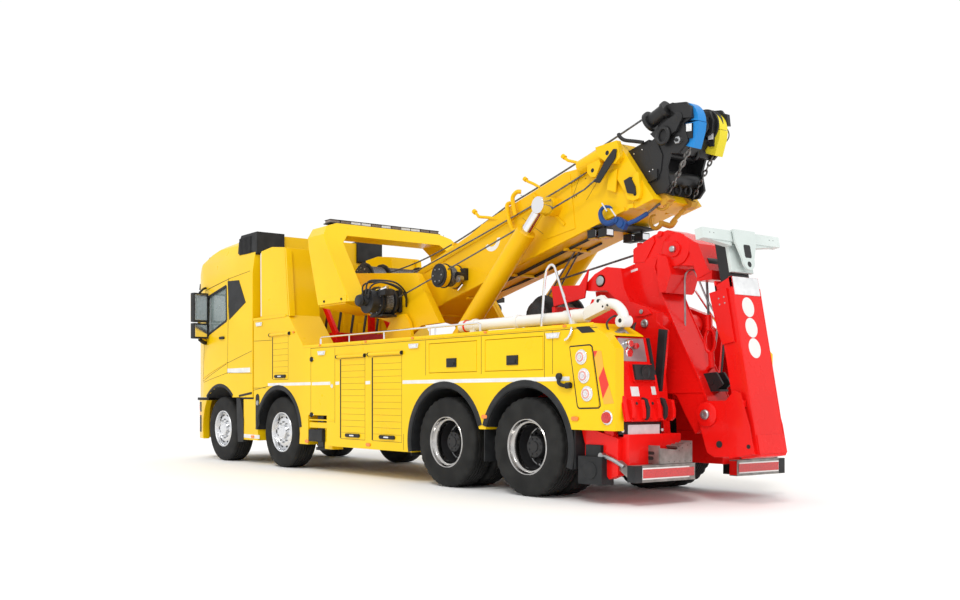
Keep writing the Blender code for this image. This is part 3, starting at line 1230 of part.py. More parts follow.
def lift_cylinders():
    """Barrels hinged on deck brackets and rods whose eyes stand beside the boom's bosses."""
    base = Vector((CYL_BASE_X, CYL_Y, CYL_BASE_Z))
    top = Vector((CYL_TOP_X, CYL_Y, CYL_TOP_Z))
    aim = (top - base).normalized()
    end = base + aim * CYL_BARREL_LENGTH
    barrel = rod(base + aim * CYL_NECK, end, CYL_RADIUS, 18)
    neck = rod(base, base + aim * (CYL_NECK + BITE), EYE_HALF_WIDTH * 0.9, 12)
    eye = rod((base.x, CYL_Y - EYE_HALF_WIDTH, base.z), (base.x, CYL_Y + EYE_HALF_WIDTH, base.z), EYE_RADIUS, 14)
    bore = rod(base + aim * (CYL_NECK + BITE * 2), end + aim * OVERRUN, ROD_RADIUS + SEAT_GAP * 2, 16)
    left = node("lift_barrel_left", "yellow", [barrel, eye, neck], [bore], pivot=base)
    other_side(left, "lift_barrel_right")
    shaft = rod(base + aim * (CYL_NECK + BITE * 3), top, ROD_RADIUS, 16)
    tip = rod((top.x, CYL_Y - EYE_HALF_WIDTH, top.z), (top.x, CYL_Y + EYE_HALF_WIDTH, top.z), EYE_RADIUS * 0.9, 14)
    left = node("lift_rod_left", "chrome", [shaft, tip], pivot=base)
    other_side(left, "lift_rod_right")


def lift_arm():
    """The underlift's main arm: a tall box with its front tongue, the knee bosses and the rope head above."""
    outline = spread(ARM_SHARES, ARM_FRONT, ARM_REACH, ARM_LOW, ARM_TALL)
    solids = [prism(outline, "Y", -ARM_HALF_WIDTH, ARM_HALF_WIDTH)]
    head = [(-0.56, 2.40), (-0.54, 2.66), (-0.81, 2.774), (-0.99, 2.804), (-1.16, 2.746), (-1.37, 2.616), (-1.47, 2.383), (-1.52, 2.31),
            (-1.37, 2.256), (-1.31, 2.40), (-1.08, 2.425), (-0.98, 2.30)]
    solids.append(prism(head, "Y", -0.16, 0.16))
    reach = SLOT_HALF_WIDTH + 0.01 - SEAT_GAP
    solids.append(rod((ARM_PIVOT_X, -reach, ARM_PIVOT_Z), (ARM_PIVOT_X, reach, ARM_PIVOT_Z), 0.12, 14))
    return node("lift_arm", "red", solids, [
        block(
            (KNEE_X - 0.40, -MAST_HALF_WIDTH - FORK_THICK - SEAT_GAP, ARM_LOW - OVERRUN),
            (KNEE_X + 0.62, MAST_HALF_WIDTH + FORK_THICK + SEAT_GAP, KNEE_Z + 0.27),
        ),
        block((-0.50, -0.09, 1.40), (0.20, 0.09, 2.38)),
    ], pivot=(ARM_PIVOT_X, 0.0, ARM_PIVOT_Z))


def mast():
    """The folded underlift: a hollow box stood on end, with cheeks forward to the knee."""
    length = (MAST_HIGH - MAST_LOW) / math.cos(MAST_LEAN)
    box = mast_box(0.0, length, 0.0, MAST_THICK, -MAST_HALF_WIDTH, MAST_HALF_WIDTH)
    cheeks = []
    for side in (-1, 1):
        y_low, y_high = sorted((side * (MAST_HALF_WIDTH - BITE), side * (MAST_HALF_WIDTH + FORK_THICK)))
        outline = [(KNEE_X + 0.125, KNEE_Z - 0.02), (KNEE_X + 0.10, KNEE_Z + 0.10), (KNEE_X + 0.01, KNEE_Z + 0.135), (KNEE_X - 0.20, KNEE_Z + 0.14),
                   along_mast(0.60, 0.12), along_mast(0.02, 0.02), along_mast(0.02, MAST_THICK), (KNEE_X - 0.07, KNEE_Z - 0.42),
                   (KNEE_X + 0.01, KNEE_Z - 0.38)]
        cheeks.append(prism(outline, "Y", y_low, y_high))
    gap = RUN_GAP
    bore_v = STINGER_BACK
    bore = mast_box(
        length - STINGER_IN - OVERRUN, length + OVERRUN, bore_v - SEAT_GAP, bore_v + STINGER_THICK + gap, -STINGER_HALF_WIDTH - gap, STINGER_HALF_WIDTH + gap
    )
    return node("mast", "red", [box] + cheeks, [bore], pivot=(KNEE_X, 0.0, KNEE_Z))


MAST_LENGTH = (MAST_HIGH - MAST_LOW) / math.cos(MAST_LEAN)


def stinger_and_bar():
    """The sliding inner box and, on its rear face, the plated crossbar."""
    v = STINGER_BACK
    top = MAST_LENGTH + STINGER_UP
    inner = mast_box(MAST_LENGTH - STINGER_IN, top, v, v + STINGER_THICK, -STINGER_HALF_WIDTH, STINGER_HALF_WIDTH)
    x, z = along_mast(MAST_LENGTH + STINGER_UP - 0.30, v - SEAT_GAP)
    node("stinger", "grey", [inner], pivot=(KNEE_X, 0.0, KNEE_Z))
    plate_v = v - RUN_GAP
    inset = TBAR_THICK * 0.1
    face = mast_box(top - PLATE_TALL, top - inset, plate_v - TBAR_THICK * 0.4, plate_v, -PLATE_HALF_TOP, PLATE_HALF_TOP)
    bar = mast_box(top - TBAR_DEPTH, top, plate_v - TBAR_THICK, plate_v - inset, -TBAR_HALF_WIDTH, TBAR_HALF_WIDTH)
    boss_u = top - PLATE_TALL * 0.62
    near, far = along_mast(boss_u, v - SEAT_GAP), along_mast(boss_u, plate_v - RUN_GAP)
    boss = rod((near[0], 0.0, near[1]), (far[0], 0.0, far[1]), SPINDLE_RADIUS, 14)
    node("crossbar", "silver", [bar, face, boss], pivot=(near[0], 0.0, near[1]))


def arm_ram():
    """The cylinder between the subframe and the arm's front tongue."""
    base = Vector((RAM_BASE_X, 0.0, RAM_BASE_Z))
    top = Vector((RAM_TOP_X, 0.0, RAM_TOP_Z))
    aim = (top - base).normalized()
    barrel = rod(base, base + aim * 0.55, RAM_RADIUS, 14)
    eye = rod((base.x, -RAM_RADIUS, base.z), (base.x, RAM_RADIUS, base.z), RAM_RADIUS, 14)
    bore = rod(base + aim * 0.12, base + aim * 0.70, RAM_ROD_RADIUS + SEAT_GAP * 2, 12)
    node("arm_barrel", "black", [barrel, eye], [bore], pivot=base)
    node("arm_rod", "chrome", [rod(base + aim * 0.30, top, RAM_ROD_RADIUS, 12)], pivot=base)


def rear_fittings():
    """The drag winch ahead of the arm, and the tow bar stowed on the left body."""
    drum = turned(
        [(0.0, 0.36), (0.12, 0.36), (0.17, 0.34), (0.17, 0.22), (0.22, 0.22), (0.22, 0.19), (0.14, 0.19), (0.14, -0.19), (0.22, -0.19), (0.22, -0.22),
         (0.15, -0.22), (0.15, -0.34), (0.0, -0.34)],
        Vector((0.78, 0.0, 2.02)), WINCH_STEPS,
    )
    feet = [block((0.60, side * 0.205 - 0.02, SUB_TOP + SEAT_GAP), (0.96, side * 0.205 + 0.02, 2.00)) for side in (-1, 1)]
    base = block((0.58, -0.24, SUB_TOP + SEAT_GAP), (0.98, 0.24, SUB_TOP + 0.05))
    node("drag_winch", "black", [drum, base] + feet)
    bar = rod((TOWBAR_REAR, TOWBAR_Y, TOWBAR_Z), (TOWBAR_FRONT, TOWBAR_Y, TOWBAR_Z), TOWBAR_RADIUS, 14)
    feet = [block((x - 0.04, TOWBAR_Y - 0.06, BODY_TOP + SEAT_GAP), (x + 0.04, TOWBAR_Y + 0.06, TOWBAR_Z)) for x in (-0.45, 1.15)]
    node("tow_bar", "white", [bar] + feet)


def build():
    chassis_frame()
    engine_block()
    for number, station in ((1, AXLE_1), (2, AXLE_2)):
        front_axle(f"axle_{number}", station)
        left = knuckle(f"knuckle_{number}_left", station)
        other_side(left, f"knuckle_{number}_right")
        left = front_wheel(f"wheel_{number}_left", station)
        other_side(left, f"wheel_{number}_right")
    for number, station in ((3, AXLE_3), (4, AXLE_4)):
        left = twin_wheel(f"wheel_{number}_left", station)
        other_side(left, f"wheel_{number}_right")
    rear_bogie()
    cab_and_doors()
    grille()
    roof_deflectors()
    cab_interior()
    front_apron()
    locker_body()
    lids()
    outriggers()
    subframe()
    pedestal()
    boom()
    hoop()
    winches()
    boom_inner()
    lift_cylinders()
    lift_arm()
    mast()
    stinger_and_bar()
    arm_ram()
    rear_fittings()


build()
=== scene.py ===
"""A four-axle recovery truck: the packed model with its paint, wheels, ropes, lamps and fittings."""

# %% [markdown]
# A recovery truck lifts and tows other lorries. Its solids come packed in a frame, already at real
# size and in their places, and this lesson dresses them. Each new piece is laid out in stations:
# metres ahead of the last axle, which is easy to read off the photograph. One number, SHIFT, turns
# a station into the frame's own x, so no piece has to be moved after it is made.

# %% Setup
import json
import math

import bmesh
import bpy
import numpy as np
from mathutils import Matrix, Vector

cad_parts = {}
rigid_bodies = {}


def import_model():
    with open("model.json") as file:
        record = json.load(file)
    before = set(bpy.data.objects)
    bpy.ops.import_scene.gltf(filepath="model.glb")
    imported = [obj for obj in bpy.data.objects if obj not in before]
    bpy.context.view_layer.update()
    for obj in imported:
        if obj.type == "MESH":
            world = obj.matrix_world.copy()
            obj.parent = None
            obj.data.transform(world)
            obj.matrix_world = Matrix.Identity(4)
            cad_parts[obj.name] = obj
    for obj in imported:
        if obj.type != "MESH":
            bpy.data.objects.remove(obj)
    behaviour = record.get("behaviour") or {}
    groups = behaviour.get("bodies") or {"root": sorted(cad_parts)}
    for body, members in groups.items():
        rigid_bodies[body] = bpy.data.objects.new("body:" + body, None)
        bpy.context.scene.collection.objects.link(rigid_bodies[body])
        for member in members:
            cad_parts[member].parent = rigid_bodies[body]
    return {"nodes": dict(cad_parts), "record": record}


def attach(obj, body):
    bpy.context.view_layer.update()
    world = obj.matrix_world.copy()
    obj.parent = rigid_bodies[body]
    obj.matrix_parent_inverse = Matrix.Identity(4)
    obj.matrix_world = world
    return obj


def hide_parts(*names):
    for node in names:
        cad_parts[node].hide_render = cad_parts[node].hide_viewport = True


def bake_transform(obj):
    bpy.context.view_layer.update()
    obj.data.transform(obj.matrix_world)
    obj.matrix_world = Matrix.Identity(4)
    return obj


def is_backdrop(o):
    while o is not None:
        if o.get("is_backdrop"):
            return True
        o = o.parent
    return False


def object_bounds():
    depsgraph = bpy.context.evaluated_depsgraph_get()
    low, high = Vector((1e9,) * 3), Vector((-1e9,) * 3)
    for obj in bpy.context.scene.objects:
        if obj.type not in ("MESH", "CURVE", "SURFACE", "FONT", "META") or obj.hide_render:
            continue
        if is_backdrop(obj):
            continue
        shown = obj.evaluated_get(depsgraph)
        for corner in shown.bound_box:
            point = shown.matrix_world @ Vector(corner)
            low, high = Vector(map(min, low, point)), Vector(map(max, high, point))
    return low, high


for item in list(bpy.data.objects):
    bpy.data.objects.remove(item, do_unlink=True)
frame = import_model()
cad_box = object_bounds()
NODES = frame["nodes"]
SHIFT = -3.285  # a station's distance ahead of axle 4, plus this, is the frame's x
print("solids in the frame:", len(NODES), "in a box",
    [[round(float(n), 3) for n in corner] for corner in cad_box])

# %% [markdown]
# The photograph was taken from the left and behind, at about hip height, and upright edges are
# upright in it. A camera that is tilted makes them lean. Here the camera looks level, and its lens is
# shifted up and sideways instead, as a view camera's is, which keeps them upright.

# %% Camera
CAMERA_PLACE = (-8.064 + SHIFT, 8.773, 1.076)
CAMERA_TURN = math.radians(-123.59)
LENS_MM = 38.33
camera_data = bpy.data.cameras.new("camera")
camera = bpy.data.objects.new("camera", camera_data)
bpy.context.scene.collection.objects.link(camera)
camera.location = CAMERA_PLACE
camera.rotation_euler = (math.radians(90.0), 0.0, CAMERA_TURN)
camera_data.lens = LENS_MM
camera_data.sensor_width = 36.0
camera_data.shift_x = 0.1304
camera_data.shift_y = 0.0997
camera_data.clip_end = 200.0
bpy.context.scene.camera = camera
print("camera at", [round(n, 3) for n in CAMERA_PLACE], "with a lens of", LENS_MM, "mm")

# %% [markdown]
# The truck stands in a bright studio with hardly a shadow. A white sky gives most of that light
# from every side. One broad sun gives the floor its soft shadow, and three large discs lift the
# sides that turn away from it. Discs are chosen over small lamps because their highlights are soft.

# %% Sky and lamps
world = bpy.data.worlds.new("studio")
bpy.context.scene.world = world
world.use_nodes = True
sky = world.node_tree.nodes["Background"]
sky.inputs["Color"].default_value = (1.0, 1.0, 1.0, 1.0)
sky.inputs["Strength"].default_value = 1.02
bpy.context.scene.view_settings.view_transform = "Standard"


def lamp(name, kind, place, target, energy, size, colour=(1.0, 1.0, 1.0)):
    """A light aimed from its place at a target. size is an area's width in metres or a sun's angle in degrees."""
    data = bpy.data.lights.new(name, kind)
    data.energy = energy
    data.color = colour
    if kind == "AREA":
        data.shape = "DISK"
        data.size = size
    else:
        data.angle = math.radians(size)
    made = bpy.data.objects.new(name, data)
    made.location = place
    made.rotation_euler = (Vector(target) - Vector(place)).to_track_quat("-Z", "Y").to_euler()
    bpy.context.scene.collection.objects.link(made)


lamp("key_sun", "SUN", (-6.0, 9.0, 12.0), (0.0, 0.0, 1.0), 1.15, 14.0, (1.0, 0.98, 0.94))
lamp("side_fill", "AREA", (-9.0, 9.0, 6.0), (0.0, 0.0, 1.5), 60.0, 6.0)
lamp("rear_fill", "AREA", (-14.0, 0.0, 5.0), (-3.0, 0.0, 1.5), 60.0, 6.0)
lamp("front_fill", "AREA", (13.0, -6.0, 6.0), (2.0, 0.0, 1.5), 60.0, 6.0)
print("lights:", len(bpy.data.lights), "and the sky")

# %% [markdown]
# Nothing on a working truck is one flat colour. Paint fades a little, steel is rolled and handled,
# and rubber is dusty. Each material below starts from the plain shader, and then noise read from
# the piece's own coordinates drives its colour, its roughness or a shallow bump. Object coordinates
# are chosen so that the grain stays put on a piece when a joint moves it.

# %% Material helpers


COAT_ROUGH = 0.05


def material(name, colour, rough=0.4, metal=0.0, coat=0.0, spec=0.5):
    """A plain surface, its constants set on the shader's own sockets."""
    made = bpy.data.materials.new(name)
    made.use_nodes = True
    shader = made.node_tree.nodes["Principled BSDF"]
    shader.inputs["Base Color"].default_value = (*colour, 1.0)
    shader.inputs["Roughness"].default_value = rough
    shader.inputs["Metallic"].default_value = metal
    shader.inputs["Coat Weight"].default_value = coat
    shader.inputs["Coat Roughness"].default_value = COAT_ROUGH
    shader.inputs["Specular IOR Level"].default_value = spec
    made.diffuse_color = (*colour, 1.0)
    return made


def noise_node(made, scale, detail):
    """Cloudy noise over the piece's own coordinates, about scale clouds to a metre."""
    tree = made.node_tree
    place = tree.nodes.new("ShaderNodeTexCoord")
    noise = tree.nodes.new("ShaderNodeTexNoise")
    noise.inputs["Scale"].default_value = scale
    noise.inputs["Detail"].default_value = detail
    tree.links.new(place.outputs["Object"], noise.inputs["Vector"])
    return noise


def vary_colour(made, low, high, scale, ends=(0.35, 0.7)):
    """Blends two colours by noise: all low below the first end, all high above the second."""
    tree = made.node_tree
    noise = noise_node(made, scale, 5.0)
    ramp = tree.nodes.new("ShaderNodeValToRGB")
    ramp.color_ramp.elements[0].position = ends[0]
    ramp.color_ramp.elements[1].position = ends[1]
    ramp.color_ramp.elements[0].color = (*low, 1.0)
    ramp.color_ramp.elements[1].color = (*high, 1.0)
    tree.links.new(noise.outputs["Fac"], ramp.inputs["Fac"])
    tree.links.new(ramp.outputs["Color"], tree.nodes["Principled BSDF"].inputs["Base Color"])


def vary_rough(made, low, high, scale):
    """Lets noise carry the roughness evenly from low to high."""
    tree = made.node_tree
    noise = noise_node(made, scale, 5.0)
    span = tree.nodes.new("ShaderNodeMapRange")
    span.inputs["To Min"].default_value = low
    span.inputs["To Max"].default_value = high
    tree.links.new(noise.outputs["Fac"], span.inputs["Value"])
    tree.links.new(span.outputs["Result"], tree.nodes["Principled BSDF"].inputs["Roughness"])


def bumpy(made, scale, strength, distance=0.002):
    """Tips the shading by noise, as fine grain no deeper than distance would."""
    tree = made.node_tree
    noise = noise_node(made, scale, 3.0)
    bump = tree.nodes.new("ShaderNodeBump")
    bump.inputs["Strength"].default_value = strength
    bump.inputs["Distance"].default_value = distance
    tree.links.new(noise.outputs["Fac"], bump.inputs["Height"])
    tree.links.new(bump.outputs["Normal"], tree.nodes["Principled BSDF"].inputs["Normal"])


def painted(name, colour, dark, rough=0.28, coat=0.6):
    """Sprayed paint: two near shades in broad clouds, an uneven gloss and a faint orange peel."""
    made = material(name, colour, rough, 0.0, coat * 0.25, 0.16)
    vary_colour(made, dark, colour, 0.9, ends=(0.25, 0.6))
    vary_rough(made, rough - 0.06, rough + 0.1, 2.5)
    bumpy(made, 260.0, 0.03, 0.001)
    return made

# %% [markdown]
# The body wears a strong traffic yellow and the underlift a signal red. The boom's steel is a duller
# yellow than the panels, because thick plate is brushed or rolled. Each paint is given as a light
# and a dark shade, so one helper makes all of them.

# %% Paints
YELLOW = painted("yellow_paint", (0.86, 0.56, 0.003), (0.8, 0.49, 0.002))
YELLOW_SATIN = painted("yellow_steel_paint", (0.84, 0.5, 0.003), (0.76, 0.42, 0.002), 0.38, 0.3)
RED = painted("red_paint", (0.8, 0.008, 0.006), (0.66, 0.005, 0.004), 0.26, 0.7)
WHITE = painted("white_paint", (0.8, 0.8, 0.78), (0.66, 0.66, 0.64), 0.35, 0.3)
BLACK = material("black_paint", (0.012, 0.012, 0.013), 0.42, 0.0, 0.1, 0.35)
vary_rough(BLACK, 0.32, 0.55, 4.0)
bumpy(BLACK, 90.0, 0.06, 0.002)
print("paints:", [made.name for made in (YELLOW, YELLOW_SATIN, RED, WHITE, BLACK)])

# %% [markdown]
# Dark parts are where a render most easily looks empty. Plastic, rubber and castings are therefore
# kept just above black, and differ in gloss and grain rather than in colour. Bright metal is the
# opposite: it shows only what it reflects, so its roughness does the work.

# %% Plastic, rubber and metal
TRIM = material("black_plastic", (0.014, 0.015, 0.016), 0.55, spec=0.3)
vary_colour(TRIM, (0.009, 0.01, 0.011), (0.022, 0.023, 0.025), 6.0)
bumpy(TRIM, 400.0, 0.12, 0.001)
RUBBER = material("tyre_rubber", (0.014, 0.014, 0.014), 0.72, spec=0.25)
vary_colour(RUBBER, (0.008, 0.008, 0.008), (0.02, 0.02, 0.019), 7.0)
vary_rough(RUBBER, 0.6, 0.85, 14.0)
bumpy(RUBBER, 180.0, 0.15, 0.002)
ALLOY = material("polished_alloy", (0.72, 0.73, 0.75), 0.22, 1.0)
vary_rough(ALLOY, 0.14, 0.34, 5.0)
CHROME = material("chrome_trim", (0.8, 0.8, 0.82), 0.1, 1.0)
vary_rough(CHROME, 0.06, 0.18, 6.0)
RIM = material("wheel_chrome", (0.46, 0.45, 0.44), 0.14, 1.0)
vary_rough(RIM, 0.08, 0.24, 7.0)
MILL = material("mill_alloy", (0.26, 0.25, 0.235), 0.45, 0.7)
vary_colour(MILL, (0.18, 0.17, 0.16), (0.33, 0.32, 0.3), 9.0)
vary_rough(MILL, 0.35, 0.6, 12.0)
STEEL = material("zinc_steel", (0.42, 0.43, 0.44), 0.42, 1.0)
vary_colour(STEEL, (0.3, 0.31, 0.32), (0.5, 0.51, 0.52), 8.0)
bumpy(STEEL, 140.0, 0.1, 0.001)
CHECKER = material("chequered_alloy", (0.5, 0.51, 0.52), 0.38, 0.9)
vary_colour(CHECKER, (0.36, 0.37, 0.38), (0.56, 0.57, 0.58), 5.0)
CAST = material("dark_casting", (0.02, 0.02, 0.022), 0.5, 0.2, spec=0.35)
vary_colour(CAST, (0.012, 0.012, 0.014), (0.034, 0.034, 0.036), 9.0)
bumpy(CAST, 60.0, 0.2, 0.003)
ROPE = material("wire_rope", (0.13, 0.13, 0.135), 0.5, 0.7)
vary_colour(ROPE, (0.06, 0.06, 0.065), (0.24, 0.24, 0.24), 60.0)
CHAIN = material("chain_steel", (0.16, 0.155, 0.15), 0.45, 0.9)
vary_colour(CHAIN, (0.03, 0.028, 0.026), (0.3, 0.29, 0.28), 25.0)
HOSE = material("hose_rubber", (0.015, 0.015, 0.016), 0.5)
bumpy(HOSE, 300.0, 0.1, 0.001)
print("plastic, rubber and metal:",
    [made.name for made in (TRIM, RUBBER, ALLOY, CHROME, RIM, MILL, STEEL, CHECKER)])
print("castings and lines:", [made.name for made in (CAST, ROPE, CHAIN, HOSE)])

# %% [markdown]
# Rigging is painted in bright codes so that a load's left and right line are not confused. Seams and
# gaps have materials of their own, both painted shade: a seam on yellow paint is a line of yellow in
# painted shade, not a black one, and black is kept as the painted shade of openings that one can look into.

# %% Rigging paint, seams and stripes
BLUE = painted("blue_paint", (0.02, 0.24, 0.62), (0.014, 0.17, 0.48), 0.34, 0.3)
LEMON = painted("lemon_paint", (0.78, 0.66, 0.035), (0.66, 0.54, 0.025), 0.4, 0.2)
HOOK = painted("hook_paint", (0.55, 0.3, 0.035), (0.35, 0.18, 0.02), 0.45, 0.2)
BLUE_HOOK = painted("blue_steel", (0.02, 0.07, 0.24), (0.01, 0.04, 0.14), 0.42, 0.2)
GREYBAR = painted("grey_paint", (0.62, 0.68, 0.66), (0.5, 0.56, 0.54), 0.4, 0.2)
# Seam strips are dark yellow-brown: painted shade, as in a narrow gap between yellow panels.
SEAM_SHADOW = material("seam_painted_shade", (0.16, 0.1, 0.006), 0.75)
vary_colour(SEAM_SHADOW, (0.1, 0.062, 0.004), (0.2, 0.125, 0.008), 8.0)
# Openings and holes get a flat near-black: painted shade, where light does not reach inside.
OPENING_SHADOW = material("opening_painted_shade", (0.012, 0.012, 0.012), 0.8)
vary_rough(OPENING_SHADOW, 0.7, 0.9, 10.0)
STRIPE = material("white_stripe", (0.78, 0.78, 0.76), 0.35)
vary_colour(STRIPE, (0.66, 0.66, 0.64), (0.82, 0.82, 0.8), 4.0)
print("rigging, seams and stripes:",
    [made.name for made in (BLUE, LEMON, HOOK, BLUE_HOOK, GREYBAR, SEAM_SHADOW, OPENING_SHADOW, STRIPE)])

# %% [markdown]
# A lamp's lens is a moulded grid that breaks up the light, and fine noise at a centimetre's scale
# gives the same broken look without a grid of its own. Window glass is thin and dark from outside,
# so it is a smooth surface that is only partly see-through, and the seats show faintly behind it. Its
# colour turns paler in broad clouds, a painted reflection of the sky.

# %% Lenses, cloth and glass
ORANGE = material("orange_lens", (0.9, 0.22, 0.015), 0.15, 0.0, 0.5)
vary_colour(ORANGE, (0.75, 0.15, 0.01), (0.95, 0.28, 0.02), 90.0)
LENS_RED = material("red_lens", (0.55, 0.01, 0.012), 0.15, 0.0, 0.5)
vary_colour(LENS_RED, (0.4, 0.006, 0.008), (0.68, 0.02, 0.02), 90.0)
ROSE = material("rose_lens", (0.72, 0.3, 0.26), 0.15, 0.0, 0.5)
vary_colour(ROSE, (0.62, 0.22, 0.19), (0.8, 0.4, 0.35), 90.0)
LENS = material("clear_lens", (0.74, 0.75, 0.76), 0.1, 0.0, 0.6)
vary_colour(LENS, (0.6, 0.61, 0.62), (0.84, 0.85, 0.86), 70.0)
SMOKE = material("smoked_lens", (0.16, 0.12, 0.09), 0.12, 0.0, 0.6)
vary_colour(SMOKE, (0.1, 0.07, 0.05), (0.26, 0.19, 0.14), 60.0)
BEACON = material("beacon_lens", (0.8, 0.32, 0.03), 0.12, 0.0, 0.6)
vary_colour(BEACON, (0.62, 0.22, 0.02), (0.92, 0.42, 0.05), 30.0)
CLOTH = material("seat_cloth", (0.045, 0.047, 0.052), 0.85)
vary_colour(CLOTH, (0.03, 0.032, 0.036), (0.07, 0.072, 0.078), 40.0)
bumpy(CLOTH, 500.0, 0.3, 0.001)
PLATE = material("blank_plate", (0.72, 0.73, 0.74), 0.3)
vary_colour(PLATE, (0.62, 0.63, 0.64), (0.76, 0.77, 0.78), 12.0)
# Near-black for the black mesh and dark fittings, and also painted shade in recesses and inside rings.
BLACK_MESH_AND_SHADE = material("black_mesh_and_painted_shade", (0.01, 0.01, 0.011), 0.65)
bumpy(BLACK_MESH_AND_SHADE, 220.0, 0.35, 0.003)
GLASS = material("window_glass", (0.2, 0.26, 0.26), 0.04, 0.0, 0.0, 0.8)
# The glass's colour blends by noise from dark to pale grey-green: the pale clouds are a painted reflection of the
# sky.
vary_colour(GLASS, (0.1, 0.14, 0.14), (0.4, 0.5, 0.49), 0.55, ends=(0.3, 0.7))
shader = GLASS.node_tree.nodes["Principled BSDF"]
shader.inputs["Alpha"].default_value = 0.62
GLASS.blend_method = "BLEND"
vary_rough(GLASS, 0.02, 0.06, 1.2)
print("lenses:", [made.name for made in (ORANGE, LENS_RED, ROSE, LENS, SMOKE, BEACON)], "and", GLASS.name)

# %% [markdown]
# The tail carries reflective film with slanting red and orange bands. It could be cut from many
# small strips. A diagonal wave over the piece's own coordinates, read through a ramp that jumps from
# one colour to the other, gives the bands on one plain piece instead.

# %% Hatched film


def hatched():
    """Orange and red slanting bands: a wave along the diagonal, cut in two at half its height."""
    made = material("hatched_film", (0.9, 0.25, 0.03), 0.35)
    tree = made.node_tree
    place = tree.nodes.new("ShaderNodeTexCoord")
    wave = tree.nodes.new("ShaderNodeTexWave")
    wave.bands_direction = "DIAGONAL"
    wave.inputs["Scale"].default_value = 0.62
    mapping = tree.nodes.new("ShaderNodeMapping")
    mapping.inputs["Scale"].default_value = (3.0, 0.0, 1.7)
    ramp = tree.nodes.new("ShaderNodeValToRGB")
    ramp.color_ramp.interpolation = "CONSTANT"
    ramp.color_ramp.elements[0].color = (0.72, 0.03, 0.015, 1.0)
    ramp.color_ramp.elements[1].position = 0.5
    ramp.color_ramp.elements[1].color = (0.92, 0.4, 0.03, 1.0)
    tree.links.new(place.outputs["Object"], mapping.inputs["Vector"])
    tree.links.new(mapping.outputs["Vector"], wave.inputs["Vector"])
    tree.links.new(wave.outputs["Fac"], ramp.inputs["Fac"])
    tree.links.new(ramp.outputs["Color"], tree.nodes["Principled BSDF"].inputs["Base Color"])
    return made


HATCH = hatched()
print("film:", HATCH.name)

# %% Floor


def paint(node_name, made):
    """Gives one of the model's own solids its material."""
    target = NODES[node_name]
    target.data.materials.clear()
    target.data.materials.append(made)


def floor(reach=60.0):
    """A pale sheet that runs out past everything the camera sees."""
    made = material("studio_floor", (0.92, 0.92, 0.92), 0.7)
    mesh = bpy.data.meshes.new("floor")
    mesh.from_pydata([(-reach, -reach, 0), (reach, -reach, 0), (reach, reach, 0), (-reach, reach, 0)], [],
        [(0, 1, 2, 3)])
    mesh.materials.append(made)
    sheet = bpy.data.objects.new("floor", mesh)
    bpy.context.scene.collection.objects.link(sheet)
    sheet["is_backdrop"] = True


floor()
print("floor laid")

# %% [markdown]
# Almost everything bolted to a truck is a bar, a plate, a tube or a turned part. All four are one
# idea: a cross-section carried along a path. Shape gathers such solids for one piece, each worked
# out as a whole grid of points, so a bracket with its bolts needs no modelling by hand and no
# Boolean cuts. Ends and poles are closed, because a closed solid shades and exports cleanly.

# %% Shapes


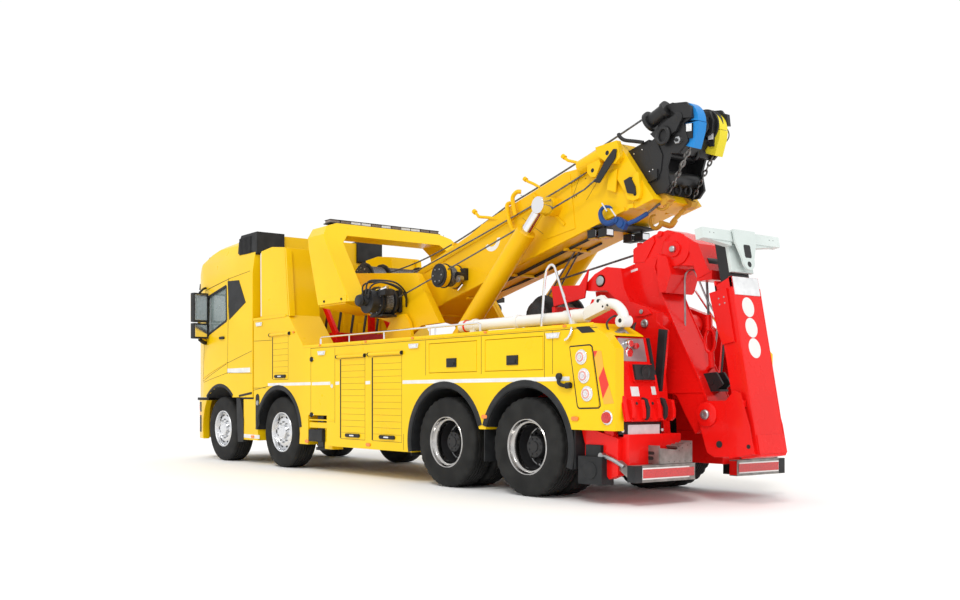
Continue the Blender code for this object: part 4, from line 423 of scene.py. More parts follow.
class Shape:
    """Gathers closed solids, each with its own material, then makes them one piece.

    Every solid is a grid of points: one row for each cross-section and one column for each
    place round it. Neighbouring rows are joined by quads, and the first and last are capped."""

    def __init__(self, first):
        self.points = []
        self.polygons = []
        self.slots = []
        self.total = 0
        self.materials = [first]
        self.index = 0

    def use(self, made):
        """The solids that follow take this material."""
        if made not in self.materials:
            self.materials.append(made)
        self.index = self.materials.index(made)
        return self

    def rings(self, rings, looped=False):
        """Skins a grid of cross-sections. Points that fall together, as at a pole, become one."""
        grid = np.asarray(rings, dtype=float)
        rows, count = grid.shape[:2]
        flat, place = np.unique(np.round(grid.reshape(-1, 3), 6), axis=0, return_inverse=True)
        place = place.reshape(-1)
        row = np.arange(rows if looped else rows - 1)[:, None]
        column = np.arange(count)[None, :]
        after = (row + 1) % rows
        beside = (column + 1) % count
        quads = np.stack([row * count + column, row * count + beside, after * count + beside,
            after * count + column], axis=-1)
        faces = (place[quads.reshape(-1, 4)] + self.total).tolist()
        if not looped:
            faces.append((place[:count][::-1] + self.total).tolist())
            faces.append((place[-count:] + self.total).tolist())
        faces = [tuple(dict.fromkeys(face)) for face in faces]
        faces = [face for face in faces if len(face) > 2]
        self.points.append(flat)
        self.polygons += faces
        self.slots += [self.index] * len(faces)
        self.total += len(flat)
        return self

    def box(self, low, high):
        """A block between two corners, given by station, y and z."""
        (x0, x1), (y0, y1), (z0, z1) = (sorted((a, b)) for a, b in zip(low, high))
        return self.front([(y0, z0), (y1, z0), (y1, z1), (y0, z1)], x0, x1)

    def side(self, outline, y0, y1):
        """An (x, z) outline swept across."""
        flat = np.asarray(outline, dtype=float)
        x, z = flat[:, 0] + SHIFT, flat[:, 1]
        return self.rings([np.column_stack([x, np.full(len(flat), y), z]) for y in (y0, y1)])

    def front(self, outline, x0, x1):
        """A (y, z) outline swept lengthways."""
        flat = np.asarray(outline, dtype=float)
        return self.rings([np.column_stack([np.full(len(flat), x + SHIFT), flat]) for x in (x0, x1)])

    def disc(self, centre, profile, steps=24, axis="Y", sign=1.0):
        """A turned shape: (radius, distance along the axis) points, carried once round the axis.
        A profile that starts and ends off the axis is an open ring, so it closes on itself."""
        turned = np.asarray(profile, dtype=float)
        turn = math.tau * np.arange(steps) / steps
        across = turned[:, :1] * np.cos(turn)
        upward = turned[:, :1] * np.sin(turn)
        along = np.repeat(turned[:, 1:] * sign, steps, axis=1)
        order = {"X": (along, across, upward), "Y": (across, along, upward), "Z": (across, upward, along)}[axis]
        grid = np.stack(order, axis=-1) + np.array([centre[0] + SHIFT, centre[1], centre[2]])
        return self.rings(grid, looped=bool(turned[0, 0] > 0 and turned[-1, 0] > 0))

    def tube(self, route, radius, steps=8, looped=False, end_radius=None):
        """A round bar along a route. The direction at each station is that of its neighbours, and
        the section's own axes are carried along with it, so that the bar never twists."""
        line = np.asarray(route, dtype=float) + np.array([SHIFT, 0.0, 0.0])
        if looped:
            aim = np.roll(line, -1, axis=0) - np.roll(line, 1, axis=0)
        else:
            aim = np.gradient(line, axis=0)
        aim /= np.linalg.norm(aim, axis=1)[:, None]
        normal = np.empty_like(aim)
        carried = np.array(Vector(aim[0]).orthogonal().normalized())
        for k, direction in enumerate(aim):
            carried = carried - direction * carried.dot(direction)
            carried /= np.linalg.norm(carried)
            normal[k] = carried
        other = np.cross(aim, normal)
        turn = math.tau * np.arange(steps) / steps
        size = np.linspace(radius, radius if end_radius is None else end_radius, len(line))[:, None, None]
        wave = np.cos(turn)[:, None], np.sin(turn)[:, None]
        grid = line[:, None] + size * (normal[:, None] * wave[0] + other[:, None] * wave[1])
        return self.rings(grid, looped=looped)

    def rod(self, start, end, radius, steps=12, end_radius=None):
        """A straight round bar, or a cone where its two radii differ."""
        return self.tube([start, end], radius, steps, end_radius=end_radius)

    def done(self, name, body=None, bevel=0.0, smooth=35.0, segments=1):
        """Makes the piece, turns every normal outwards, eases its edges and lets it ride a body."""
        mesh = bpy.data.meshes.new(name)
        mesh.from_pydata(np.concatenate(self.points), [], self.polygons)
        for made in self.materials:
            mesh.materials.append(made)
        mesh.polygons.foreach_set("material_index", self.slots)
        outward = bmesh.new()
        outward.from_mesh(mesh)
        bmesh.ops.recalc_face_normals(outward, faces=outward.faces)
        outward.to_mesh(mesh)
        outward.free()
        mesh.shade_smooth()
        mesh.set_sharp_from_angle(angle=math.radians(smooth))
        piece = bpy.data.objects.new(name, mesh)
        bpy.context.scene.collection.objects.link(piece)
        if bevel:
            ease_edges(piece, bevel, segments)
        if body:
            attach(piece, body)
        print("made", name, "with", len(mesh.polygons), "faces")
        return piece


print("a shape can be", [word for word in vars(Shape) if not word.startswith("_")])

# %% [markdown]
# No real edge is perfectly sharp. A narrow rounding catches a line of light, and without it painted
# steel looks like card. A bevel modifier does this after the shape is made, so a piece's numbers stay
# those of its plain form. A truck is also nearly the same on both sides, so most pieces are made
# once, for the left, and mirrored.

# %% Eased edges and the other side


def ease_edges(piece, width, segments=1, angle=40.0):
    """Rounds the edges sharper than an angle, so that they catch the light."""
    step = piece.modifiers.new("edges", "BEVEL")
    step.width = width
    step.segments = segments
    step.limit_method = "ANGLE"
    step.angle_limit = math.radians(angle)
    step.harden_normals = True


def mirrored(piece, name, body):
    """The same piece on the other side of the truck."""
    mesh = piece.data.copy()
    mesh.transform(Matrix.Scale(-1.0, 4, (0.0, 1.0, 0.0)))
    mesh.flip_normals()
    made = bpy.data.objects.new(name, mesh)
    bpy.context.scene.collection.objects.link(made)
    for step in piece.modifiers:
        ease_edges(made, step.width, step.segments)
    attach(made, body)
    return made


def both_sides(shape, stem, body, **finish):
    """The left-hand piece and its mirror image. Doors and lids have a body for each side."""
    left, right = (body + "_left", body + "_right") if body.startswith(("door", "lid")) else (body, body)
    return mirrored(shape.done(stem + "_left", left, **finish), stem + "_right", right)


print("helpers ready: ease_edges, mirrored, both_sides")

# %% [markdown]
# Hoses, straps and handles bend smoothly through a few places that can be read off the photograph.
# A Bezier curve object would need handles at each place. The spline below needs none: it passes
# through every point, and its direction there is that of the line between the two neighbours.

# %% Smooth routes


def curve(points, steps=6):
    """A smooth route through points, with steps between each pair. Between two points it is the cubic
    that starts and ends there, with half the way between the outer neighbours as its speed. A point
    beyond each end, as far out as its neighbour is in, gives the ends their direction."""
    line = np.asarray(points, dtype=float)
    line = np.concatenate([[2 * line[0] - line[1]], line, [2 * line[-1] - line[-2]]])
    before, start, end, after = (line[k:len(line) - 3 + k, None] for k in range(4))
    t = (np.arange(steps) / steps)[:, None]
    bend = (2 * before - 5 * start + 4 * end - after) * t**2 + (3 * start - before - 3 * end + after) * t**3
    route = 0.5 * (2 * start + (end - before) * t + bend)
    return np.concatenate([route.reshape(-1, line.shape[1]), line[-2:-1]])


print("a bend through three points has", len(curve([(0, 0, 0), (1, 0, 0), (1, 1, 0)])), "stations")

# %% [markdown]
# A truck tyre is a thick ring whose section everyone knows: upright walls, round shoulders and a
# nearly flat tread with grooves round it. The section is drawn once and carried round the axle.
# Driven tyres also have lugs across the shoulder. They are not separate blocks here: on every third
# step the shoulder simply lies lower, which costs no extra points.

# %% Tyres
AXLES = (7.32, 5.345, 1.37, 0.0)
WHEEL_Z = 0.53
TYRE_STEPS = 96
LUG_DEPTH = 0.012


def tyre(shape, centre, sign, middle, half, lugs):
    """One tyre: a closed section with grooves, carried round the axle. On a driven wheel, every
    third step of the shoulder lies a lug's depth lower, which leaves the lugs. The inner shoulder
    is turned half a step, so that the lugs of the two sides alternate."""
    rib = half * 0.7
    wall = np.array([(0.29, -0.8), (0.3, -0.93), (0.345, -0.985), (0.42, -1.0), (0.475, -0.985),
        (0.505, -0.945), (0.519, -0.9), (0.526, -0.83), (0.53, -0.74)])
    wall[:, 1] *= half
    edge = rib * np.arange(-2, 3)[:, None] / 2.6
    groove = np.stack([np.tile([0.53, 0.519, 0.519, 0.53], (5, 1)),
        edge + np.array([-0.007, -0.005, 0.005, 0.007])], axis=-1).reshape(-1, 2)
    profile = np.concatenate([wall, groove, wall[::-1] * (1.0, -1.0)])
    steps = np.arange(TYRE_STEPS)
    radius, along = profile[:, :1], profile[:, 1:]
    cut = (steps % 3 == 0) & (radius > 0.5) & (np.abs(along) > half * 0.55) & bool(lugs)
    turn = math.tau * (steps + 0.5 * (along > 0)) / TYRE_STEPS
    size = radius - LUG_DEPTH * cut
    grid = np.stack([size * np.cos(turn), np.repeat((middle + along) * sign, TYRE_STEPS, axis=1),
        size * np.sin(turn)], axis=-1)
    shape.rings(grid + np.array([centre[0] + SHIFT, centre[1], centre[2]]), looped=True)


print("tyre steps:", TYRE_STEPS, "lug depth:", LUG_DEPTH)

# %% [markdown]
# Each rim is turned metal, so a list of (radius, distance along the axle) points describes it whole.
# The steered wheels bulge outwards to a polished hub. The driven ones are dished, because each axle
# end carries two tyres side by side and the hub lies deep between them. Nuts and hand holes stand in
# even circles, and those circles are what makes a rim look real from a step away.

# %% Rims and nuts


def circle_of(count, offset=0.0):
    """Cosine and sine of count even turns, the first one offset shares of a turn further on."""
    turn = math.tau * (np.arange(count) + offset) / count
    return np.column_stack([np.cos(turn), np.sin(turn)])


def nuts(shape, centre, sign, along, circle, size, height, count=10):
    """Six-sided nuts in an even circle."""
    for c, s in circle_of(count, 0.5):
        x, z = centre[0] + circle * c, centre[2] + circle * s
        y = centre[1] + along * sign
        shape.rod((x, y, z), (x, y + height * sign, z), size, 6, size * 0.8)


def steered_wheel(name, body, node_name, station, sign):
    """A single tyre on a bulging rim. half is half the tyre's width, in which the rim is laid out."""
    centre = (station, 1.03 * sign, WHEEL_Z)
    half = 0.165
    made = Shape(RUBBER)
    tyre(made, centre, sign, 0.0, half, False)
    made.use(ALLOY)
    made.disc(centre, [
        (0.0, half * 0.3), (0.12, half * 0.3), (0.24, half * 0.1), (0.246, -half * 0.6), (0.292, -half * 0.92),
        (0.303, -half * 0.94),
        (0.304, half * 0.93), (0.296, half * 0.985), (0.286, half * 0.97), (0.276, half * 0.86),
        (0.268, half * 0.58),
        (0.258, half * 0.5), (0.246, half * 0.52), (0.226, half * 0.66), (0.198, half * 0.74),
        (0.15, half * 0.76),
        (0.128, half * 0.74), (0.0, half * 0.7),
    ], 48, sign=sign)
    made.disc(centre, [(0.0, half * 0.6), (0.112, half * 0.6), (0.11, half * 0.9), (0.1, half * 0.955),
        (0.07, half * 0.965), (0.066, half * 0.985), (0.0, half * 0.985)], 28, sign=sign)
    made.use(STEEL)
    nuts(made, centre, sign, half * 0.74, 0.152, 0.0165, 0.024)
    # Hand holes in the rim: dark discs of painted shade.
    made.use(OPENING_SHADOW)
    for c, s in circle_of(10):
        x, z = centre[0] + 0.222 * c, centre[2] + 0.222 * s
        y = centre[1] + half * 0.6 * sign
        made.rod((x, y, z), (x, y + 0.0145 * sign, z), 0.0215, 14)
    piece = made.done(name, body)
    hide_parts(node_name)


def driven_wheel(name, body, node_name, station, sign):
    """Twin tyres on a dished rim. out is half the width over both tyres."""
    centre = (station, 0.905 * sign, WHEEL_Z)
    out = 0.3225
    made = Shape(RUBBER)
    for way in (1.0, -1.0):
        tyre(made, centre, sign, way * (0.0225 + 0.15), 0.15, True)
    made.use(RIM)
    made.disc(centre, [
        (0.262, out * 0.5), (0.304, out * 0.55), (0.305, out - 0.012), (0.297, out - 0.004),
        (0.289, out - 0.006), (0.281, out - 0.02),
        (0.276, out - 0.048), (0.268, out - 0.056), (0.258, out - 0.058), (0.252, out - 0.066),
        (0.248, out - 0.095), (0.244, out * 0.5),
    ], 64, sign=sign)
    made.use(BLACK)
    made.disc(centre, [
        (0.0, -out * 0.16), (0.15, -out * 0.16), (0.25, -out * 0.22), (0.27, -out * 0.9), (0.304, -out + 0.012),
        (0.306, -out * 0.3), (0.304, out * 0.52),
        (0.252, out * 0.58), (0.244, out * 0.6), (0.236, out * 0.42), (0.22, out * 0.28), (0.2, out * 0.24),
        (0.185, out * 0.25), (0.14, out * 0.25),
        (0.134, out * 0.26), (0.126, out * 0.56), (0.114, out * 0.62), (0.06, out * 0.63), (0.056, out * 0.66),
        (0.0, out * 0.66),
    ], 48, sign=sign)
    made.use(CAST)
    nuts(made, centre, sign, out * 0.25, 0.162, 0.017, 0.036)
    nuts(made, centre, sign, out * 0.61, 0.088, 0.014, 0.012, 8)
    made.use(STEEL)
    made.disc(centre, [(0.204, out * 0.246), (0.212, out * 0.25), (0.212, out * 0.275), (0.204, out * 0.27)],
        48, sign=sign)
    nuts(made, centre, sign, out * 0.25, 0.19, 0.01, 0.05, 2)
    # Hand holes in the rim: dark discs of painted shade.
    made.use(OPENING_SHADOW)
    for c, s in circle_of(10):
        x, z = centre[0] + 0.214 * c, centre[2] + 0.214 * s
        y = centre[1] + out * 0.2 * sign
        made.rod((x, y, z), (x, y + 0.024 * sign, z), 0.02, 12)
    piece = made.done(name, body)
    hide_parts(node_name)


for axle_number, axle_station in enumerate(AXLES, 1):
    for side_name, side_sign in (("left", 1.0), ("right", -1.0)):
        wheel_name = f"wheel_{axle_number}_{side_name}"
        make = steered_wheel if axle_number < 3 else driven_wheel
        make(f"tyre_and_rim_{axle_number}_{side_name}", wheel_name, wheel_name, axle_station, side_sign)
print("wheels:", 2 * len(AXLES))

# %% [markdown]
# The model's own solids already have the right form, so they only need paint. One table says which
# names take which material, and everything it leaves out is black, as a chassis is.

# %% Paint on the model's own solids
COATS = (
    (YELLOW, ("cab_shell", "door_left", "door_right", "front_apron", "body_", "lid_", "hoop")),
    (YELLOW_SATIN, ("boom_outer", "boom_pedestal", "lift_barrel_")),
    (RED, ("subframe", "lift_arm", "mast")),
    (GLASS, ("door_glass_", "windscreen")),
    (CHROME, ("lift_rod_", "arm_rod")),
    (WHITE, ("tow_bar",)),
    (GREYBAR, ("crossbar",)),
    (CLOTH, ("cab_interior", "dashboard")),
    (CAST, ("winch_", "drag_winch", "engine_block", "boom_inner")),
    (TRIM, ("roof_deflector_", "grille")),
)
for node_name in NODES:
    paint(node_name, next((coat for coat, starts in COATS if node_name.startswith(starts)), BLACK))
print("solids painted:", len(NODES))

# %% [markdown]
# A packed solid is made of triangles with hard edges. Its triangles can be joined back into the flat
# faces that they came from, and a small bevel on the edges that are left makes it look pressed and
# welded. The result stands in for the solid itself, in exactly its place.

# %% The same solids with eased edges


def eased(node_name, body, width):
    """A steel part's own solid, its triangles joined into flat faces, with small rounded edges."""
    source = NODES[node_name].data
    corners = np.empty(len(source.vertices) * 3)
    source.vertices.foreach_get("co", corners)
    points, place = np.unique(np.round(corners.reshape(-1, 3), 5), axis=0, return_inverse=True)
    used = np.empty(len(source.loops), dtype=int)
    source.loops.foreach_get("vertex_index", used)
    triangles = place.reshape(-1)[used].reshape(-1, 3)
    apart = (triangles[:, 0] != triangles[:, 1]) & (triangles[:, 1] != triangles[:, 2]) & (triangles[:,
        2] != triangles[:, 0])
    mesh = bpy.data.meshes.new(f"{node_name}_eased")
    mesh.from_pydata(points, [], triangles[apart].tolist())
    joined = bmesh.new()
    joined.from_mesh(mesh)
    bmesh.ops.dissolve_limit(joined, angle_limit=math.radians(0.4), verts=joined.verts, edges=joined.edges)
    joined.to_mesh(mesh)
    joined.free()
    for made in source.materials:
        mesh.materials.append(made)
    mesh.shade_smooth()
    mesh.set_sharp_from_angle(angle=math.radians(28.0))
    piece = bpy.data.objects.new(f"{node_name}_eased", mesh)
    bpy.context.scene.collection.objects.link(piece)
    ease_edges(piece, width, 2, 28.0)
    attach(piece, body)
    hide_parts(node_name)
    return len(mesh.polygons)


KEPT = ("wheel_", "door_glass", "windscreen", "cab_interior", "dashboard", "boom_inner", "lift_arm")
HEAVY_BODIES = ("chassis", "cab", "boom", "lift_arm", "mast")
HEAVY_EDGE, LIGHT_EDGE = 0.008, 0.005
eased_faces = 0
for body_name, members in frame["record"]["behaviour"]["bodies"].items():
    for node_name in members:
        if not node_name.startswith(KEPT):
            eased_faces += eased(node_name, body_name, HEAVY_EDGE if body_name in HEAVY_BODIES else LIGHT_EDGE)
print("solids with eased edges:", eased_faces, "faces")

# %% [markdown]
# The cab's side is not flat: it leans in towards the roof and curves in towards the face. Seams and
# stripes have to lie on that skin. They could be projected on to the mesh, but the skin's own tables
# of shares are known, so a point's y is worked out directly and a strip simply follows it.

# %% Skins: where a point of the cab's side lies
CAB_FRONT, CAB_LENGTH, CAB_FLOOR, CAB_HEIGHT, HALF = 8.66, 2.5, 1.05, 2.57, 1.25
PLAN = ((0.0, 0.42), (0.018, 0.64), (0.07, 0.815), (0.15, 0.915), (0.27, 0.98), (0.4, 1.0), (1.0, 1.0))
SECTION = ((0.0, 1.0), (0.76, 1.0), (0.88, 0.965), (0.965, 0.9), (1.0, 0.8))
FACE = ((0.0, 0.0), (0.35, 0.008), (0.766, 0.096), (0.868, 0.184), (0.942, 0.344), (0.98, 0.504), (1.0, 0.704))


def look_up(table, value):
    """Reads a table of (place, share) pairs, straight between its rows."""
    return np.interp(value, [a for a, _ in table], [b for _, b in table])


def cab_side_y(x, z):
    """The half width is the smaller of what the plan allows at a station and the section at a height."""
    return HALF * np.minimum(look_up(PLAN, (CAB_FRONT - x) / CAB_LENGTH),
        look_up(SECTION, (z - CAB_FLOOR) / CAB_HEIGHT))


def set_back(y):
    """Share of the cab's length by which its plan lies back at a distance from the middle."""
    share = np.abs(y) / HALF
    return np.where(share > 0.42, np.interp(share, [b for _, b in PLAN[:6]], [a for a, _ in PLAN[:6]]), 0.0)


def cab_face_x(y, z):
    """Station of the cab's face: the plan or the face's own slope, whichever lies further back."""
    return CAB_FRONT - CAB_LENGTH * np.maximum(set_back(y), look_up(FACE, (z - CAB_FLOOR) / CAB_HEIGHT))


def flat_side_y(x, z):
    """The locker bodies' flat side."""
    return np.full(np.shape(x), HALF)


def ribbon(shape, route, width, skin=flat_side_y, lift=0.0015, sink=0.004, step=0.05):
    """A strip that follows a side skin along a route of (x, z) points: at each station the two
    edges lie half a width to either side of the route, and the skin gives each edge its y."""
    line = np.asarray(route, dtype=float)
    leg = np.hypot(*np.diff(line, axis=0).T)
    run = np.concatenate([[0.0], np.cumsum(leg)])
    parts = [np.linspace(a, b, max(1, int((b - a) / step)), endpoint=False) for a, b in zip(run, run[1:])]
    at = np.append(np.concatenate(parts), run[-1])
    points = np.column_stack([np.interp(at, run, line[:, 0]), np.interp(at, run, line[:, 1])])
    aim = np.gradient(points, axis=0)
    aim /= np.hypot(aim[:, 0], aim[:, 1])[:, None]
    offset = np.column_stack([-aim[:, 1], aim[:, 0]]) * width / 2
    low, high = points - offset, points + offset
    corners = ((low, lift), (high, lift), (high, -sink), (low, -sink))
    rows = [(edge[:, 0] + SHIFT, skin(*edge.T) + out, edge[:, 1]) for edge, out in corners]
    shape.rings(np.stack([np.column_stack(row) for row in rows], axis=1))


def framed(shape, x0, z0, x1, z1):
    """A rectangular seam on a locker body's side."""
    for a, b in (((x0, z0), (x1, z0)), ((x1, z0), (x1, z1)), ((x1, z1), (x0, z1)), ((x0, z1), (x0, z0))):
        ribbon(shape, [a, b], 0.006, flat_side_y, 0.001)


def arc(cx, cz, radius, start, end, count):
    """Points on a circle between two angles in degrees."""
    turn = np.radians(np.linspace(start, end, count))
    return np.column_stack([cx + radius * np.cos(turn), cz + radius * np.sin(turn)])


def pill(cx, cz, half_length, half_height, count=6):
    """A rounded bar outline in (x, z)."""
    r = half_height
    ends = (arc(cx + half_length - r, cz, r, -90, 90, count), arc(cx - half_length + r, cz, r, 90, 270, count))
    return np.concatenate(ends)


print("half width of the cab at its waist:", float(cab_side_y(7.0, 2.0)), "and near the roof:",
    float(cab_side_y(7.0, 3.5)))

# %% [markdown]
# The cab is one pressed shell, and what tells its size are the gaps between panels: round the door,
# above the step and along the roof. Gaps could be cut into the shell. A narrow strip of painted shade
# laid on the skin reads the same from a step away, and leaves the shell as it is.

# %% Cab seams, quarter panel and stripe
seams = Shape(SEAM_SHADOW)
ribbon(seams, [(7.87, 2.87), (6.98, 2.985), (6.25, 3.04)], 0.008, cab_side_y)
ribbon(seams, [(7.04, 1.61), (6.18, 1.78)], 0.007, cab_side_y)
ribbon(seams, [(8.0, 1.3), (7.04, 1.45), (6.18, 1.43)], 0.007, cab_side_y)
ribbon(seams, [(6.99, 3.0), (7.03, 1.6), (7.04, 1.44)], 0.007, cab_side_y)
ribbon(seams, [(7.9, 2.9), (7.94, 2.05), (8.04, 1.33)], 0.007, cab_side_y)
ribbon(seams, [(8.03, 1.32), (7.06, 1.6)], 0.007, cab_side_y)
both_sides(seams, "cab_seams", "cab")

quarter = Shape(TRIM)
quarter.side([(7.02, 2.95), (6.62, 2.93), (6.385, 2.556), (6.965, 2.313)], 1.246, 1.256)
ribbon(quarter, [(6.62, 1.072), (6.18, 1.12)], 0.035, cab_side_y, 0.006, 0.01)
both_sides(quarter, "cab_quarter", "cab", bevel=0.003)

stripe = Shape(STRIPE)
ribbon(stripe, [(7.03, 1.482), (6.24, 1.482)], 0.075, cab_side_y)
both_sides(stripe, "cab_stripe", "cab")

# %% [markdown]
# Rubber holds the door's glass and a long grab handle sits below it. The tall mirror hangs from two
# bent arms in front of the door. These pieces ride the door, so they swing out when it opens.

# %% Door trim and mirrors
window_trim = Shape(TRIM)
window = [(7.8675, 2.078), (7.845, 2.733), (7.075, 2.88), (7.06, 2.309)]
for a, b in zip(window, window[1:] + window[:1]):
    ribbon(window_trim, [a, b], 0.04, cab_side_y, 0.003, 0.012)
window_trim.side(pill(7.22, 2.03, 0.085, 0.022), 1.245, 1.275)
both_sides(window_trim, "door_trim", "door", bevel=0.002)

heads = Shape(TRIM)
mirror_x = 7.8
head_plan = np.array([(-0.9, -0.95), (0.35, -1.0), (0.95, -0.55), (0.95, 0.55), (0.35, 1.0), (-0.9, 0.95)])
head_plan = head_plan * (0.085, 0.14) + (mirror_x + SHIFT, 1.4)
for low, high in ((2.322, 2.808), (2.042, 2.298)):
    heads.rings([np.column_stack([head_plan, np.full(len(head_plan), z)]) for z in (low, high)])
heads.use(CHROME)
for low, high in ((2.35, 2.78), (2.07, 2.27)):
    heads.box((mirror_x - 0.0785, 1.292, low), (mirror_x - 0.0745, 1.508, high))
heads.use(TRIM)
heads.tube(curve([(7.89, 1.17, 1.99), (7.86, 1.27, 1.975), (7.8, 1.39, 2.03)], 5), 0.033, 8)
heads.tube(curve([(7.9, 1.17, 2.92), (7.86, 1.28, 2.9), (7.8, 1.39, 2.82)], 5), 0.02, 8)
both_sides(heads, "mirror_heads", "door", bevel=0.012, segments=2)

# %% [markdown]
# The photograph doesn't show the cab's face, so it is kept to what any such cab has: a slatted
# grille, a sun visor, wipers and roof lamps. The face curves both ways. A panel on it is a grid whose
# columns run across and whose corners read their depth from the skin's table.

# %% Cab face
face = Shape(TRIM)


def face_strip(shape, y0, y1, z0, z1, proud, sink=0.03, count=14):
    """A panel between two sides and two heights: at each y, four corners, two of them proud of the
    face's own station at their height and two sunk behind it."""
    y = np.linspace(y0, y1, count)
    low, high = cab_face_x(y, z0) + SHIFT, cab_face_x(y, z1) + SHIFT
    corners = ((low + proud, z0), (high + proud, z1), (high - sink, z1), (low - sink, z0))
    shape.rings(np.stack([np.column_stack([x, y, np.full(count, z)]) for x, z in corners], axis=1))


face_strip(face, -1.02, 1.02, 1.13, 1.9, 0.004)
for k in range(7):
    z = 1.2 + 0.095 * k
    face_strip(face, -0.86, 0.86, z, z + 0.045, 0.022)
face_strip(face, -1.06, 1.06, 2.945, 3.05, 0.11, -0.03)
# Behind the grille slats, a dark sheet of painted shade.
face.use(OPENING_SHADOW)
face_strip(face, -0.88, 0.88, 1.18, 1.86, 0.008)
face.use(YELLOW)
face_strip(face, -0.6, 0.6, 1.925, 1.965, 0.006)
face.use(CHROME)
face_strip(face, -0.9, 0.9, 1.872, 1.888, 0.014)
face.use(TRIM)
for side_sign in (-1.0, 1.0):
    for foot, tip in ((0.55, 0.05), (-0.1, -0.6)):
        face.tube([(8.635, foot * side_sign, 2.0), (8.58, (foot + tip) / 2 * side_sign, 2.22),
            (8.53, tip * side_sign, 2.44)], 0.012, 6)
face.done("cab_face_trim", "cab", bevel=0.003)

# %% [markdown]
# Small orange lamps mark a wide vehicle's roof at night, with two work lamps and two horns beside
# them. Behind the cab stand black air deflectors with slats, and ribs stiffen the flat rear wall.

# %% Roof lamps, deflectors and rear wall
roof = Shape(ORANGE)
for y in (-0.92, -0.3, 0.0, 0.3, 0.92):
    roof.box((8.02, y - 0.05, 3.435), (8.12, y + 0.05, 3.485))
roof.use(LENS)
for y in (-0.62, 0.62):
    roof.box((7.96, y - 0.16, 3.47), (8.06, y + 0.16, 3.56))
roof.use(TRIM)
for y in (1.02, -1.02):
    roof.disc((8.03, y, 3.41), [(0.0, 0.0), (0.07, 0.0), (0.075, 0.05), (0.05, 0.09), (0.0, 0.1)], 18, axis="X")
for x in (6.45, 6.85, 7.25):
    roof.box((x, -0.66, 3.618), (x + 0.03, 0.66, 3.632))
roof.done("roof_lamps", "cab", bevel=0.008, segments=2)

slats = Shape(BLACK_MESH_AND_SHADE)
slats.box((6.3, 1.197, 3.34), (6.7, 1.206, 3.6))
slats.use(TRIM)
for k in range(9):
    x = 6.31 + 0.044 * k
    slats.box((x, 1.2, 3.34), (x + 0.012, 1.212, 3.6))
both_sides(slats, "deflector_slats", "cab")

wall = Shape(YELLOW)
for k in range(9):
    y = -0.96 + 0.24 * k
    wall.box((6.148, y - 0.035, 1.3), (6.163, y + 0.035, 3.16))
wall.use(TRIM)
wall.tube(curve([(6.13, -0.95, 1.1), (6.08, -0.95, 1.7), (6.12, -0.95, 2.6), (6.1, -0.9, 3.2)], 5), 0.035, 8)
wall.box((6.05, -1.08, 1.55), (6.16, -0.8, 2.0))
wall.done("cab_rear_wall", "cab", bevel=0.006)

# %% [markdown]
# Below the cab's floor the apron stays with the chassis when the cab tilts, and it carries the
# headlamps, the intake and the steps. It follows the same plan as the cab, a little further forward.

# %% Apron lamps and steps
APRON_FRONT = 8.7
apron = Shape(TRIM)


def apron_strip(shape, y0, y1, z0, z1, proud, sink=0.03, count=12):
    """An upright panel round the apron: at each y, four corners, two proud of the plan and two sunk."""
    y = np.linspace(y0, y1, count)
    x = APRON_FRONT + SHIFT - CAB_LENGTH * set_back(y)
    corners = ((x + proud, z0), (x + proud, z1), (x - sink, z1), (x - sink, z0))
    shape.rings(np.stack([np.column_stack([x, y, np.full(count, z)]) for x, z in corners], axis=1))


apron_strip(apron, -0.7, 0.7, 0.46, 0.6, 0.006)
apron_strip(apron, -0.62, 0.62, 0.7, 0.93, 0.006)
apron.use(LENS)
for side_sign in (-1.0, 1.0):
    apron_strip(apron, 0.76 * side_sign, 1.12 * side_sign, 0.72, 0.92, 0.008)
    apron_strip(apron, 0.8 * side_sign, 0.98 * side_sign, 0.48, 0.57, 0.008)
apron.use(ORANGE)
for side_sign in (-1.0, 1.0):
    apron_strip(apron, 1.125 * side_sign, 1.165 * side_sign, 0.72, 0.92, 0.008)
apron.use(TRIM)
apron.box((8.6, -0.9, 1.0), (8.44, 0.9, 1.046))
apron.box((8.44, -1.13, 1.0), (7.99, 1.13, 1.046))
apron.use(PLATE)
apron.box((8.699, -0.26, 0.605), (8.712, 0.26, 0.695))
apron.done("apron_lamps", "chassis", bevel=0.004)

# %% [markdown]
# Two dark wells in the apron's side are the steps up to the cab.

# %% Steps
steps = Shape(TRIM)


def apron_side_y(x, z):
    """The apron's half width at a station."""
    return HALF * look_up(PLAN, (APRON_FRONT - x) / CAB_LENGTH)


for low, high in ((0.45, 0.74), (0.8, 0.97)):
    ribbon(steps, [(8.14, (low + high) / 2), (8.34, (low + high) / 2)], high - low, apron_side_y, 0.003, 0.01)
both_sides(steps, "step_wells", "chassis", bevel=0.003)

# %% [markdown]
# Each wheel turns inside a round opening with a rubber edge and a dark liner behind it. Both are
# bent strips: a small section in (radius, y), carried round the axle between two angles.

# %% Wheel arches


def bent_strip(shape, station, section, start, end, count=30):
    """Carries a section of (radius, y) points round an axle, from one angle to another."""
    flat = np.asarray(section, dtype=float)
    turn = np.radians(np.linspace(start, end, count))[:, None]
    x = station + SHIFT + flat[:, 0] * np.cos(turn)
    z = WHEEL_Z + flat[:, 0] * np.sin(turn)
    shape.rings(np.stack([x, np.broadcast_to(flat[:, 1], x.shape), z], axis=-1))


def lip(name, body, station, opening, width, start, end):
    """A rubber edge round a wheel arch, and the dark liner inside it."""
    y_in, y_out = 1.19, 1.263
    made = Shape(TRIM)
    rim, rear = opening + width, y_out - 0.03
    bent_strip(made, station, [
        (opening - 0.004, y_in), (opening - 0.004, y_out - 0.012), (opening + 0.01, y_out),
        (rim - 0.014, y_out - 0.002), (rim, 1.248), (rim, y_in),
    ], start, end)
    bent_strip(made, station, [
        (opening - 0.012, 0.72), (opening - 0.012, rear), (opening - 0.003, rear), (opening - 0.003, 0.72),
    ], start, end)
    both_sides(made, name, body)


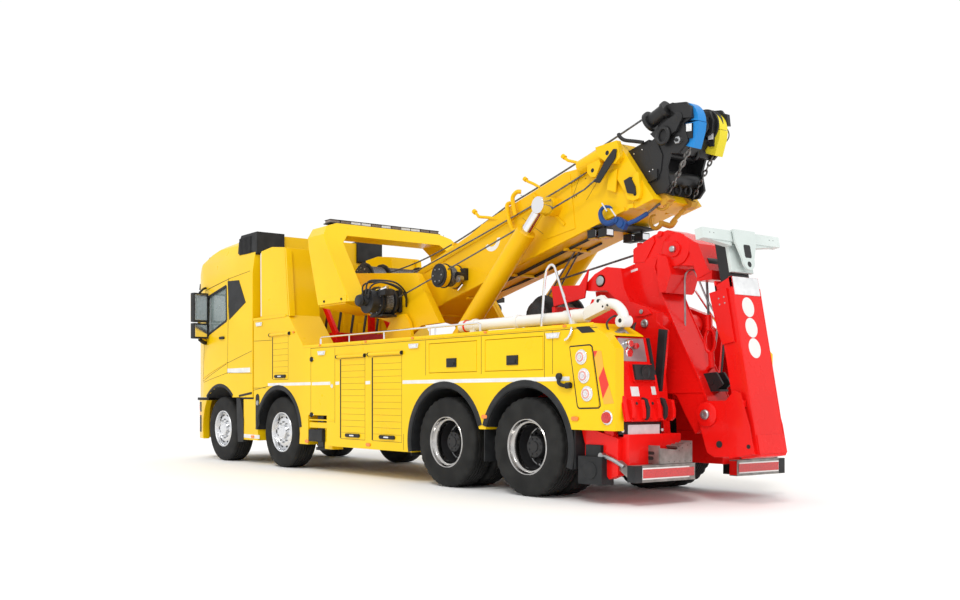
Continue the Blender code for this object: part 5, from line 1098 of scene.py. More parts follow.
lip("arch_1_upper", "cab", 7.32, 0.7, 0.048, 47.8, 131.0)
lip("arch_2", "chassis", 5.345, 0.64, 0.07, 2.0, 172.0)
lip("arch_3", "chassis", 1.37, 0.645, 0.075, -12.0, 162.0)
lip("arch_4", "chassis", 0.0, 0.645, 0.075, 18.0, 196.0)
flap = Shape(TRIM)
for x in (2.03, 0.66, -0.72):
    flap.box((x - 0.008, 0.62, 0.34), (x + 0.008, 1.24, 0.8))
flap.side([(6.69, 1.04), (6.56, 1.035), (6.48, 0.85), (6.447, 0.7), (6.455, 0.345), (6.64, 0.335), (6.668, 0.6),
    (6.685, 0.83)], 1.17, 1.262)
flap.box((6.62, 0.9, 1.025), (6.14, 1.238, 1.046))
both_sides(flap, "mud_flaps", "chassis", bevel=0.004)

# %% [markdown]
# The long yellow body is a row of lockers. Roller shutters are many narrow slats, and drawing each
# slat as a thin seam line of painted shade is enough, because their real step is only a few millimetres.
# The upright gap beside a shutter is its guide and really is open, so it gets the black painted shade
# of an opening instead.

# %% Locker seams and shutters
DECK_EDGE = 1.748
lines = Shape(SEAM_SHADOW)
for route in (
    [(6.12, 2.262), (5.02, 2.255)], [(4.393, 1.755), (4.393, 1.262)], [(3.756, 1.735), (3.756, 0.7)],
    [(6.11, 1.928), (5.54, 1.918)], [(6.13, 1.195), (5.72, 1.195)], [(6.13, 1.16), (5.5, 1.24)],
    [(4.393, 1.22), (4.393, 0.83)], [(2.17, 0.6), (2.17, 0.4)], [(-0.3, 1.735), (-0.3, 1.262)],
    [(4.4, DECK_EDGE), (-1.03, DECK_EDGE)], [(-0.42, 1.74), (-0.42, 1.3)], [(0.7, 1.74), (0.7, 1.32)],
    [(1.72, 1.74), (1.72, 1.32)],
):
    ribbon(lines, route, 0.007, flat_side_y, 0.0012)
framed(lines, 5.503, 1.318, 5.04, 1.99)
for front, rear in ((3.601, 3.022), (2.84, 2.208)):
    framed(lines, front, 0.494, rear, 1.58)
# The shutters' open guides: strips of black painted shade.
lines.use(OPENING_SHADOW)
ribbon(lines, [(5.512, 1.96), (5.512, 1.33)], 0.022, flat_side_y, 0.002)
for front in (3.612, 2.852):
    ribbon(lines, [(front, 1.57), (front, 0.5)], 0.026, flat_side_y, 0.002)
# Each slat's step is a thin line of painted shade.
lines.use(SEAM_SHADOW)
for front, rear, low, high in ((3.59, 3.03, 0.5, 1.57), (2.83, 2.215, 0.5, 1.57), (5.49, 5.05, 1.33, 1.95)):
    count = int((high - low) / 0.082)
    for k in range(1, count):
        z = low + (high - low) * k / count
        ribbon(lines, [(front, z), (rear, z)], 0.0035, flat_side_y, 0.0006)
both_sides(lines, "body_seams", "chassis")

# %% [markdown]
# Each shutter rolls on to a drum at the top of its opening, so a yellow roll shows there, and a
# chrome handle in a black bar pulls it down. Folded edges along the top stiffen the body.

# %% Shutter rolls, handles and folded edges
ROLLS = ((3.69, 3.012, 1.605), (2.925, 2.195, 1.612), (5.58, 4.99, 1.995))
shutter = Shape(YELLOW)
for front, rear, z in ROLLS:
    shutter.rod((front, 1.262, z), (rear, 1.262, z), 0.022, 14)
shutter.box((4.43, 1.244, 0.725), (3.78, 1.256, 0.745))
shutter.box((6.12, 1.245, 2.245), (5.1, 1.262, 2.285))
shutter.box((4.62, 1.24, 1.765), (-0.98, 1.258, 1.8))
shutter.use(TRIM)
for front, rear, z in ROLLS:
    for x in (front, rear):
        shutter.rod((x - 0.012, 1.262, z), (x + 0.012, 1.262, z), 0.026, 14)
for x, z, half in ((3.31, 0.545, 0.17), (2.515, 0.548, 0.17), (5.27, 1.365, 0.165)):
    shutter.side(pill(x, z, half, 0.024), 1.246, 1.272)
shutter.use(CHROME)
for x, z in ((3.31, 0.545), (2.515, 0.548), (5.27, 1.365)):
    shutter.side(pill(x, z, 0.055, 0.011), 1.268, 1.279)
both_sides(shutter, "shutter_rails", "chassis", bevel=0.004)

# %% [markdown]
# Along the side run a white reflective stripe, orange marker lamps, small white work lamps in chrome
# bezels, and round latches. Every one is a shallow plate that stands a few millimetres proud. The
# stripe is a ribbon rather than a painted area, because its ends then stay crisp at any distance.

# %% Stripes, marker lamps and latches
SIDE_LAMPS = ((5.92, 2.182), (4.083, 1.673), (1.945, 1.685), (-0.437, 1.695))
LATCHES = ((4.363, 1.592), (4.363, 0.805))
marks = Shape(STRIPE)
for front, rear in ((5.66, 4.4), (4.365, 3.875), (3.742, 3.645), (3.012, 2.902), (2.192, -0.66)):
    ribbon(marks, [(front, 1.245), (rear, 1.248)], 0.046, flat_side_y, 0.0018, step=0.4)
ribbon(marks, [(6.455, 0.44), (5.93, 0.436)], 0.06, flat_side_y, 0.0018, step=0.4)
marks.use(TRIM)
marks.side(np.concatenate([arc(5.992, 1.045, 0.062, 0, 180, 9), arc(5.992, 0.645, 0.062, 180, 360, 9)]), 1.246,
    1.254)
marks.use(STEEL)
marks.disc((5.985, 1.25, 0.965), [(0.0, 0.0), (0.04, 0.0), (0.04, 0.012), (0.02, 0.02), (0.0, 0.02)], 16)
marks.use(ORANGE)
for x, z in ((4.49, 0.426), (2.94, 0.438), (6.143, 0.436), (0.637, 0.842), (-0.739, 0.846)):
    marks.side(pill(x, z, 0.05, 0.021), 1.247, 1.266)
for x, z in ((4.87, 2.005), (4.131, 1.783), (2.994, 1.783), (1.973, 1.783), (0.62, 1.783), (-0.6, 1.783)):
    marks.side(pill(x, z, 0.026, 0.012), 1.252, 1.268)
marks.use(CHROME)
for x, z in SIDE_LAMPS:
    marks.side([(x + 0.105, z + 0.028), (x + 0.085, z - 0.03), (x - 0.085, z - 0.03), (x - 0.105, z + 0.028)],
        1.246, 1.272)
marks.use(LENS)
for x, z in SIDE_LAMPS:
    marks.side([(x + 0.075, z + 0.018), (x + 0.06, z - 0.02), (x - 0.06, z - 0.02), (x - 0.075, z + 0.018)],
        1.27, 1.277)
marks.use(TRIM)
for x, z in LATCHES:
    marks.disc((x, 1.248, z), [(0.0, 0.0), (0.036, 0.0), (0.036, 0.02), (0.022, 0.028), (0.0, 0.028)], 18)
marks.use(CHROME)
marks.disc((3.823, 1.248, 1.209), [(0.0, 0.0), (0.03, 0.0), (0.03, 0.012), (0.014, 0.024), (0.0, 0.024)], 18)
for x, z in LATCHES:
    marks.disc((x - 0.045, 1.248, z), [(0.0, 0.0), (0.012, 0.0), (0.012, 0.012), (0.0, 0.012)], 12)
both_sides(marks, "body_marks", "chassis", bevel=0.003)

# %% [markdown]
# Each lid over the rear wheels has a square paddle latch, which rides the lid so that it opens with it.

# %% Lid latches
for number, (front, rear) in enumerate(((1.66, 0.78), (0.64, -0.28)), 1):
    middle = (front + rear) / 2 + 0.005
    latch = Shape(TRIM)
    latch.box((middle - 0.088, 1.246, 1.408), (middle + 0.088, 1.262, 1.512))
    # The paddle's recess: a dark plate of painted shade.
    latch.use(BLACK_MESH_AND_SHADE)
    latch.box((middle - 0.064, 1.262, 1.424), (middle + 0.064, 1.264, 1.496))
    latch.use(TRIM)
    latch.box((middle - 0.058, 1.262, 1.428), (middle + 0.058, 1.272, 1.462))
    both_sides(latch, f"lid_latch_{number}", f"lid_{number}", bevel=0.005, segments=2)

# %% [markdown]
# Three round lamps stand in a tilted panel at the rear corner, with a hatched film and a red lamp
# behind it. A lamp is a turned part four times over: bezel, lens, coloured ring and centre. Making
# them as rings of one profile keeps them exactly round, which a modelled lamp seldom is.

# %% Rear quarter
quarter = Shape(YELLOW)
quarter.side([(-0.672, 1.565), (-0.925, 1.572), (-0.955, 1.56), (-1.06, 0.985), (-1.045, 0.965), (-0.8, 0.958),
    (-0.78, 0.975)], 1.243, 1.259)
# A thin outline of painted shade round the lamp panel.
quarter.use(OPENING_SHADOW)
panel = [(-0.664, 1.572), (-0.935, 1.58), (-0.966, 1.562), (-1.073, 0.978), (-1.05, 0.955), (-0.792, 0.948),
    (-0.768, 0.97)]
for a, b in zip(panel, panel[1:] + panel[:1]):
    ribbon(quarter, [a, b], 0.013, flat_side_y, 0.004, step=0.5)
for x, z in ((-0.832, 1.462), (-0.868, 1.274), (-0.91, 1.096)):
    quarter.use(CHROME)
    quarter.disc((x, 1.258, z), [(0.0, 0.0), (0.077, 0.0), (0.077, 0.01), (0.068, 0.016), (0.0, 0.016)], 30)
    quarter.use(LENS)
    quarter.disc((x, 1.258, z), [(0.0, 0.01), (0.066, 0.01), (0.06, 0.026), (0.0, 0.034)], 30)
    quarter.use(ROSE)
    quarter.disc((x, 1.258, z), [(0.036, 0.026), (0.05, 0.026), (0.046, 0.034), (0.036, 0.036)], 30)
    quarter.use(CHROME)
    quarter.disc((x, 1.258, z), [(0.0, 0.02), (0.024, 0.02), (0.018, 0.037), (0.0, 0.038)], 20)
quarter.use(TRIM)
quarter.disc((-0.525, 1.248, 1.272), [(0.0, 0.0), (0.036, 0.0), (0.036, 0.03), (0.022, 0.045), (0.0, 0.045)],
    18)
quarter.tube(curve([(-0.528, 1.272, 1.262), (-0.545, 1.285, 1.205), (-0.6, 1.285, 1.18),
    (-0.655, 1.282, 1.178)], 5), 0.02, 8)
quarter.rod((-0.64, 1.28, 1.178), (-0.7, 1.28, 1.182), 0.032, 12)
quarter.use(BLACK_MESH_AND_SHADE)
quarter.side([(-0.735, 1.775), (-0.93, 1.762), (-1.01, 1.7), (-0.83, 1.7)], 1.2445, 1.254)
both_sides(quarter, "rear_quarter", "chassis", bevel=0.002)

# %% [markdown]
# Behind the lamps the body's corner is cut away at a slant, and a strip of hatched film warns of it.

# %% Tail film and red lamp
tail_face = Shape(HATCH)
tail_face.side([(-0.982, 1.517), (-1.087, 1.513), (-1.118, 1.35), (-1.248, 1.003), (-1.119, 0.994)], 1.247,
    1.2525)
tail_face.use(CHROME)
tail_face.disc((-1.163, 1.248, 0.863), [(0.0, 0.0), (0.072, 0.0), (0.072, 0.01), (0.062, 0.018), (0.0, 0.018)],
    30)
tail_face.use(LENS_RED)
tail_face.disc((-1.163, 1.248, 0.863), [(0.0, 0.01), (0.06, 0.01), (0.052, 0.034), (0.0, 0.042)], 30)
both_sides(tail_face, "tail_film", "chassis")

# %% [markdown]
# A thin chrome rail guards the deck, and a bent one carries on down over the rear corner. They are
# round bars on short posts, so a tube along a route is all they need.

# %% Deck rails
RAIL_Y, RAIL_TOP = 1.15, 1.905
rail = Shape(CHROME)
rail_route = ((4.29, 1.81), (4.29, 1.89), (4.24, RAIL_TOP), (0.88, RAIL_TOP), (0.83, 1.89), (0.83, 1.81))
rail.tube([(x, RAIL_Y, z) for x, z in rail_route], 0.013, 8)
for x in (3.55, 2.734, 1.768, 1.66):
    rail.rod((x, RAIL_Y, 1.8), (x, RAIL_Y, RAIL_TOP), 0.01, 8)
rail.tube(curve([(-0.08, 1.08, 1.8), (-0.13, 1.08, 2.3), (-0.19, 1.08, 2.44), (-0.27, 1.085, 2.44),
    (-0.34, 1.1, 2.32), (-0.62, 1.2, 1.86), (-0.7, 1.262, 1.74), (-0.68, 1.285, 1.665), (-0.62, 1.272, 1.64)],
    6), 0.014, 8)
both_sides(rail, "deck_rails", "chassis")

# %% [markdown]
# The tall lockers beside the cab have folded edges and one white reflective band.

# %% Tower edges
tower = Shape(YELLOW)
for z in (2.45, 2.8, 3.12):
    tower.box((5.6, 1.246, z), (5.3, 1.251, z + 0.004))
tower.use(STRIPE)
tower.side([(5.885, 2.3), (5.895, 3.27), (5.872, 3.28), (5.862, 2.3)], 1.1, 1.253)
tower.use(YELLOW)
tower.side([(5.02, 2.25), (5.13, 3.26), (5.095, 3.26), (4.985, 2.25)], 1.16, 1.253)
both_sides(tower, "tower_edges", "chassis", bevel=0.003)

# %% [markdown]
# Each outrigger slides in a yellow sleeve, with a black cover and a hose to its cylinder.

# %% Outrigger housings
feet = Shape(YELLOW)
feet.box((4.46, 1.02, 0.62), (3.9, 1.235, 0.7))
feet.box((4.1, 1.02, 0.33), (3.9, 1.2, 0.62))
feet.use(TRIM)
feet.box((4.44, 1.198, 0.43), (4.08, 1.262, 0.6))
feet.tube(curve([(4.02, 1.21, 0.66), (3.96, 1.235, 0.56), (4.0, 1.22, 0.45)], 5), 0.012, 6)
both_sides(feet, "outrigger_housing", "chassis", bevel=0.01, segments=2)

# %% [markdown]
# Over the winches stands a wide yellow hoop with a beacon bar on top. The bar is eleven lens blocks
# between two black plates, some smoked and some clear, which is how it looks when it is off.

# %% Light bar and hoop trim
SMOKED_BLOCKS = (0, 1, 4, 6, 9, 10)
bar = Shape(LENS)
for k in range(11):
    y = -0.9 + 0.18 * k
    bar.use(SMOKE if k in SMOKED_BLOCKS else LENS)
    bar.box((4.44, y - 0.082, 3.556), (4.3, y + 0.082, 3.596))
bar.use(TRIM)
bar.box((4.46, -1.0, 3.541), (4.28, 1.0, 3.558))
bar.box((4.45, -0.99, 3.596), (4.29, 0.99, 3.604))
bar.done("hoop_light_bar", "boom", bevel=0.006, segments=2)

# Thin upright lines of painted shade where the hoop's plates meet.
hoop_trim = Shape(SEAM_SHADOW)
for y in (1.0, -1.0):
    hoop_trim.front([(y - 0.003, 3.36), (y + 0.003, 3.36), (y + 0.003, 3.535), (y - 0.003, 3.535)], 4.2, 4.197)
hoop_trim.use(YELLOW)
for sign in (-1.0, 1.0):
    hoop_trim.box((4.1, 1.251 * sign, 2.345), (3.46, 1.257 * sign, 2.43))
    hoop_trim.rod((3.95, 0.96 * sign, 2.47), (3.95, 0.96 * sign, 2.345), 0.03, 8)
hoop_trim.use(TRIM)
for sign in (-1.0, 1.0):
    for x in (4.02, 3.58):
        hoop_trim.rod((x, 1.257 * sign, 2.387), (x, 1.27 * sign, 2.387), 0.018, 6)
hoop_trim.done("hoop_trim", "boom", bevel=0.002)

# %% [markdown]
# A winch is a drum between two flanges, with rope laid turn by turn. Winding a real spiral would take
# thousands of faces. A sleeve with one ridge for each turn looks the same from a metre away, and it
# is a turned shape like the rest. Bolts on the motor side are small rods in a circle.

# %% Upper winch
UPPER_DRUM = (4.18, 0.0, 2.73)
UPPER_FLANGE = [(0.0, 0.0), (0.235, 0.0), (0.235, 0.022), (0.15, 0.03), (0.14, 0.04), (0.0, 0.04)]


def wound(shape, centre, low, high, radius, pitch, sign=1.0):
    """Rope laid turn by turn on a drum: a sleeve whose profile dips a third of the pitch at the start
    of each turn and comes back to the full radius half way through it."""
    count = int((high - low) / pitch)
    turn = np.linspace(low, high, count, endpoint=False)
    dip, crest = np.full(count, radius - pitch * 0.3), np.full(count, radius)
    ridges = np.stack([dip, turn, crest, turn + (high - low) / count / 2], axis=-1).reshape(-1, 2)
    profile = np.concatenate([[(radius * 0.6, low)], ridges,
        [(radius - pitch * 0.3, high), (radius * 0.6, high)]])
    shape.disc(centre, profile, 28, sign=sign)


def bolts(shape, x, z, circle, y0, y1, size, count, offset=0.0):
    """Bolt heads in an even circle on an upright face, from one y to another."""
    for c, s in circle_of(count, offset):
        shape.rod((x + circle * c, y0, z + circle * s), (x + circle * c, y1, z + circle * s), size, 6)


upper = Shape(ROPE)
for low, high in ((-0.44, 0.13), (0.205, 0.455)):
    wound(upper, UPPER_DRUM, low, high, 0.225, 0.026)
upper.use(CAST)
for y, out in ((0.5, 1.0), (-0.5, -1.0)):
    upper.disc((UPPER_DRUM[0], y, UPPER_DRUM[2]), UPPER_FLANGE, 28, sign=out)
upper.use(STEEL)
bolts(upper, UPPER_DRUM[0], UPPER_DRUM[2], 0.19, 0.522, 0.536, 0.012, 12)
upper.done("upper_winch_rope", "boom")

# %% [markdown]
# One smaller winch hangs on each side of the hoop, with its motor, hoses and valve outside. Hoses are
# routes through six places. The three of them share the places and differ by a small offset, so they
# run together as real hoses do without touching.

# %% Side winches
SIDE_DRUM = (3.215, 0.6, 2.34)

for sign, side_name in ((1.0, "left"), (-1.0, "right")):
    side_winch = Shape(ROPE)
    start = SIDE_DRUM[1]
    hub = (SIDE_DRUM[0], start * sign, SIDE_DRUM[2])
    wound(side_winch, hub, 0.15, 0.264, 0.165, 0.022, sign=sign)
    side_winch.use(CAST)
    side_winch.disc(hub, [(0.0, 0.56), (0.06, 0.56), (0.075, 0.575), (0.085, 0.6), (0.07, 0.64), (0.0, 0.645)],
        20, sign=sign)
    for along, radius in ((0.3, 0.205), (0.345, 0.198), (0.48, 0.165)):
        side_winch.disc(hub, [(0.05, along), (radius, along), (radius, along + 0.018), (0.05, along + 0.018)],
            26, sign=sign)
    side_winch.box((3.37, (start + 0.02) * sign, 2.2), (3.06, (start + 0.06) * sign, 2.5))
    side_winch.box((3.36, (start + 0.1) * sign, 2.135), (3.07, (start + 0.34) * sign, 2.165))
    side_winch.use(STEEL)
    bolts(side_winch, hub[0], hub[2], 0.165, (start + 0.363) * sign, (start + 0.38) * sign, 0.012, 8, 0.5)
    side_winch.use(HOSE)
    y0 = start * sign
    for dx, dz in ((0.05, 0.06), (-0.02, 0.09), (-0.07, 0.03)):
        side_winch.tube(curve([
            (hub[0] + dx, y0 + 0.52 * sign, hub[2] + dz), (3.2 + dx * 1.5, y0 + 0.5 * sign, 2.5 + dz),
            (3.05 + dx, y0 + 0.4 * sign, 2.56 + dz * 0.5),
            (2.92 + dx, y0 + 0.24 * sign, 2.48 + dz), (2.9, y0 + 0.08 * sign, 2.36 + dz),
            (2.98, y0 + 0.01 * sign, 2.24 + dz),
        ], 5), 0.013, 7)
    side_winch.use(CHROME)
    side_winch.rod((3.1, y0 + 0.4 * sign, 2.47), (2.86, y0 + 0.4 * sign, 2.5), 0.028, 10)
    side_winch.use(CAST)
    side_winch.box((3.02, y0 + 0.3 * sign, 2.4), (2.86, y0 + 0.44 * sign, 2.47))
    side_winch.done(f"side_winch_detail_{side_name}", "boom", bevel=0.003)

# %% [markdown]
# A third, narrow drum is bolted to the boom's left flank. It is three black flanges, a hub cap and a
# short winding, with its motor behind.

# %% Flank drum
FLANK_DRUM = (2.2, 0.34, 2.61)
flank = Shape(CAST)
for along, radius in ((0.045, 0.155), (0.235, 0.158), (0.32, 0.152)):
    flank.disc(FLANK_DRUM, [(0.03, along), (radius, along), (radius, along + 0.014), (0.03, along + 0.014)], 28)
flank.disc(FLANK_DRUM, [(0.0, 0.338), (0.118, 0.338), (0.112, 0.35), (0.03, 0.352), (0.0, 0.352)], 28)
wound(flank.use(ROPE), FLANK_DRUM, 0.125, 0.232, 0.135, 0.018)
flank.use(CAST)
flank.box((2.1, 0.351, 2.55), (1.99, 0.42, 2.7))
flank.rod((2.02, 0.4, 2.6), (2.02, 0.52, 2.6), 0.05, 16)
flank.use(STEEL)
flank.rod((1.985, 0.47, 2.555), (1.985, 0.53, 2.555), 0.045, 18)
flank.rod((1.985, 0.53, 2.555), (1.985, 0.545, 2.555), 0.018, 10)
bolts(flank, FLANK_DRUM[0], FLANK_DRUM[2], 0.085, 0.69, 0.7, 0.01, 6)
flank.use(CHROME)
flank.tube([(2.05, 0.4, 2.5), (2.12, 0.42, 2.43), (2.2, 0.42, 2.44)], 0.012, 6)
flank.done("flank_drum_detail", "boom")

# %% [markdown]
# The boom leans, and most of its plates run along it. Their corners are therefore given as a distance
# along the boom and a height above its line, and one small function turns those into the truck's
# station and height. The flat bars and bolts that are easier to read off the photograph directly
# are given in stations.

# %% Plates on the boom
PIVOT = (3.05, 2.04)
LEAN = math.radians(13.7)
WEB = 0.349


def on_boom(s, t):
    """Station and height of a point s along the boom and t above its line."""
    return (PIVOT[0] - s * math.cos(LEAN) + t * math.sin(LEAN),
        PIVOT[1] + s * math.sin(LEAN) + t * math.cos(LEAN))


def boom_bar(shape, start, end, width, y0, y1):
    """A flat bar between two stations on the boom's flank."""
    dx, dz = end[0] - start[0], end[1] - start[1]
    size = math.hypot(dx, dz)
    nx, nz = -dz / size * width / 2, dx / size * width / 2
    shape.side([(start[0] - nx, start[1] - nz), (end[0] - nx, end[1] - nz), (end[0] + nx, end[1] + nz),
        (start[0] + nx, start[1] + nz)], y0, y1)


webs = Shape(YELLOW_SATIN)
for sign in (-1.0, 1.0):
    webs.side([on_boom(0.3, 0.64), on_boom(3.76, 0.735), on_boom(3.76, 0.765), on_boom(0.3, 0.67)], WEB * sign,
        0.362 * sign)
    webs.side([on_boom(0.6, 0.115), on_boom(3.78, 0.115), on_boom(3.78, 0.15), on_boom(0.6, 0.15)], WEB * sign,
        0.366 * sign)
    boom_bar(webs, (0.8, 3.45), (0.29, 3.02), 0.03, WEB * sign, 0.372 * sign)
    webs.side([on_boom(2.55, 0.25), on_boom(3.05, 0.2), on_boom(3.12, 0.82), on_boom(2.62, 0.85)], WEB * sign,
        0.358 * sign)
    webs.side([on_boom(1.05, 0.5), on_boom(1.62, 0.12), on_boom(0.62, 0.12)], WEB * sign, 0.357 * sign)
    # Thin strips of painted shade where the flank's plates meet.
    webs.use(SEAM_SHADOW)
    boom_bar(webs, (0.032, 3.6), (0.297, 3.08), 0.006, WEB * sign, 0.3515 * sign)
    boom_bar(webs, (-0.223, 3.458), (-0.03, 3.25), 0.006, WEB * sign, 0.3515 * sign)
    boom_bar(webs, (1.0, 3.2), (0.6, 2.93), 0.005, WEB * sign, 0.3512 * sign)
    # Bolt holes: dark dots of painted shade.
    webs.use(OPENING_SHADOW)
    for x, z in ((1.02, 3.47), (0.99, 3.46), (0.74, 3.52), (0.12, 3.32), (0.15, 3.31), (0.18, 3.3), (0.55, 3.1),
            (0.58, 3.09), (0.61, 3.08), (-0.02, 3.49), (0.33, 3.36)):
        webs.rod((x, WEB * sign, z), (x, 0.3535 * sign, z), 0.0075, 8)
    webs.use(YELLOW_SATIN)
for s, t in ((0.9, 0.835), (1.5, 0.86)):
    webs.box((on_boom(s, t)[0] - 0.02, -0.3, on_boom(s, t)[1] - 0.02),
        (on_boom(s, t)[0] + 0.02, 0.3, on_boom(s, t)[1] + 0.012))
webs.done("boom_web_plates", "boom", bevel=0.003)

# %% [markdown]
# Round steel hooks stand out along the boom to keep ropes off its flank. Each is a tube through a few
# places, with a thicker end.

# %% Rope hooks
straps = Shape(YELLOW_SATIN)
straps.tube(curve([(1.215, 0.352, 3.41), (1.215, 0.4, 3.375), (1.18, 0.405, 3.22), (1.135, 0.4, 3.1),
    (1.1, 0.4, 3.055), (1.03, 0.41, 3.07)], 5), 0.026, 8)
strap_line = np.array([(1.02, 0.352, 3.515), (1.06, 0.385, 3.515), (1.115, 0.4, 3.46), (1.1, 0.402, 3.36),
    (1.065, 0.4, 3.235)])
for sign in (1.0, -1.0):
    straps.tube(curve(strap_line * (1.0, sign, 1.0), 5), 0.026, 8)
straps.tube(curve([(1.86, 0.37, 3.405), (1.79, 0.37, 3.345), (1.76, 0.37, 3.322), (1.6, 0.365, 3.29),
    (1.42, 0.33, 3.24)], 5), 0.019, 8)
straps.rod((1.87, 0.37, 3.412), (1.835, 0.37, 3.385), 0.03, 10)
straps.tube(curve([(0.945, 0.36, 3.655), (0.9, 0.36, 3.62), (0.86, 0.36, 3.6), (0.79, 0.355, 3.565),
    (0.73, 0.33, 3.52)], 5), 0.017, 8)
straps.rod((0.955, 0.36, 3.662), (0.92, 0.36, 3.636), 0.027, 10)
straps.tube(curve([(0.315, 0.36, 3.8), (0.25, 0.36, 3.745), (0.2, 0.36, 3.725), (0.1, 0.355, 3.685),
    (0.02, 0.33, 3.62)], 5), 0.017, 8)
straps.rod((0.325, 0.36, 3.808), (0.285, 0.36, 3.778), 0.027, 10)
straps.done("boom_straps", "boom")

# %% [markdown]
# Two hydraulic pipes run under the boom, on cross plates, down to a lug for the drag ropes.

# %% Boom pipes
pipes = Shape(HOSE)
pipes.tube(curve([(2.98, 0.1, 2.22), (2.74, 0.12, 2.3), (1.54, 0.14, 2.51), (0.63, 0.14, 2.735),
    (0.2, 0.14, 2.84), (-0.1, 0.16, 2.91)], 5), 0.022, 8)
pipes.tube(curve([(2.98, -0.1, 2.22), (2.74, -0.12, 2.3), (1.54, -0.14, 2.51), (0.63, -0.14, 2.735),
    (0.2, -0.14, 2.84)], 5), 0.018, 8)
pipes.use(YELLOW_SATIN)
for s in (0.9, 1.8, 2.7):
    x, z = on_boom(s, 0.1)
    pipes.box((x - 0.03, -0.2, z - 0.02), (x + 0.03, 0.2, z + 0.012))
pipes.use(HOOK)
pipes.box((0.39, -0.05, 2.83), (0.3, 0.05, 2.93))
pipes.rod((0.345, -0.045, 2.88), (0.345, 0.045, 2.88), 0.045, 12)
pipes.done("boom_hoses", "boom", bevel=0.003)

# %% [markdown]
# The flank carries a plain white crescent. It is a band of sixteen flat steps.

# %% White mark
decal = Shape(WHITE)
mark_radius = np.array([0.15, 0.15, 0.092, 0.092])
for k in range(16):
    turn = np.radians(178 + 9.4 * np.array([k, k + 1, k + 1, k]))
    decal.side(np.column_stack([1.545 + mark_radius * np.cos(turn), 3.015 + mark_radius * np.sin(turn)]),
        0.3495, 0.3508)
decal.done("boom_blank_mark", "boom")

# %% [markdown]
# Where the inner boom leaves the outer one, a heavy collar carries lugs, rope guides and pads. Thick
# cast plates are outlines read off the photograph and swept a few centimetres, and their bevel does
# the rest.

# %% Collar lugs
for sign, side_name in ((1.0, "left"), (-1.0, "right")):
    lugs = Shape(YELLOW_SATIN)
    lugs.tube([(0.03, 0.37 * sign, 3.615), (-0.3, 0.37 * sign, 3.7)], 0.085, 20)
    lugs.side([(-0.255, 3.775), (-0.56, 3.79), (-0.61, 3.6), (-0.535, 3.545), (-0.435, 3.565), (-0.3, 3.665)],
        0.385 * sign, 0.455 * sign)
    lugs.side([(-0.12, 3.61), (-0.125, 3.52), (-0.18, 3.465), (-0.25, 3.455), (-0.32, 3.58), (-0.3, 3.64)],
        0.385 * sign, 0.44 * sign)
    lugs.side([(-0.5, 3.25), (-0.52, 3.5), (-0.4, 3.47), (-0.375, 3.3)], 0.385 * sign, 0.405 * sign)
    lugs.side([(-0.83, 3.405), (-0.86, 3.2), (-0.84, 3.13), (-0.77, 3.115), (-0.69, 3.14), (-0.655, 3.2),
        (-0.78, 3.4)], 0.385 * sign, 0.43 * sign)
    lugs.box((-0.66, 0.2 * sign, 3.05), (-0.74, 0.4 * sign, 3.1))
    # Holes in the lugs: discs of painted shade.
    lugs.use(OPENING_SHADOW)
    for x, z, radius, y in ((-0.43, 3.68, 0.03, 0.4555), (-0.205, 3.535, 0.028, 0.4405),
            (-0.79, 3.185, 0.026, 0.4305)):
        lugs.rod((x, (y - 0.01) * sign, z), (x, y * sign, z), radius, 14)
    lugs.use(BLACK_MESH_AND_SHADE)
    lugs.side([(-0.255, 3.395), (-0.335, 3.37), (-0.56, 3.6), (-0.575, 3.69), (-0.53, 3.7), (-0.415, 3.595)],
        0.46 * sign, 0.476 * sign)
    lugs.side([(-0.65, 3.345), (-0.735, 3.372), (-0.8, 3.26), (-0.812, 3.175), (-0.7, 3.205)], 0.388 * sign,
        0.45 * sign)
    lugs.done(f"collar_lugs_{side_name}", "boom", bevel=0.006, segments=2)

# %% [markdown]
# Four work lamps hang in a row below the collar, each a black box with a bright face on a stalk.

# %% Work lamps
WORK_LAMPS = [(x, y, z) for x, z in ((-0.1, 2.865), (-0.262, 2.858)) for y in (0.29, -0.29)]
work = Shape(TRIM)
for x, y, z in WORK_LAMPS:
    work.box((x - 0.058, y - 0.06, z - 0.045), (x + 0.058, y + 0.06, z + 0.045))
    work.rod((x, y, z + 0.04), (x + 0.02, y, z + 0.1), 0.012, 6)
work.box((-0.06, -0.36, 2.925), (-0.42, 0.36, 2.945))
work.use(CHROME)
for x, y, z in WORK_LAMPS:
    work.box((x - 0.06, y - 0.05, z - 0.03), (x - 0.056, y + 0.05, z + 0.035))
work.done("boom_work_lamps", "boom", bevel=0.006, segments=2)

# %% [markdown]
# The black head at the boom's tip is what the eye goes to. Two cheek plates hold the sheaves that
# the ropes turn over, with rollers, rings and bolts around them. The model's solid is a plain head
# of the same size, and this piece, which is read more closely off the photograph, replaces it there.

# %% Boom head
BOW = (-1.215, 3.862)


def seen_from_side(centre, radius_x, radius_z, count=24, y=0.0):
    """A closed route round an oval that lies in the (x, z) plane."""
    turn = math.tau * np.arange(count) / count
    return np.column_stack([centre[0] + radius_x * np.cos(turn), np.full(count, y),
        centre[1] + radius_z * np.sin(turn)])


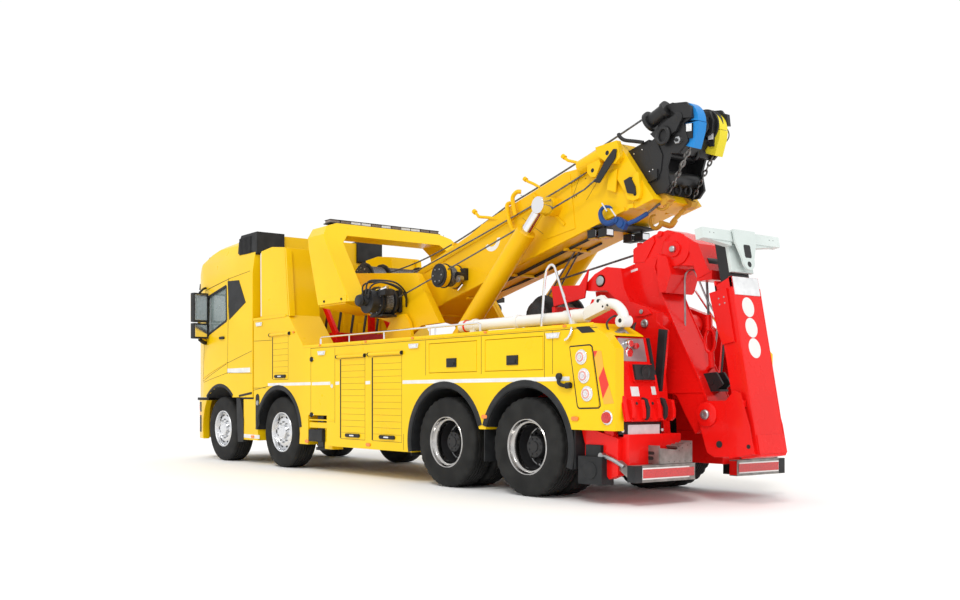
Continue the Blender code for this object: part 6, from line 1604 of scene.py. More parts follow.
head = Shape(BLACK)
head.side([on_boom(1.5, 0.165), on_boom(4.16, 0.165), on_boom(4.2, 0.3), on_boom(4.2, 0.745),
    on_boom(1.5, 0.745)], -0.29, 0.29)
cheek = [
    (-0.8, 3.69), (-0.935, 3.76), (-0.98, 3.9), (-1.06, 4.03), (-1.17, 4.066), (-1.33, 4.04), (-1.39, 3.96),
    (-1.405, 3.865),
    (-1.3, 3.832), (-1.352, 3.64), (-1.23, 3.54), (-1.13, 3.56), (-1.085, 3.43), (-1.12, 3.24), (-1.05, 3.165),
    (-0.9, 3.17), (-0.78, 3.23),
]
for sign in (-1.0, 1.0):
    head.side(cheek, 0.262 * sign, 0.292 * sign)
    head.side([(-0.86, 3.64), (-0.96, 3.74), (-1.04, 3.56), (-1.02, 3.4), (-0.96, 3.3)], 0.292 * sign,
        0.304 * sign)
    head.tube([(-0.895, 0.3 * sign, 3.938), (-1.11, 0.3 * sign, 4.022)], 0.074, 24)
    head.tube([(-0.868, 0.3 * sign, 3.928), (-0.905, 0.3 * sign, 3.942)], 0.112, 28)
    head.tube([(-1.075, 0.3 * sign, 4.008), (-1.112, 0.3 * sign, 4.023)], 0.09, 24)
    head.side([(-0.9, 3.8), (-1.18, 3.92), (-1.28, 3.84), (-1.23, 3.76), (-1.0, 3.7)], 0.292 * sign,
        0.33 * sign)
    head.side([(-1.08, 4.052), (-1.18, 4.064), (-1.395, 3.985), (-1.41, 3.86), (-1.3, 3.88), (-1.19, 3.96)],
        0.27 * sign, 0.318 * sign)
    head.disc((BOW[0] - 0.03, 0.3 * sign, BOW[1] + 0.03),
        [(0.0, 0.0), (0.06, 0.0), (0.06, 0.028), (0.03, 0.036), (0.0, 0.036)], 20, sign=sign)
    head.disc((BOW[0], 0.165 * sign, BOW[1]),
        [(0.0, -0.045), (0.186, -0.045), (0.19, -0.03), (0.16, -0.012), (0.16, 0.012), (0.19, 0.03),
        (0.186, 0.045), (0.0, 0.045)], 36)
    head.tube(seen_from_side((-1.082, 3.742), 0.07, 0.08, 28, 0.344 * sign), 0.021, 9, looped=True)
    # Inside each cheek's ring, a dark disc of painted shade; the rod after it is a dark rope guide.
    head.use(BLACK_MESH_AND_SHADE)
    head.disc((-1.082, 0.325 * sign, 3.742), [(0.0, 0.0), (0.062, 0.0), (0.062, 0.008), (0.0, 0.008)], 24,
        sign=sign)
    head.tube(curve([(-0.8, 0.312 * sign, 3.735), (-0.7, 0.33 * sign, 3.765), (-0.58, 0.35 * sign, 3.8),
        (-0.52, 0.36 * sign, 3.85), (-0.505, 0.362 * sign, 3.885)], 4), 0.02, 9)
    head.use(STEEL)
    head.disc((-1.24, 0.292 * sign, 3.668), [(0.0, 0.0), (0.04, 0.0), (0.04, 0.03), (0.02, 0.034), (0.0, 0.03)],
        6, sign=sign)
    head.use(BLACK)
    head.disc((-1.24, 0.3 * sign, 3.668), [(0.0, 0.02), (0.018, 0.02), (0.018, 0.042), (0.0, 0.042)], 14,
        sign=sign)
    head.side([(-0.865, 3.3), (-0.985, 3.325), (-0.985, 3.425), (-0.865, 3.405)], 0.292 * sign, 0.322 * sign)
    head.use(CHROME)
    for x, z in ((-0.868, 3.42), (-0.912, 3.432), (-0.958, 3.442), (-0.66, 3.644), (-0.77, 3.668)):
        head.rod((x, 0.289 * sign, z), (x, 0.3 * sign, z), 0.0085, 8)
    head.use(BLACK)

# %% [markdown]
# Between the cheeks lie the pieces that join them: a cross roller, the sheaves' shaft, a spreader and
# the small rings that the chains hang from. They go into the same shape, so the head stays one piece.

# %% Between the cheeks
head.rod((-1.0, -0.31, 3.345), (-1.0, 0.255, 3.345), 0.082, 26)
head.disc((-1.0, -0.31, 3.345), [(0.0, 0.0), (0.07, 0.0), (0.052, 0.03), (0.0, 0.036)], 24, sign=-1.0)
head.rod((BOW[0], -0.3, BOW[1]), (BOW[0], 0.3, BOW[1]), 0.048, 18)
head.side([(-1.12, 3.79), (-1.13, 4.0), (-1.18, 4.03), (-1.33, 4.0), (-1.372, 3.9), (-1.36, 3.78),
    (-1.23, 3.73)], -0.12, -0.075)
head.side([(-1.2, 3.8), (-1.21, 3.93), (-1.33, 3.94), (-1.33, 3.81)], -0.075, -0.02)
head.side([(-1.1, 3.56), (-1.12, 3.7), (-1.23, 3.76), (-1.3, 3.7), (-1.18, 3.56)], -0.262, 0.262)
head.rod((-0.985, -0.262, 3.6), (-0.985, 0.262, 3.6), 0.05, 16)
head.tube(seen_from_side((-1.17, 3.6), 0.04, 0.064, 22, -0.05), 0.017, 8, looped=True)
for x, z, y in ((-1.015, 3.225, 0.03), (-1.095, 3.212, -0.03)):
    head.tube(seen_from_side((x, z), 0.036, 0.046, 20, y), 0.014, 7, looped=True)
head.done("inner_boom_and_head", "boom_inner", bevel=0.005, segments=2)
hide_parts("boom_inner")

# %% [markdown]
# A bent guard covers each sheave, blue on the left and yellow on the right. Its outer edge is a bent
# band, so it is worked out as an arc whose radius grows, and a straight chute carries on below it.

# %% Sheave guards


def guard(name, y, made, forward, lower):
    """A bent plate beside and behind a sheave. Its outer edge is an arc from 66 degrees above the
    level to 8 below it, whose radius grows evenly from 203 to 243 mm; a tapered chute carries on down."""
    cover = Shape(made)
    cx, cz = BOW[0] + forward, BOW[1] - lower
    up = np.radians(np.linspace(66, -8, 12))
    reach = np.linspace(0.203, 0.243, 12)
    outer = np.column_stack([cx - reach * np.cos(up), cz + reach * np.sin(up)])
    cover.side(np.concatenate([outer,
        [(cx - 0.116, cz - 0.004), (cx - 0.104, cz + 0.095), (cx - 0.082, cz + 0.15)]]), y - 0.062, y + 0.062)
    cover.side([(cx - 0.006, cz - 0.024), (cx - 0.244, cz - 0.038), (cx - 0.235, cz - 0.118),
        (cx - 0.178, cz - 0.295), (cx - 0.067, cz - 0.25)], y - 0.064, y + 0.064)
    cover.use(TRIM)
    cover.side([(cx - 0.106, cz - 0.04), (cx - 0.182, cz - 0.048), (cx - 0.178, cz - 0.2),
        (cx - 0.116, cz - 0.192)], y + 0.064, y + 0.084)
    cover.use(LENS)
    cover.side([(cx - 0.11, cz - 0.046), (cx - 0.178, cz - 0.053), (cx - 0.177, cz - 0.13),
        (cx - 0.114, cz - 0.124)], y + 0.084, y + 0.092)
    cover.use(HOSE)
    cover.tube(curve([(cx - 0.16, y - 0.055, cz + 0.06), (cx - 0.23, y - 0.075, cz - 0.02),
        (cx - 0.24, y - 0.08, cz - 0.1), (cx - 0.185, y - 0.065, cz - 0.17)], 5), 0.0065, 6)
    return cover.done(name, "boom_inner", bevel=0.008, segments=2)


guard("head_guard_left", 0.2, BLUE, 0.0, 0.0)
guard("head_guard_right", -0.2, LEMON, 0.045, 0.02)

# %% [markdown]
# Chains, blocks and hooks hang from the head. A chain's link is an oval tube, and each link stands a
# quarter turn round from its neighbours. A hook is a bent bar that gets thinner to its tip, so it is
# a tube along a smooth route with a smaller radius at its end.

# %% Chains and hooks


def chain(shape, start, end, gauge, pitch=0.052):
    """Oval links, a pitch apart. Each is a ring of ten places: two thirds of a pitch long either way
    and a third of a pitch across, in one of two planes by turns."""
    first, span = np.array(start), np.subtract(end, start)
    aim = span / np.linalg.norm(span)
    side = np.array(Vector(aim).orthogonal().normalized())
    planes = (np.cross(aim, side), side)
    count = max(2, int(np.linalg.norm(span) / pitch))
    ring = circle_of(10) * (pitch * 0.66, pitch * 0.32)
    for k in range(count):
        link = first + span * (k + 0.5) / count + ring @ np.stack([aim, planes[k % 2]])
        shape.tube(link, gauge, 5, looped=True)


rigging = Shape(CHAIN)
chain(rigging, (-1.318, 0.215, 3.6), (-1.052, 0.215, 3.174), gauge=0.0085)
chain(rigging, (-1.362, 0.245, 3.6), (-1.092, 0.245, 3.174), gauge=0.0085)
chain(rigging, (-1.281, -0.2, 3.57), (-1.02, -0.2, 3.15), gauge=0.009)
rigging.use(HOOK)
rigging.side([(-0.946, 3.202), (-1.052, 3.143), (-1.091, 3.1), (-1.039, 3.08), (-0.946, 3.095),
    (-0.907, 3.134)], 0.155, 0.245)
rigging.side([(-0.959, 3.179), (-1.057, 3.12), (-1.038, 3.069), (-0.966, 3.053), (-0.893, 3.124)], -0.245,
    -0.155)
rigging.tube(curve([(-1.02, 0.2, 3.1), (-1.025, 0.2, 3.05), (-0.985, 0.2, 3.02), (-0.93, 0.2, 3.025),
    (-0.885, 0.2, 3.048)], 4), 0.024, 9, end_radius=0.01)
rigging.disc((-1.01, 0.15, 3.09), [(0.0, 0.0), (0.04, 0.0), (0.04, 0.1), (0.0, 0.1)], 16)
rigging.tube(curve([(-0.945, -0.2, 3.09), (-0.9, -0.15, 3.015), (-0.873, -0.1, 2.959), (-0.865, -0.06, 2.915)],
    4), 0.024, 9)
rigging.tube(curve([(-0.905, -0.07, 2.945), (-0.874, -0.04, 2.884), (-0.834, 0.0, 2.896), (-0.8, 0.03, 2.915)],
    4), 0.03, 9)
rigging.tube(curve([(-0.815, 0.04, 2.93), (-0.802, 0.05, 2.885), (-0.747, 0.05, 2.862), (-0.692, 0.05, 2.895),
    (-0.672, 0.05, 2.952), (-0.686, 0.05, 3.0), (-0.735, 0.05, 3.01)], 5), 0.027, 9, end_radius=0.012)
rigging.use(ROPE)
rigging.tube([(-0.955, 0.21, 3.094), (-0.818, 0.27, 2.991)], 0.014, 8)

# %% [markdown]
# The left line ends in a blue swivel hook with a chrome latch, clipped back under the collar.

# %% Blue hook
rigging.use(BLUE_HOOK)
rigging.tube(curve([(-0.822, 0.268, 2.994), (-0.733, 0.33, 2.933), (-0.648, 0.375, 2.898)], 5), 0.025, 10)
rigging.side([(-0.661, 2.905), (-0.619, 2.835), (-0.549, 2.867), (-0.485, 2.94), (-0.542, 2.985),
    (-0.619, 2.938)], 0.362, 0.418)
rigging.disc((-0.585, 0.35, 2.905), [(0.0, 0.0), (0.04, 0.0), (0.04, 0.08), (0.0, 0.08)], 18)
rigging.disc((-0.52, 0.372, 2.95), [(0.0, 0.0), (0.032, 0.0), (0.032, 0.06), (0.0, 0.06)], 16)
rigging.tube(curve([(-0.512, 0.405, 2.95), (-0.424, 0.41, 2.93), (-0.344, 0.41, 2.955), (-0.3, 0.41, 3.015),
    (-0.293, 0.41, 3.072), (-0.33, 0.41, 3.112), (-0.403, 0.41, 3.112), (-0.455, 0.41, 3.086)], 5), 0.036, 10,
    end_radius=0.013)
rigging.use(CHROME)
rigging.tube([(-0.334, 0.43, 3.157), (-0.406, 0.43, 3.058)], 0.009, 7)
rigging.tube([(-0.457, 0.43, 3.08), (-0.528, 0.425, 2.986)], 0.009, 7)
rigging.use(HOOK)
for x, z in ((-0.1, 2.815), (-0.262, 2.808)):
    rigging.box((x - 0.05, 0.24, z - 0.008), (x + 0.05, 0.34, z + 0.004))
rigging.done("head_chains_and_hooks", "boom_inner")

# %% [markdown] Ropes run from the drums to the head. The others ride the boom alone. A taut rope
# still dips a little, as a shallow parabola.

# %% Ropes along the boom


def rope(name, route, radius, near, far=None, start=None, end=None):
    """A round rope that rides one body, or rides none and stays where it is made when a far body is given. start
    and end are not used.
    """
    made = Shape(ROPE)
    made.tube(route, radius, 8)
    piece = made.done(name, None if far else near)
    if far:
        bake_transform(piece)
    return piece


def sagging(start, end, sag, count=18):
    """A taut rope's route between two points: a straight line, lowered by the sag at its middle and by
    four times the sag times the shares to either side elsewhere."""
    share = np.linspace(0.0, 1.0, count + 1)[:, None]
    return np.array(start) + np.subtract(end, start) * share - (0.0, 0.0, sag) * (4 * share * (1 - share))


for name, y, end_y in (("rope_top", 0.16, 0.3), ("rope_top_right", -0.3, -0.3)):
    knee, tip = (1.45, math.copysign(0.2, y), 3.42), (-0.93, end_y, 4.03)
    route = np.concatenate([sagging((4.02, y, 2.86), knee, 0.1), sagging(knee, tip, 0.02)[1:]])
    rope(name, route, 0.011, "boom", "boom_inner", knee, (-0.7, end_y, 3.98))
upper_end = [(0.0, 0.375, 3.53), (-0.26, 0.37, 3.66)]
rope("rope_flank_upper", np.concatenate([sagging((4.02, 0.4, 2.55), (0.36, 0.395, 3.415), 0.02), upper_end]),
    0.01, "boom")
for name, sign in (("rope_flank_middle", 1.0), ("rope_flank_right", -1.0)):
    route = sagging((3.36, 0.72 * sign, 2.3), (-0.1, 0.45 * sign, 3.345), 0.01)
    rope(name, np.concatenate([route, [(-0.3, 0.468 * sign, 3.43)]]), 0.01, "boom")
for name, sign, z in (("rope_drag_left", 1.0, 2.895), ("rope_drag_right", -1.0, 2.87)):
    start, end = (0.93, 0.06 * sign, 2.2), (0.345, 0.02 * sign, z)
    rope(name, sagging(start, end, 0.0), 0.01, "chassis", "boom", start, end)
rope("rope_under_boom", [(0.345, 0.0, 2.89), (0.07, 0.06, 2.925), (-0.28, 0.23, 2.93)], 0.01, "boom")

# %% [markdown]
# At the tail the red underlift folds up behind the truck. Its arm pivots between two cheek plates,
# each with a pin head that a keeper stops from turning. Pin heads are turned parts, and the keeper
# and cheeks are plates.

# %% Arm pins and cheeks
CHEEK_Y = 0.447
steel_pin = [(0.0, 0.0), (0.046, 0.0), (0.046, 0.014), (0.036, 0.024), (0.016, 0.024), (0.014, 0.018),
    (0.0, 0.018)]
pins = Shape(STEEL)
for sign in (-1.0, 1.0):
    pins.disc((-0.937, 0.445 * sign, 1.821), steel_pin, 20, sign=sign)
    pins.use(RED)
    pins.side([(-0.8, 1.985), (-0.98, 1.975), (-1.03, 1.915), (-0.93, 1.895), (-0.82, 1.9)], 0.445 * sign,
        0.462 * sign)
    pins.side([(-0.98, 1.93), (-1.12, 1.8), (-1.225, 1.735), (-1.165, 1.105), (-1.06, 1.06), (-0.98, 1.2)],
        0.415 * sign, CHEEK_Y * sign)
    pins.use(TRIM)
    pins.side([(-1.136, 1.754), (-1.232, 1.74), (-1.164, 1.119), (-1.078, 1.128)], CHEEK_Y * sign, 0.48 * sign)
    pins.use(STEEL)
    pins.disc((-0.905, 0.462 * sign, 1.945), [(0.0, 0.0), (0.024, 0.0), (0.024, 0.012), (0.0, 0.012)], 12,
        sign=sign)
pins.done("arm_pin_heads", "chassis", bevel=0.003)

# %% [markdown]
# The arm itself is a narrow welded box that widens to a fork at its tip. A sheave hood sits on its
# back, and a rope with a red eye and hook hangs inside. The model's solid is a plain arm, and this
# closer one takes its place. The box is one outline swept across, with strips along its edges that
# show how the plates meet.

# %% Lift arm, rope eye and hook
ARM_HALF = 0.17
TIP_HALF = 0.325
arm = Shape(RED)
box_line = [
    (-0.395, 2.455), (-0.556, 2.493), (-0.785, 2.549), (-0.863, 2.526), (-0.83, 2.431), (-0.919, 2.156),
    (-1.006, 1.973), (-1.22, 1.56),
    (-1.407, 1.229), (-1.508, 1.008), (-1.488, 0.788), (-1.345, 0.69), (-1.22, 0.886), (-1.114, 1.076),
    (-0.963, 1.12), (-0.78, 1.52), (-0.6, 1.96), (-0.45, 2.06),
]
arm.side(box_line, -ARM_HALF, ARM_HALF)
arm.side([(-0.56, 2.4), (-0.54, 2.66), (-0.81, 2.774), (-0.99, 2.804), (-1.16, 2.746), (-1.37, 2.616),
    (-1.47, 2.383), (-1.52, 2.31), (-1.37, 2.256), (-1.31, 2.4), (-1.08, 2.425), (-0.98, 2.3)], -0.16, 0.16)
arm.side([(-0.9, 2.56), (-1.02, 2.52), (-1.085, 2.33), (-1.01, 2.145), (-0.93, 2.155), (-0.9, 2.3)], -0.215,
    0.215)
arm.rod((-0.93, -0.33, 1.83), (-0.93, 0.33, 1.83), 0.12, 28)
arm.rod((-0.215, -TIP_HALF, 2.335), (-0.215, TIP_HALF, 2.335), 0.07, 24)
for sign in (-1.0, 1.0):
    arm.side([(0.085, 2.262), (-0.13, 2.419), (-0.302, 2.48), (-0.505, 2.446), (-0.545, 2.234), (-0.668, 2.008),
        (-0.446, 2.11), (-0.3, 2.225), (-0.06, 2.235)], 0.11 * sign, TIP_HALF * sign)
    arm.side([(-0.84, 2.431), (-0.929, 2.156), (-1.016, 1.973), (-1.23, 1.56), (-1.417, 1.229), (-1.512, 1.01),
        (-1.485, 1.01), (-1.385, 1.235), (-1.195, 1.57), (-0.98, 1.985), (-0.895, 2.165), (-0.805, 2.431)],
        (ARM_HALF - 0.002) * sign, (ARM_HALF + 0.012) * sign)
    arm.side([(-0.395, 2.43), (-0.556, 2.468), (-0.556, 2.493), (-0.395, 2.455)], (ARM_HALF - 0.002) * sign,
        (ARM_HALF + 0.008) * sign)
    arm.side([(-0.963, 1.12), (-1.44, 1.13), (-1.45, 1.108), (-0.97, 1.098)], (ARM_HALF - 0.002) * sign,
        (ARM_HALF + 0.01) * sign)
    arm.use(STEEL)
    arm.disc((-0.215, 0.325 * sign, 2.335),
        [(0.0, 0.0), (0.055, 0.0), (0.055, 0.012), (0.04, 0.02), (0.0, 0.02)], 22, sign=sign)
    arm.disc((-1.098, 0.2 * sign, 2.588),
        [(0.0, 0.0), (0.034, 0.0), (0.034, 0.03), (0.026, 0.038), (0.0, 0.038)], 16, sign=sign)
    arm.use(RED)
    arm.disc((-1.098, 0.158 * sign, 2.588),
        [(0.0, 0.0), (0.175, 0.0), (0.175, 0.016), (0.166, 0.022), (0.08, 0.024), (0.076, 0.046), (0.0, 0.046)],
        36, sign=sign)
    arm.side([(-1.215, 2.7), (-1.375, 2.62), (-1.475, 2.395), (-1.525, 2.31), (-1.385, 2.262), (-1.32, 2.41)],
        0.158 * sign, 0.172 * sign)
    arm.side([(-0.545, 2.505), (-0.545, 2.655), (-0.81, 2.765), (-0.83, 2.7), (-0.7, 2.5)], 0.158 * sign,
        0.175 * sign)
    arm.side([(-1.04, 2.49), (-1.085, 2.34), (-1.02, 2.16), (-0.99, 2.16), (-1.05, 2.345), (-1.01, 2.48)],
        0.213 * sign, 0.226 * sign)

# %% [markdown]
# On the arm's back a ridged tongue and an eye take the rope from the deck. Inside its fork hang the
# rope, a hose loop and the red hook.

# %% Arm tongue, rope and hook
arm.box((-1.36, -0.165, 2.235), (-1.54, 0.165, 2.33))
for k, radius in enumerate((0.06, 0.046, 0.06, 0.046, 0.06)):
    x = -0.5 - 0.06 * k
    arm.tube([(x, 0.0, 2.665 + 0.018 * k), (x - 0.058, 0.0, 2.682 + 0.018 * k)], radius, 16)
arm.tube(seen_from_side((-0.455, 2.655), 0.045, 0.038, 20), 0.016, 7, looped=True)
arm.box((-0.53, -0.1, 2.58), (-0.57, 0.1, 2.73))
arm.rod((-0.9, -0.18, 2.775), (-0.9, 0.18, 2.775), 0.03, 12)
arm.use(BLACK)
arm.rod((-1.4, -0.1, 2.42), (-1.4, 0.1, 2.42), 0.06, 20)
for y in (0.06, -0.06):
    arm.side([(-1.296, 1.275), (-1.358, 1.3), (-1.52, 1.315), (-1.599, 1.195), (-1.52, 1.12), (-1.358, 1.111)],
        y - 0.012, y + 0.012)
arm.box((-1.3, -0.07, 1.118), (-1.56, 0.07, 1.14))
arm.rod((-1.47, -0.08, 1.215), (-1.47, 0.08, 1.215), 0.028, 12)
arm.use(PLATE)
arm.side([(-0.475, 2.425), (-0.6, 2.448), (-0.605, 2.422), (-0.48, 2.4)], ARM_HALF, ARM_HALF + 0.003)
arm.use(ROPE)
arm.tube([(-1.35, 0.0, 2.42), (-1.352, 0.0, 2.3), (-1.376, 0.0, 1.88)], 0.013, 8)
arm.use(STEEL)
arm.tube(curve([(-1.085, 0.0, 1.7), (-1.085, 0.0, 1.87), (-1.082, 0.0, 2.276), (-1.106, 0.0, 2.362),
    (-1.17, 0.0, 2.381), (-1.223, 0.0, 2.332), (-1.358, 0.0, 2.06), (-1.48, 0.0, 1.845), (-1.46, 0.0, 1.6)], 5),
    0.01, 8)
arm.use(RED)
arm.tube([(-1.374, 0.0, 1.9), (-1.38, 0.0, 1.74)], 0.03, 14)
arm.tube(seen_from_side((-1.395, 1.635), 0.062, 0.12, 28), 0.016, 9, looped=True)
arm.tube([(-1.405, 0.0, 1.52), (-1.415, 0.0, 1.36)], 0.03, 10)
arm.tube(curve([(-1.415, 0.0, 1.38), (-1.36, 0.0, 1.33), (-1.37, 0.0, 1.25), (-1.44, 0.0, 1.215),
    (-1.5, 0.0, 1.25)], 5), 0.026, 9, end_radius=0.012)
arm.done("lift_arm_and_hook", "lift_arm", bevel=0.005, segments=2)
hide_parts("lift_arm")

# %% [markdown]
# The arm's rope comes from the drag winch on the deck, so it rides neither body and stays where it is made.

# %% Rope to the arm
tail_rope = Shape(ROPE)
tail_rope.tube(sagging((0.72, 0.0, 2.46), (-0.455, 0.0, 2.625), 0.0), 0.012, 8)
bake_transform(tail_rope.done("rope_to_arm"))

# %% [markdown]
# The mast is a tall red box that leans a little backwards, with the grey crossbar on top. What is
# fixed to it is given in its own measures: how far up the mast, how far ahead of its rear face, and
# y.

# %% Plates on the mast
MAST_ROOT = (-2.114, 0.5)
MAST_TILT = math.radians(10.3)
MAST_SIDE = 0.214
MAST_TALL = 1.64 / math.cos(MAST_TILT)


def on_mast(u, v):
    """Station and height of a point u up the mast and v ahead of its rear face."""
    return (MAST_ROOT[0] + u * math.sin(MAST_TILT) + v * math.cos(MAST_TILT),
        MAST_ROOT[1] + u * math.cos(MAST_TILT) - v * math.sin(MAST_TILT))


def rear_plate(shape, outline, v0, v1):
    """A (y, u) outline swept from one distance ahead of the mast's rear face to another."""
    y, u = np.asarray(outline, dtype=float).T
    ends = [on_mast(u, v) for v in (v0, v1)]
    return shape.rings([np.column_stack([x + SHIFT, y, z]) for x, z in ends])


def up_mast(z):
    """Distance up the mast of a height on its rear face."""
    return (z - MAST_ROOT[1]) / math.cos(MAST_TILT)


def round_plate(cy, cu, half_y, half_u, count=28):
    """An oval outline in (y, u)."""
    return circle_of(count) * (half_y, half_u) + (cy, cu)


DISC_HEIGHTS = (1.943, 1.74, 1.539)
tall = Shape(RED)
for sign in (-1.0, 1.0):
    edge = [on_mast(0.02, 0.0), on_mast(MAST_TALL, 0.0), on_mast(MAST_TALL, 0.04), on_mast(0.02, 0.04)]
    tall.side(edge, MAST_SIDE * sign, 0.224 * sign)
    tall.side([on_mast(MAST_TALL, 0.06), on_mast(MAST_TALL, 0.26), on_mast(1.28, 0.232), on_mast(1.13, 0.2),
        on_mast(1.13, 0.06)], MAST_SIDE * sign, 0.236 * sign)
    tall.side([on_mast(0.03, 0.02), on_mast(0.3, 0.02), on_mast(0.62, 0.06), on_mast(0.66, 0.13),
        on_mast(0.58, 0.24), on_mast(0.02, 0.3)], 0.258 * sign, 0.266 * sign)
    for z, v in ((1.1, 0.12), (1.42, 0.12)):
        u = up_mast(z)
        tall.side([on_mast(u - 0.07, v), on_mast(u + 0.07, v - 0.02), on_mast(u + 0.06, v - 0.035),
            on_mast(u - 0.06, v - 0.015)], MAST_SIDE * sign, 0.219 * sign)
    x, z = on_mast(up_mast(1.02), 0.1)
    tall.box((x - 0.055, MAST_SIDE * sign, z - 0.035), (x + 0.055, 0.262 * sign, z + 0.03))
    # Holes in the mast's side: discs of painted shade.
    tall.use(OPENING_SHADOW)
    for x, z, radius in ((-1.7, 0.6, 0.034), (-2.03, 0.59, 0.022)):
        tall.rod((x, 0.26 * sign, z), (x, 0.2672 * sign, z), radius, 18)
    tall.use(RED)
    tall.disc((-1.56, 0.26 * sign, 0.89), [(0.0, 0.0), (0.12, 0.0), (0.12, 0.022), (0.108, 0.03), (0.0, 0.03)],
        36, sign=sign)
    tall.use(STEEL)
    tall.disc((-1.56, 0.2605 * sign, 0.89),
        [(0.0, 0.0), (0.05, 0.0), (0.05, 0.05), (0.04, 0.06), (0.016, 0.06), (0.014, 0.052), (0.0, 0.052)], 22,
        sign=sign)
    for dx, dz in ((-0.03, 0.03), (0.03, 0.03), (-0.03, -0.03), (0.03, -0.03)):
        x, z = on_mast(up_mast(2.03) + dz, 0.13 + dx)
        tall.rod((x, 0.234 * sign, z), (x, 0.2375 * sign, z), 0.009, 8)
    tall.use(RED)

# %% [markdown]
# The mast's rear face carries three plain discs and a plate, below a boxed cap.

# %% Mast cap, discs and plate
for z in (1.76, 0.98):
    x, zz = on_mast(up_mast(z), 0.1)
    tall.box((x - 0.04, -0.214, zz - 0.035), (x + 0.04, -0.268, zz + 0.035))
rear_plate(tall, [(-0.213, 0.02), (0.213, 0.02), (0.213, 0.205), (-0.213, 0.205)], -0.01, 0.002)
rear_plate(tall, [(-0.19, -0.004), (0.19, -0.004), (0.213, 0.02), (-0.213, 0.02)], -0.006, 0.15)
CAP = MAST_TALL + 0.105
rear_plate(tall, [(-0.213, MAST_TALL - 0.01), (0.213, MAST_TALL - 0.01), (0.213, CAP), (-0.213, CAP)], 0.0,
    0.03)
rear_plate(tall, [(-0.213, MAST_TALL - 0.01), (0.213, MAST_TALL - 0.01), (0.213, CAP), (-0.213, CAP)], 0.178,
    0.202)
for sign in (-1.0, 1.0):
    tall.side([on_mast(MAST_TALL - 0.01, 0.0), on_mast(CAP, 0.0), on_mast(CAP - 0.05, 0.202),
        on_mast(MAST_TALL - 0.01, 0.202)], 0.19 * sign, 0.213 * sign)
tall.use(WHITE)
for z in DISC_HEIGHTS:
    rear_plate(tall, round_plate(0.02, up_mast(z), 0.092, 0.1), -0.0025, 0.001)
tall.use(PLATE)
rear_plate(tall, [(-0.198, up_mast(2.062)), (0.198, up_mast(2.062)), (0.198, CAP - 0.004),
    (-0.198, CAP - 0.004)], -0.008, 0.004)
tall.done("mast_plates", "mast", bevel=0.004)

# %% [markdown]
# The crossbar is a grey tee with a rounded tongue below it. Its outline is put together from straight
# corners and one arc, and swept across the mast's own rear face so that it leans as the mast does.

# %% Crossbar plate
STINGER_TOP = MAST_TALL + 0.555
tee = Shape(GREYBAR)
tip = up_mast(2.385)
shoulder = np.array([(0.17, STINGER_TOP + 0.006), (0.165, STINGER_TOP - 0.12), (0.092, tip + 0.02)])
tongue = arc(0.0, tip, 0.092, -12, -168, 10)
rear_plate(tee, np.concatenate([shoulder, tongue, shoulder[::-1] * (-1.0, 1.0)]), -0.078, -0.056)
rear_plate(tee, [(-0.168, STINGER_TOP - 0.014), (0.168, STINGER_TOP - 0.014), (0.168, STINGER_TOP + 0.006),
    (-0.168, STINGER_TOP + 0.006)], -0.06, 0.045)
tee.use(BLACK_MESH_AND_SHADE)
rear_plate(tee, [(-0.042, up_mast(2.545)), (0.042, up_mast(2.545)), (0.052, up_mast(2.53)),
    (0.052, up_mast(2.43)), (0.042, up_mast(2.415)), (-0.042, up_mast(2.415)), (-0.052, up_mast(2.43)),
    (-0.052, up_mast(2.53))], -0.081, -0.077)
rear_plate(tee, arc(0.0, tip - 0.035, 0.03, 0, 345, 16), -0.0795, -0.077)
tee.use(GREYBAR)
for sign in (-1.0, 1.0):
    rear_plate(tee, [(0.17 * sign, STINGER_TOP - 0.15), (0.17 * sign, STINGER_TOP - 0.105),
        (0.58 * sign, STINGER_TOP - 0.105)], -0.035, 0.03)
    rear_plate(tee, [(0.595 * sign, STINGER_TOP - 0.108), (0.608 * sign, STINGER_TOP - 0.108),
        (0.608 * sign, STINGER_TOP - 0.002), (0.595 * sign, STINGER_TOP - 0.002)], -0.045, 0.042)
# Holes in the crossbar: discs of painted shade.
tee.use(OPENING_SHADOW)
for y in (0.5, 0.44, -0.5, -0.44):
    x, z = on_mast(STINGER_TOP - 0.055, -0.043)
    tee.rod((x - 0.002, y, z), (x + 0.004, y, z), 0.013, 10)
tee.done("crossbar_plate", "crossbar", bevel=0.003)

# %% [markdown]
# The red cabinets at the rear lean forwards, and switches, couplings, a chequered plate and a gauge
# are fixed to their slanted face. Each fitting is an outline in (y, z), and the face's own slope
# gives its depth, so that nothing floats or sinks.

# %% Cabinet fittings


def cabinet_x(z):
    """Station of the cabinets' slanted rear face at a height."""
    return -1.11 - (1.66 - z) * 0.2222


def on_cabinet(shape, outline, proud, sink=0.004, sign=1.0):
    """A (y, z) outline laid on a cabinet's slanted face."""
    y, z = np.asarray(outline, dtype=float).T
    return shape.rings([np.column_stack([cabinet_x(z) - d + SHIFT, y * sign, z]) for d in (-sink, proud)])


def oblong(y0, y1, z0, z1):
    """A rectangle between two sides and two heights."""
    return [(y0, z0), (y1, z0), (y1, z1), (y0, z1)]


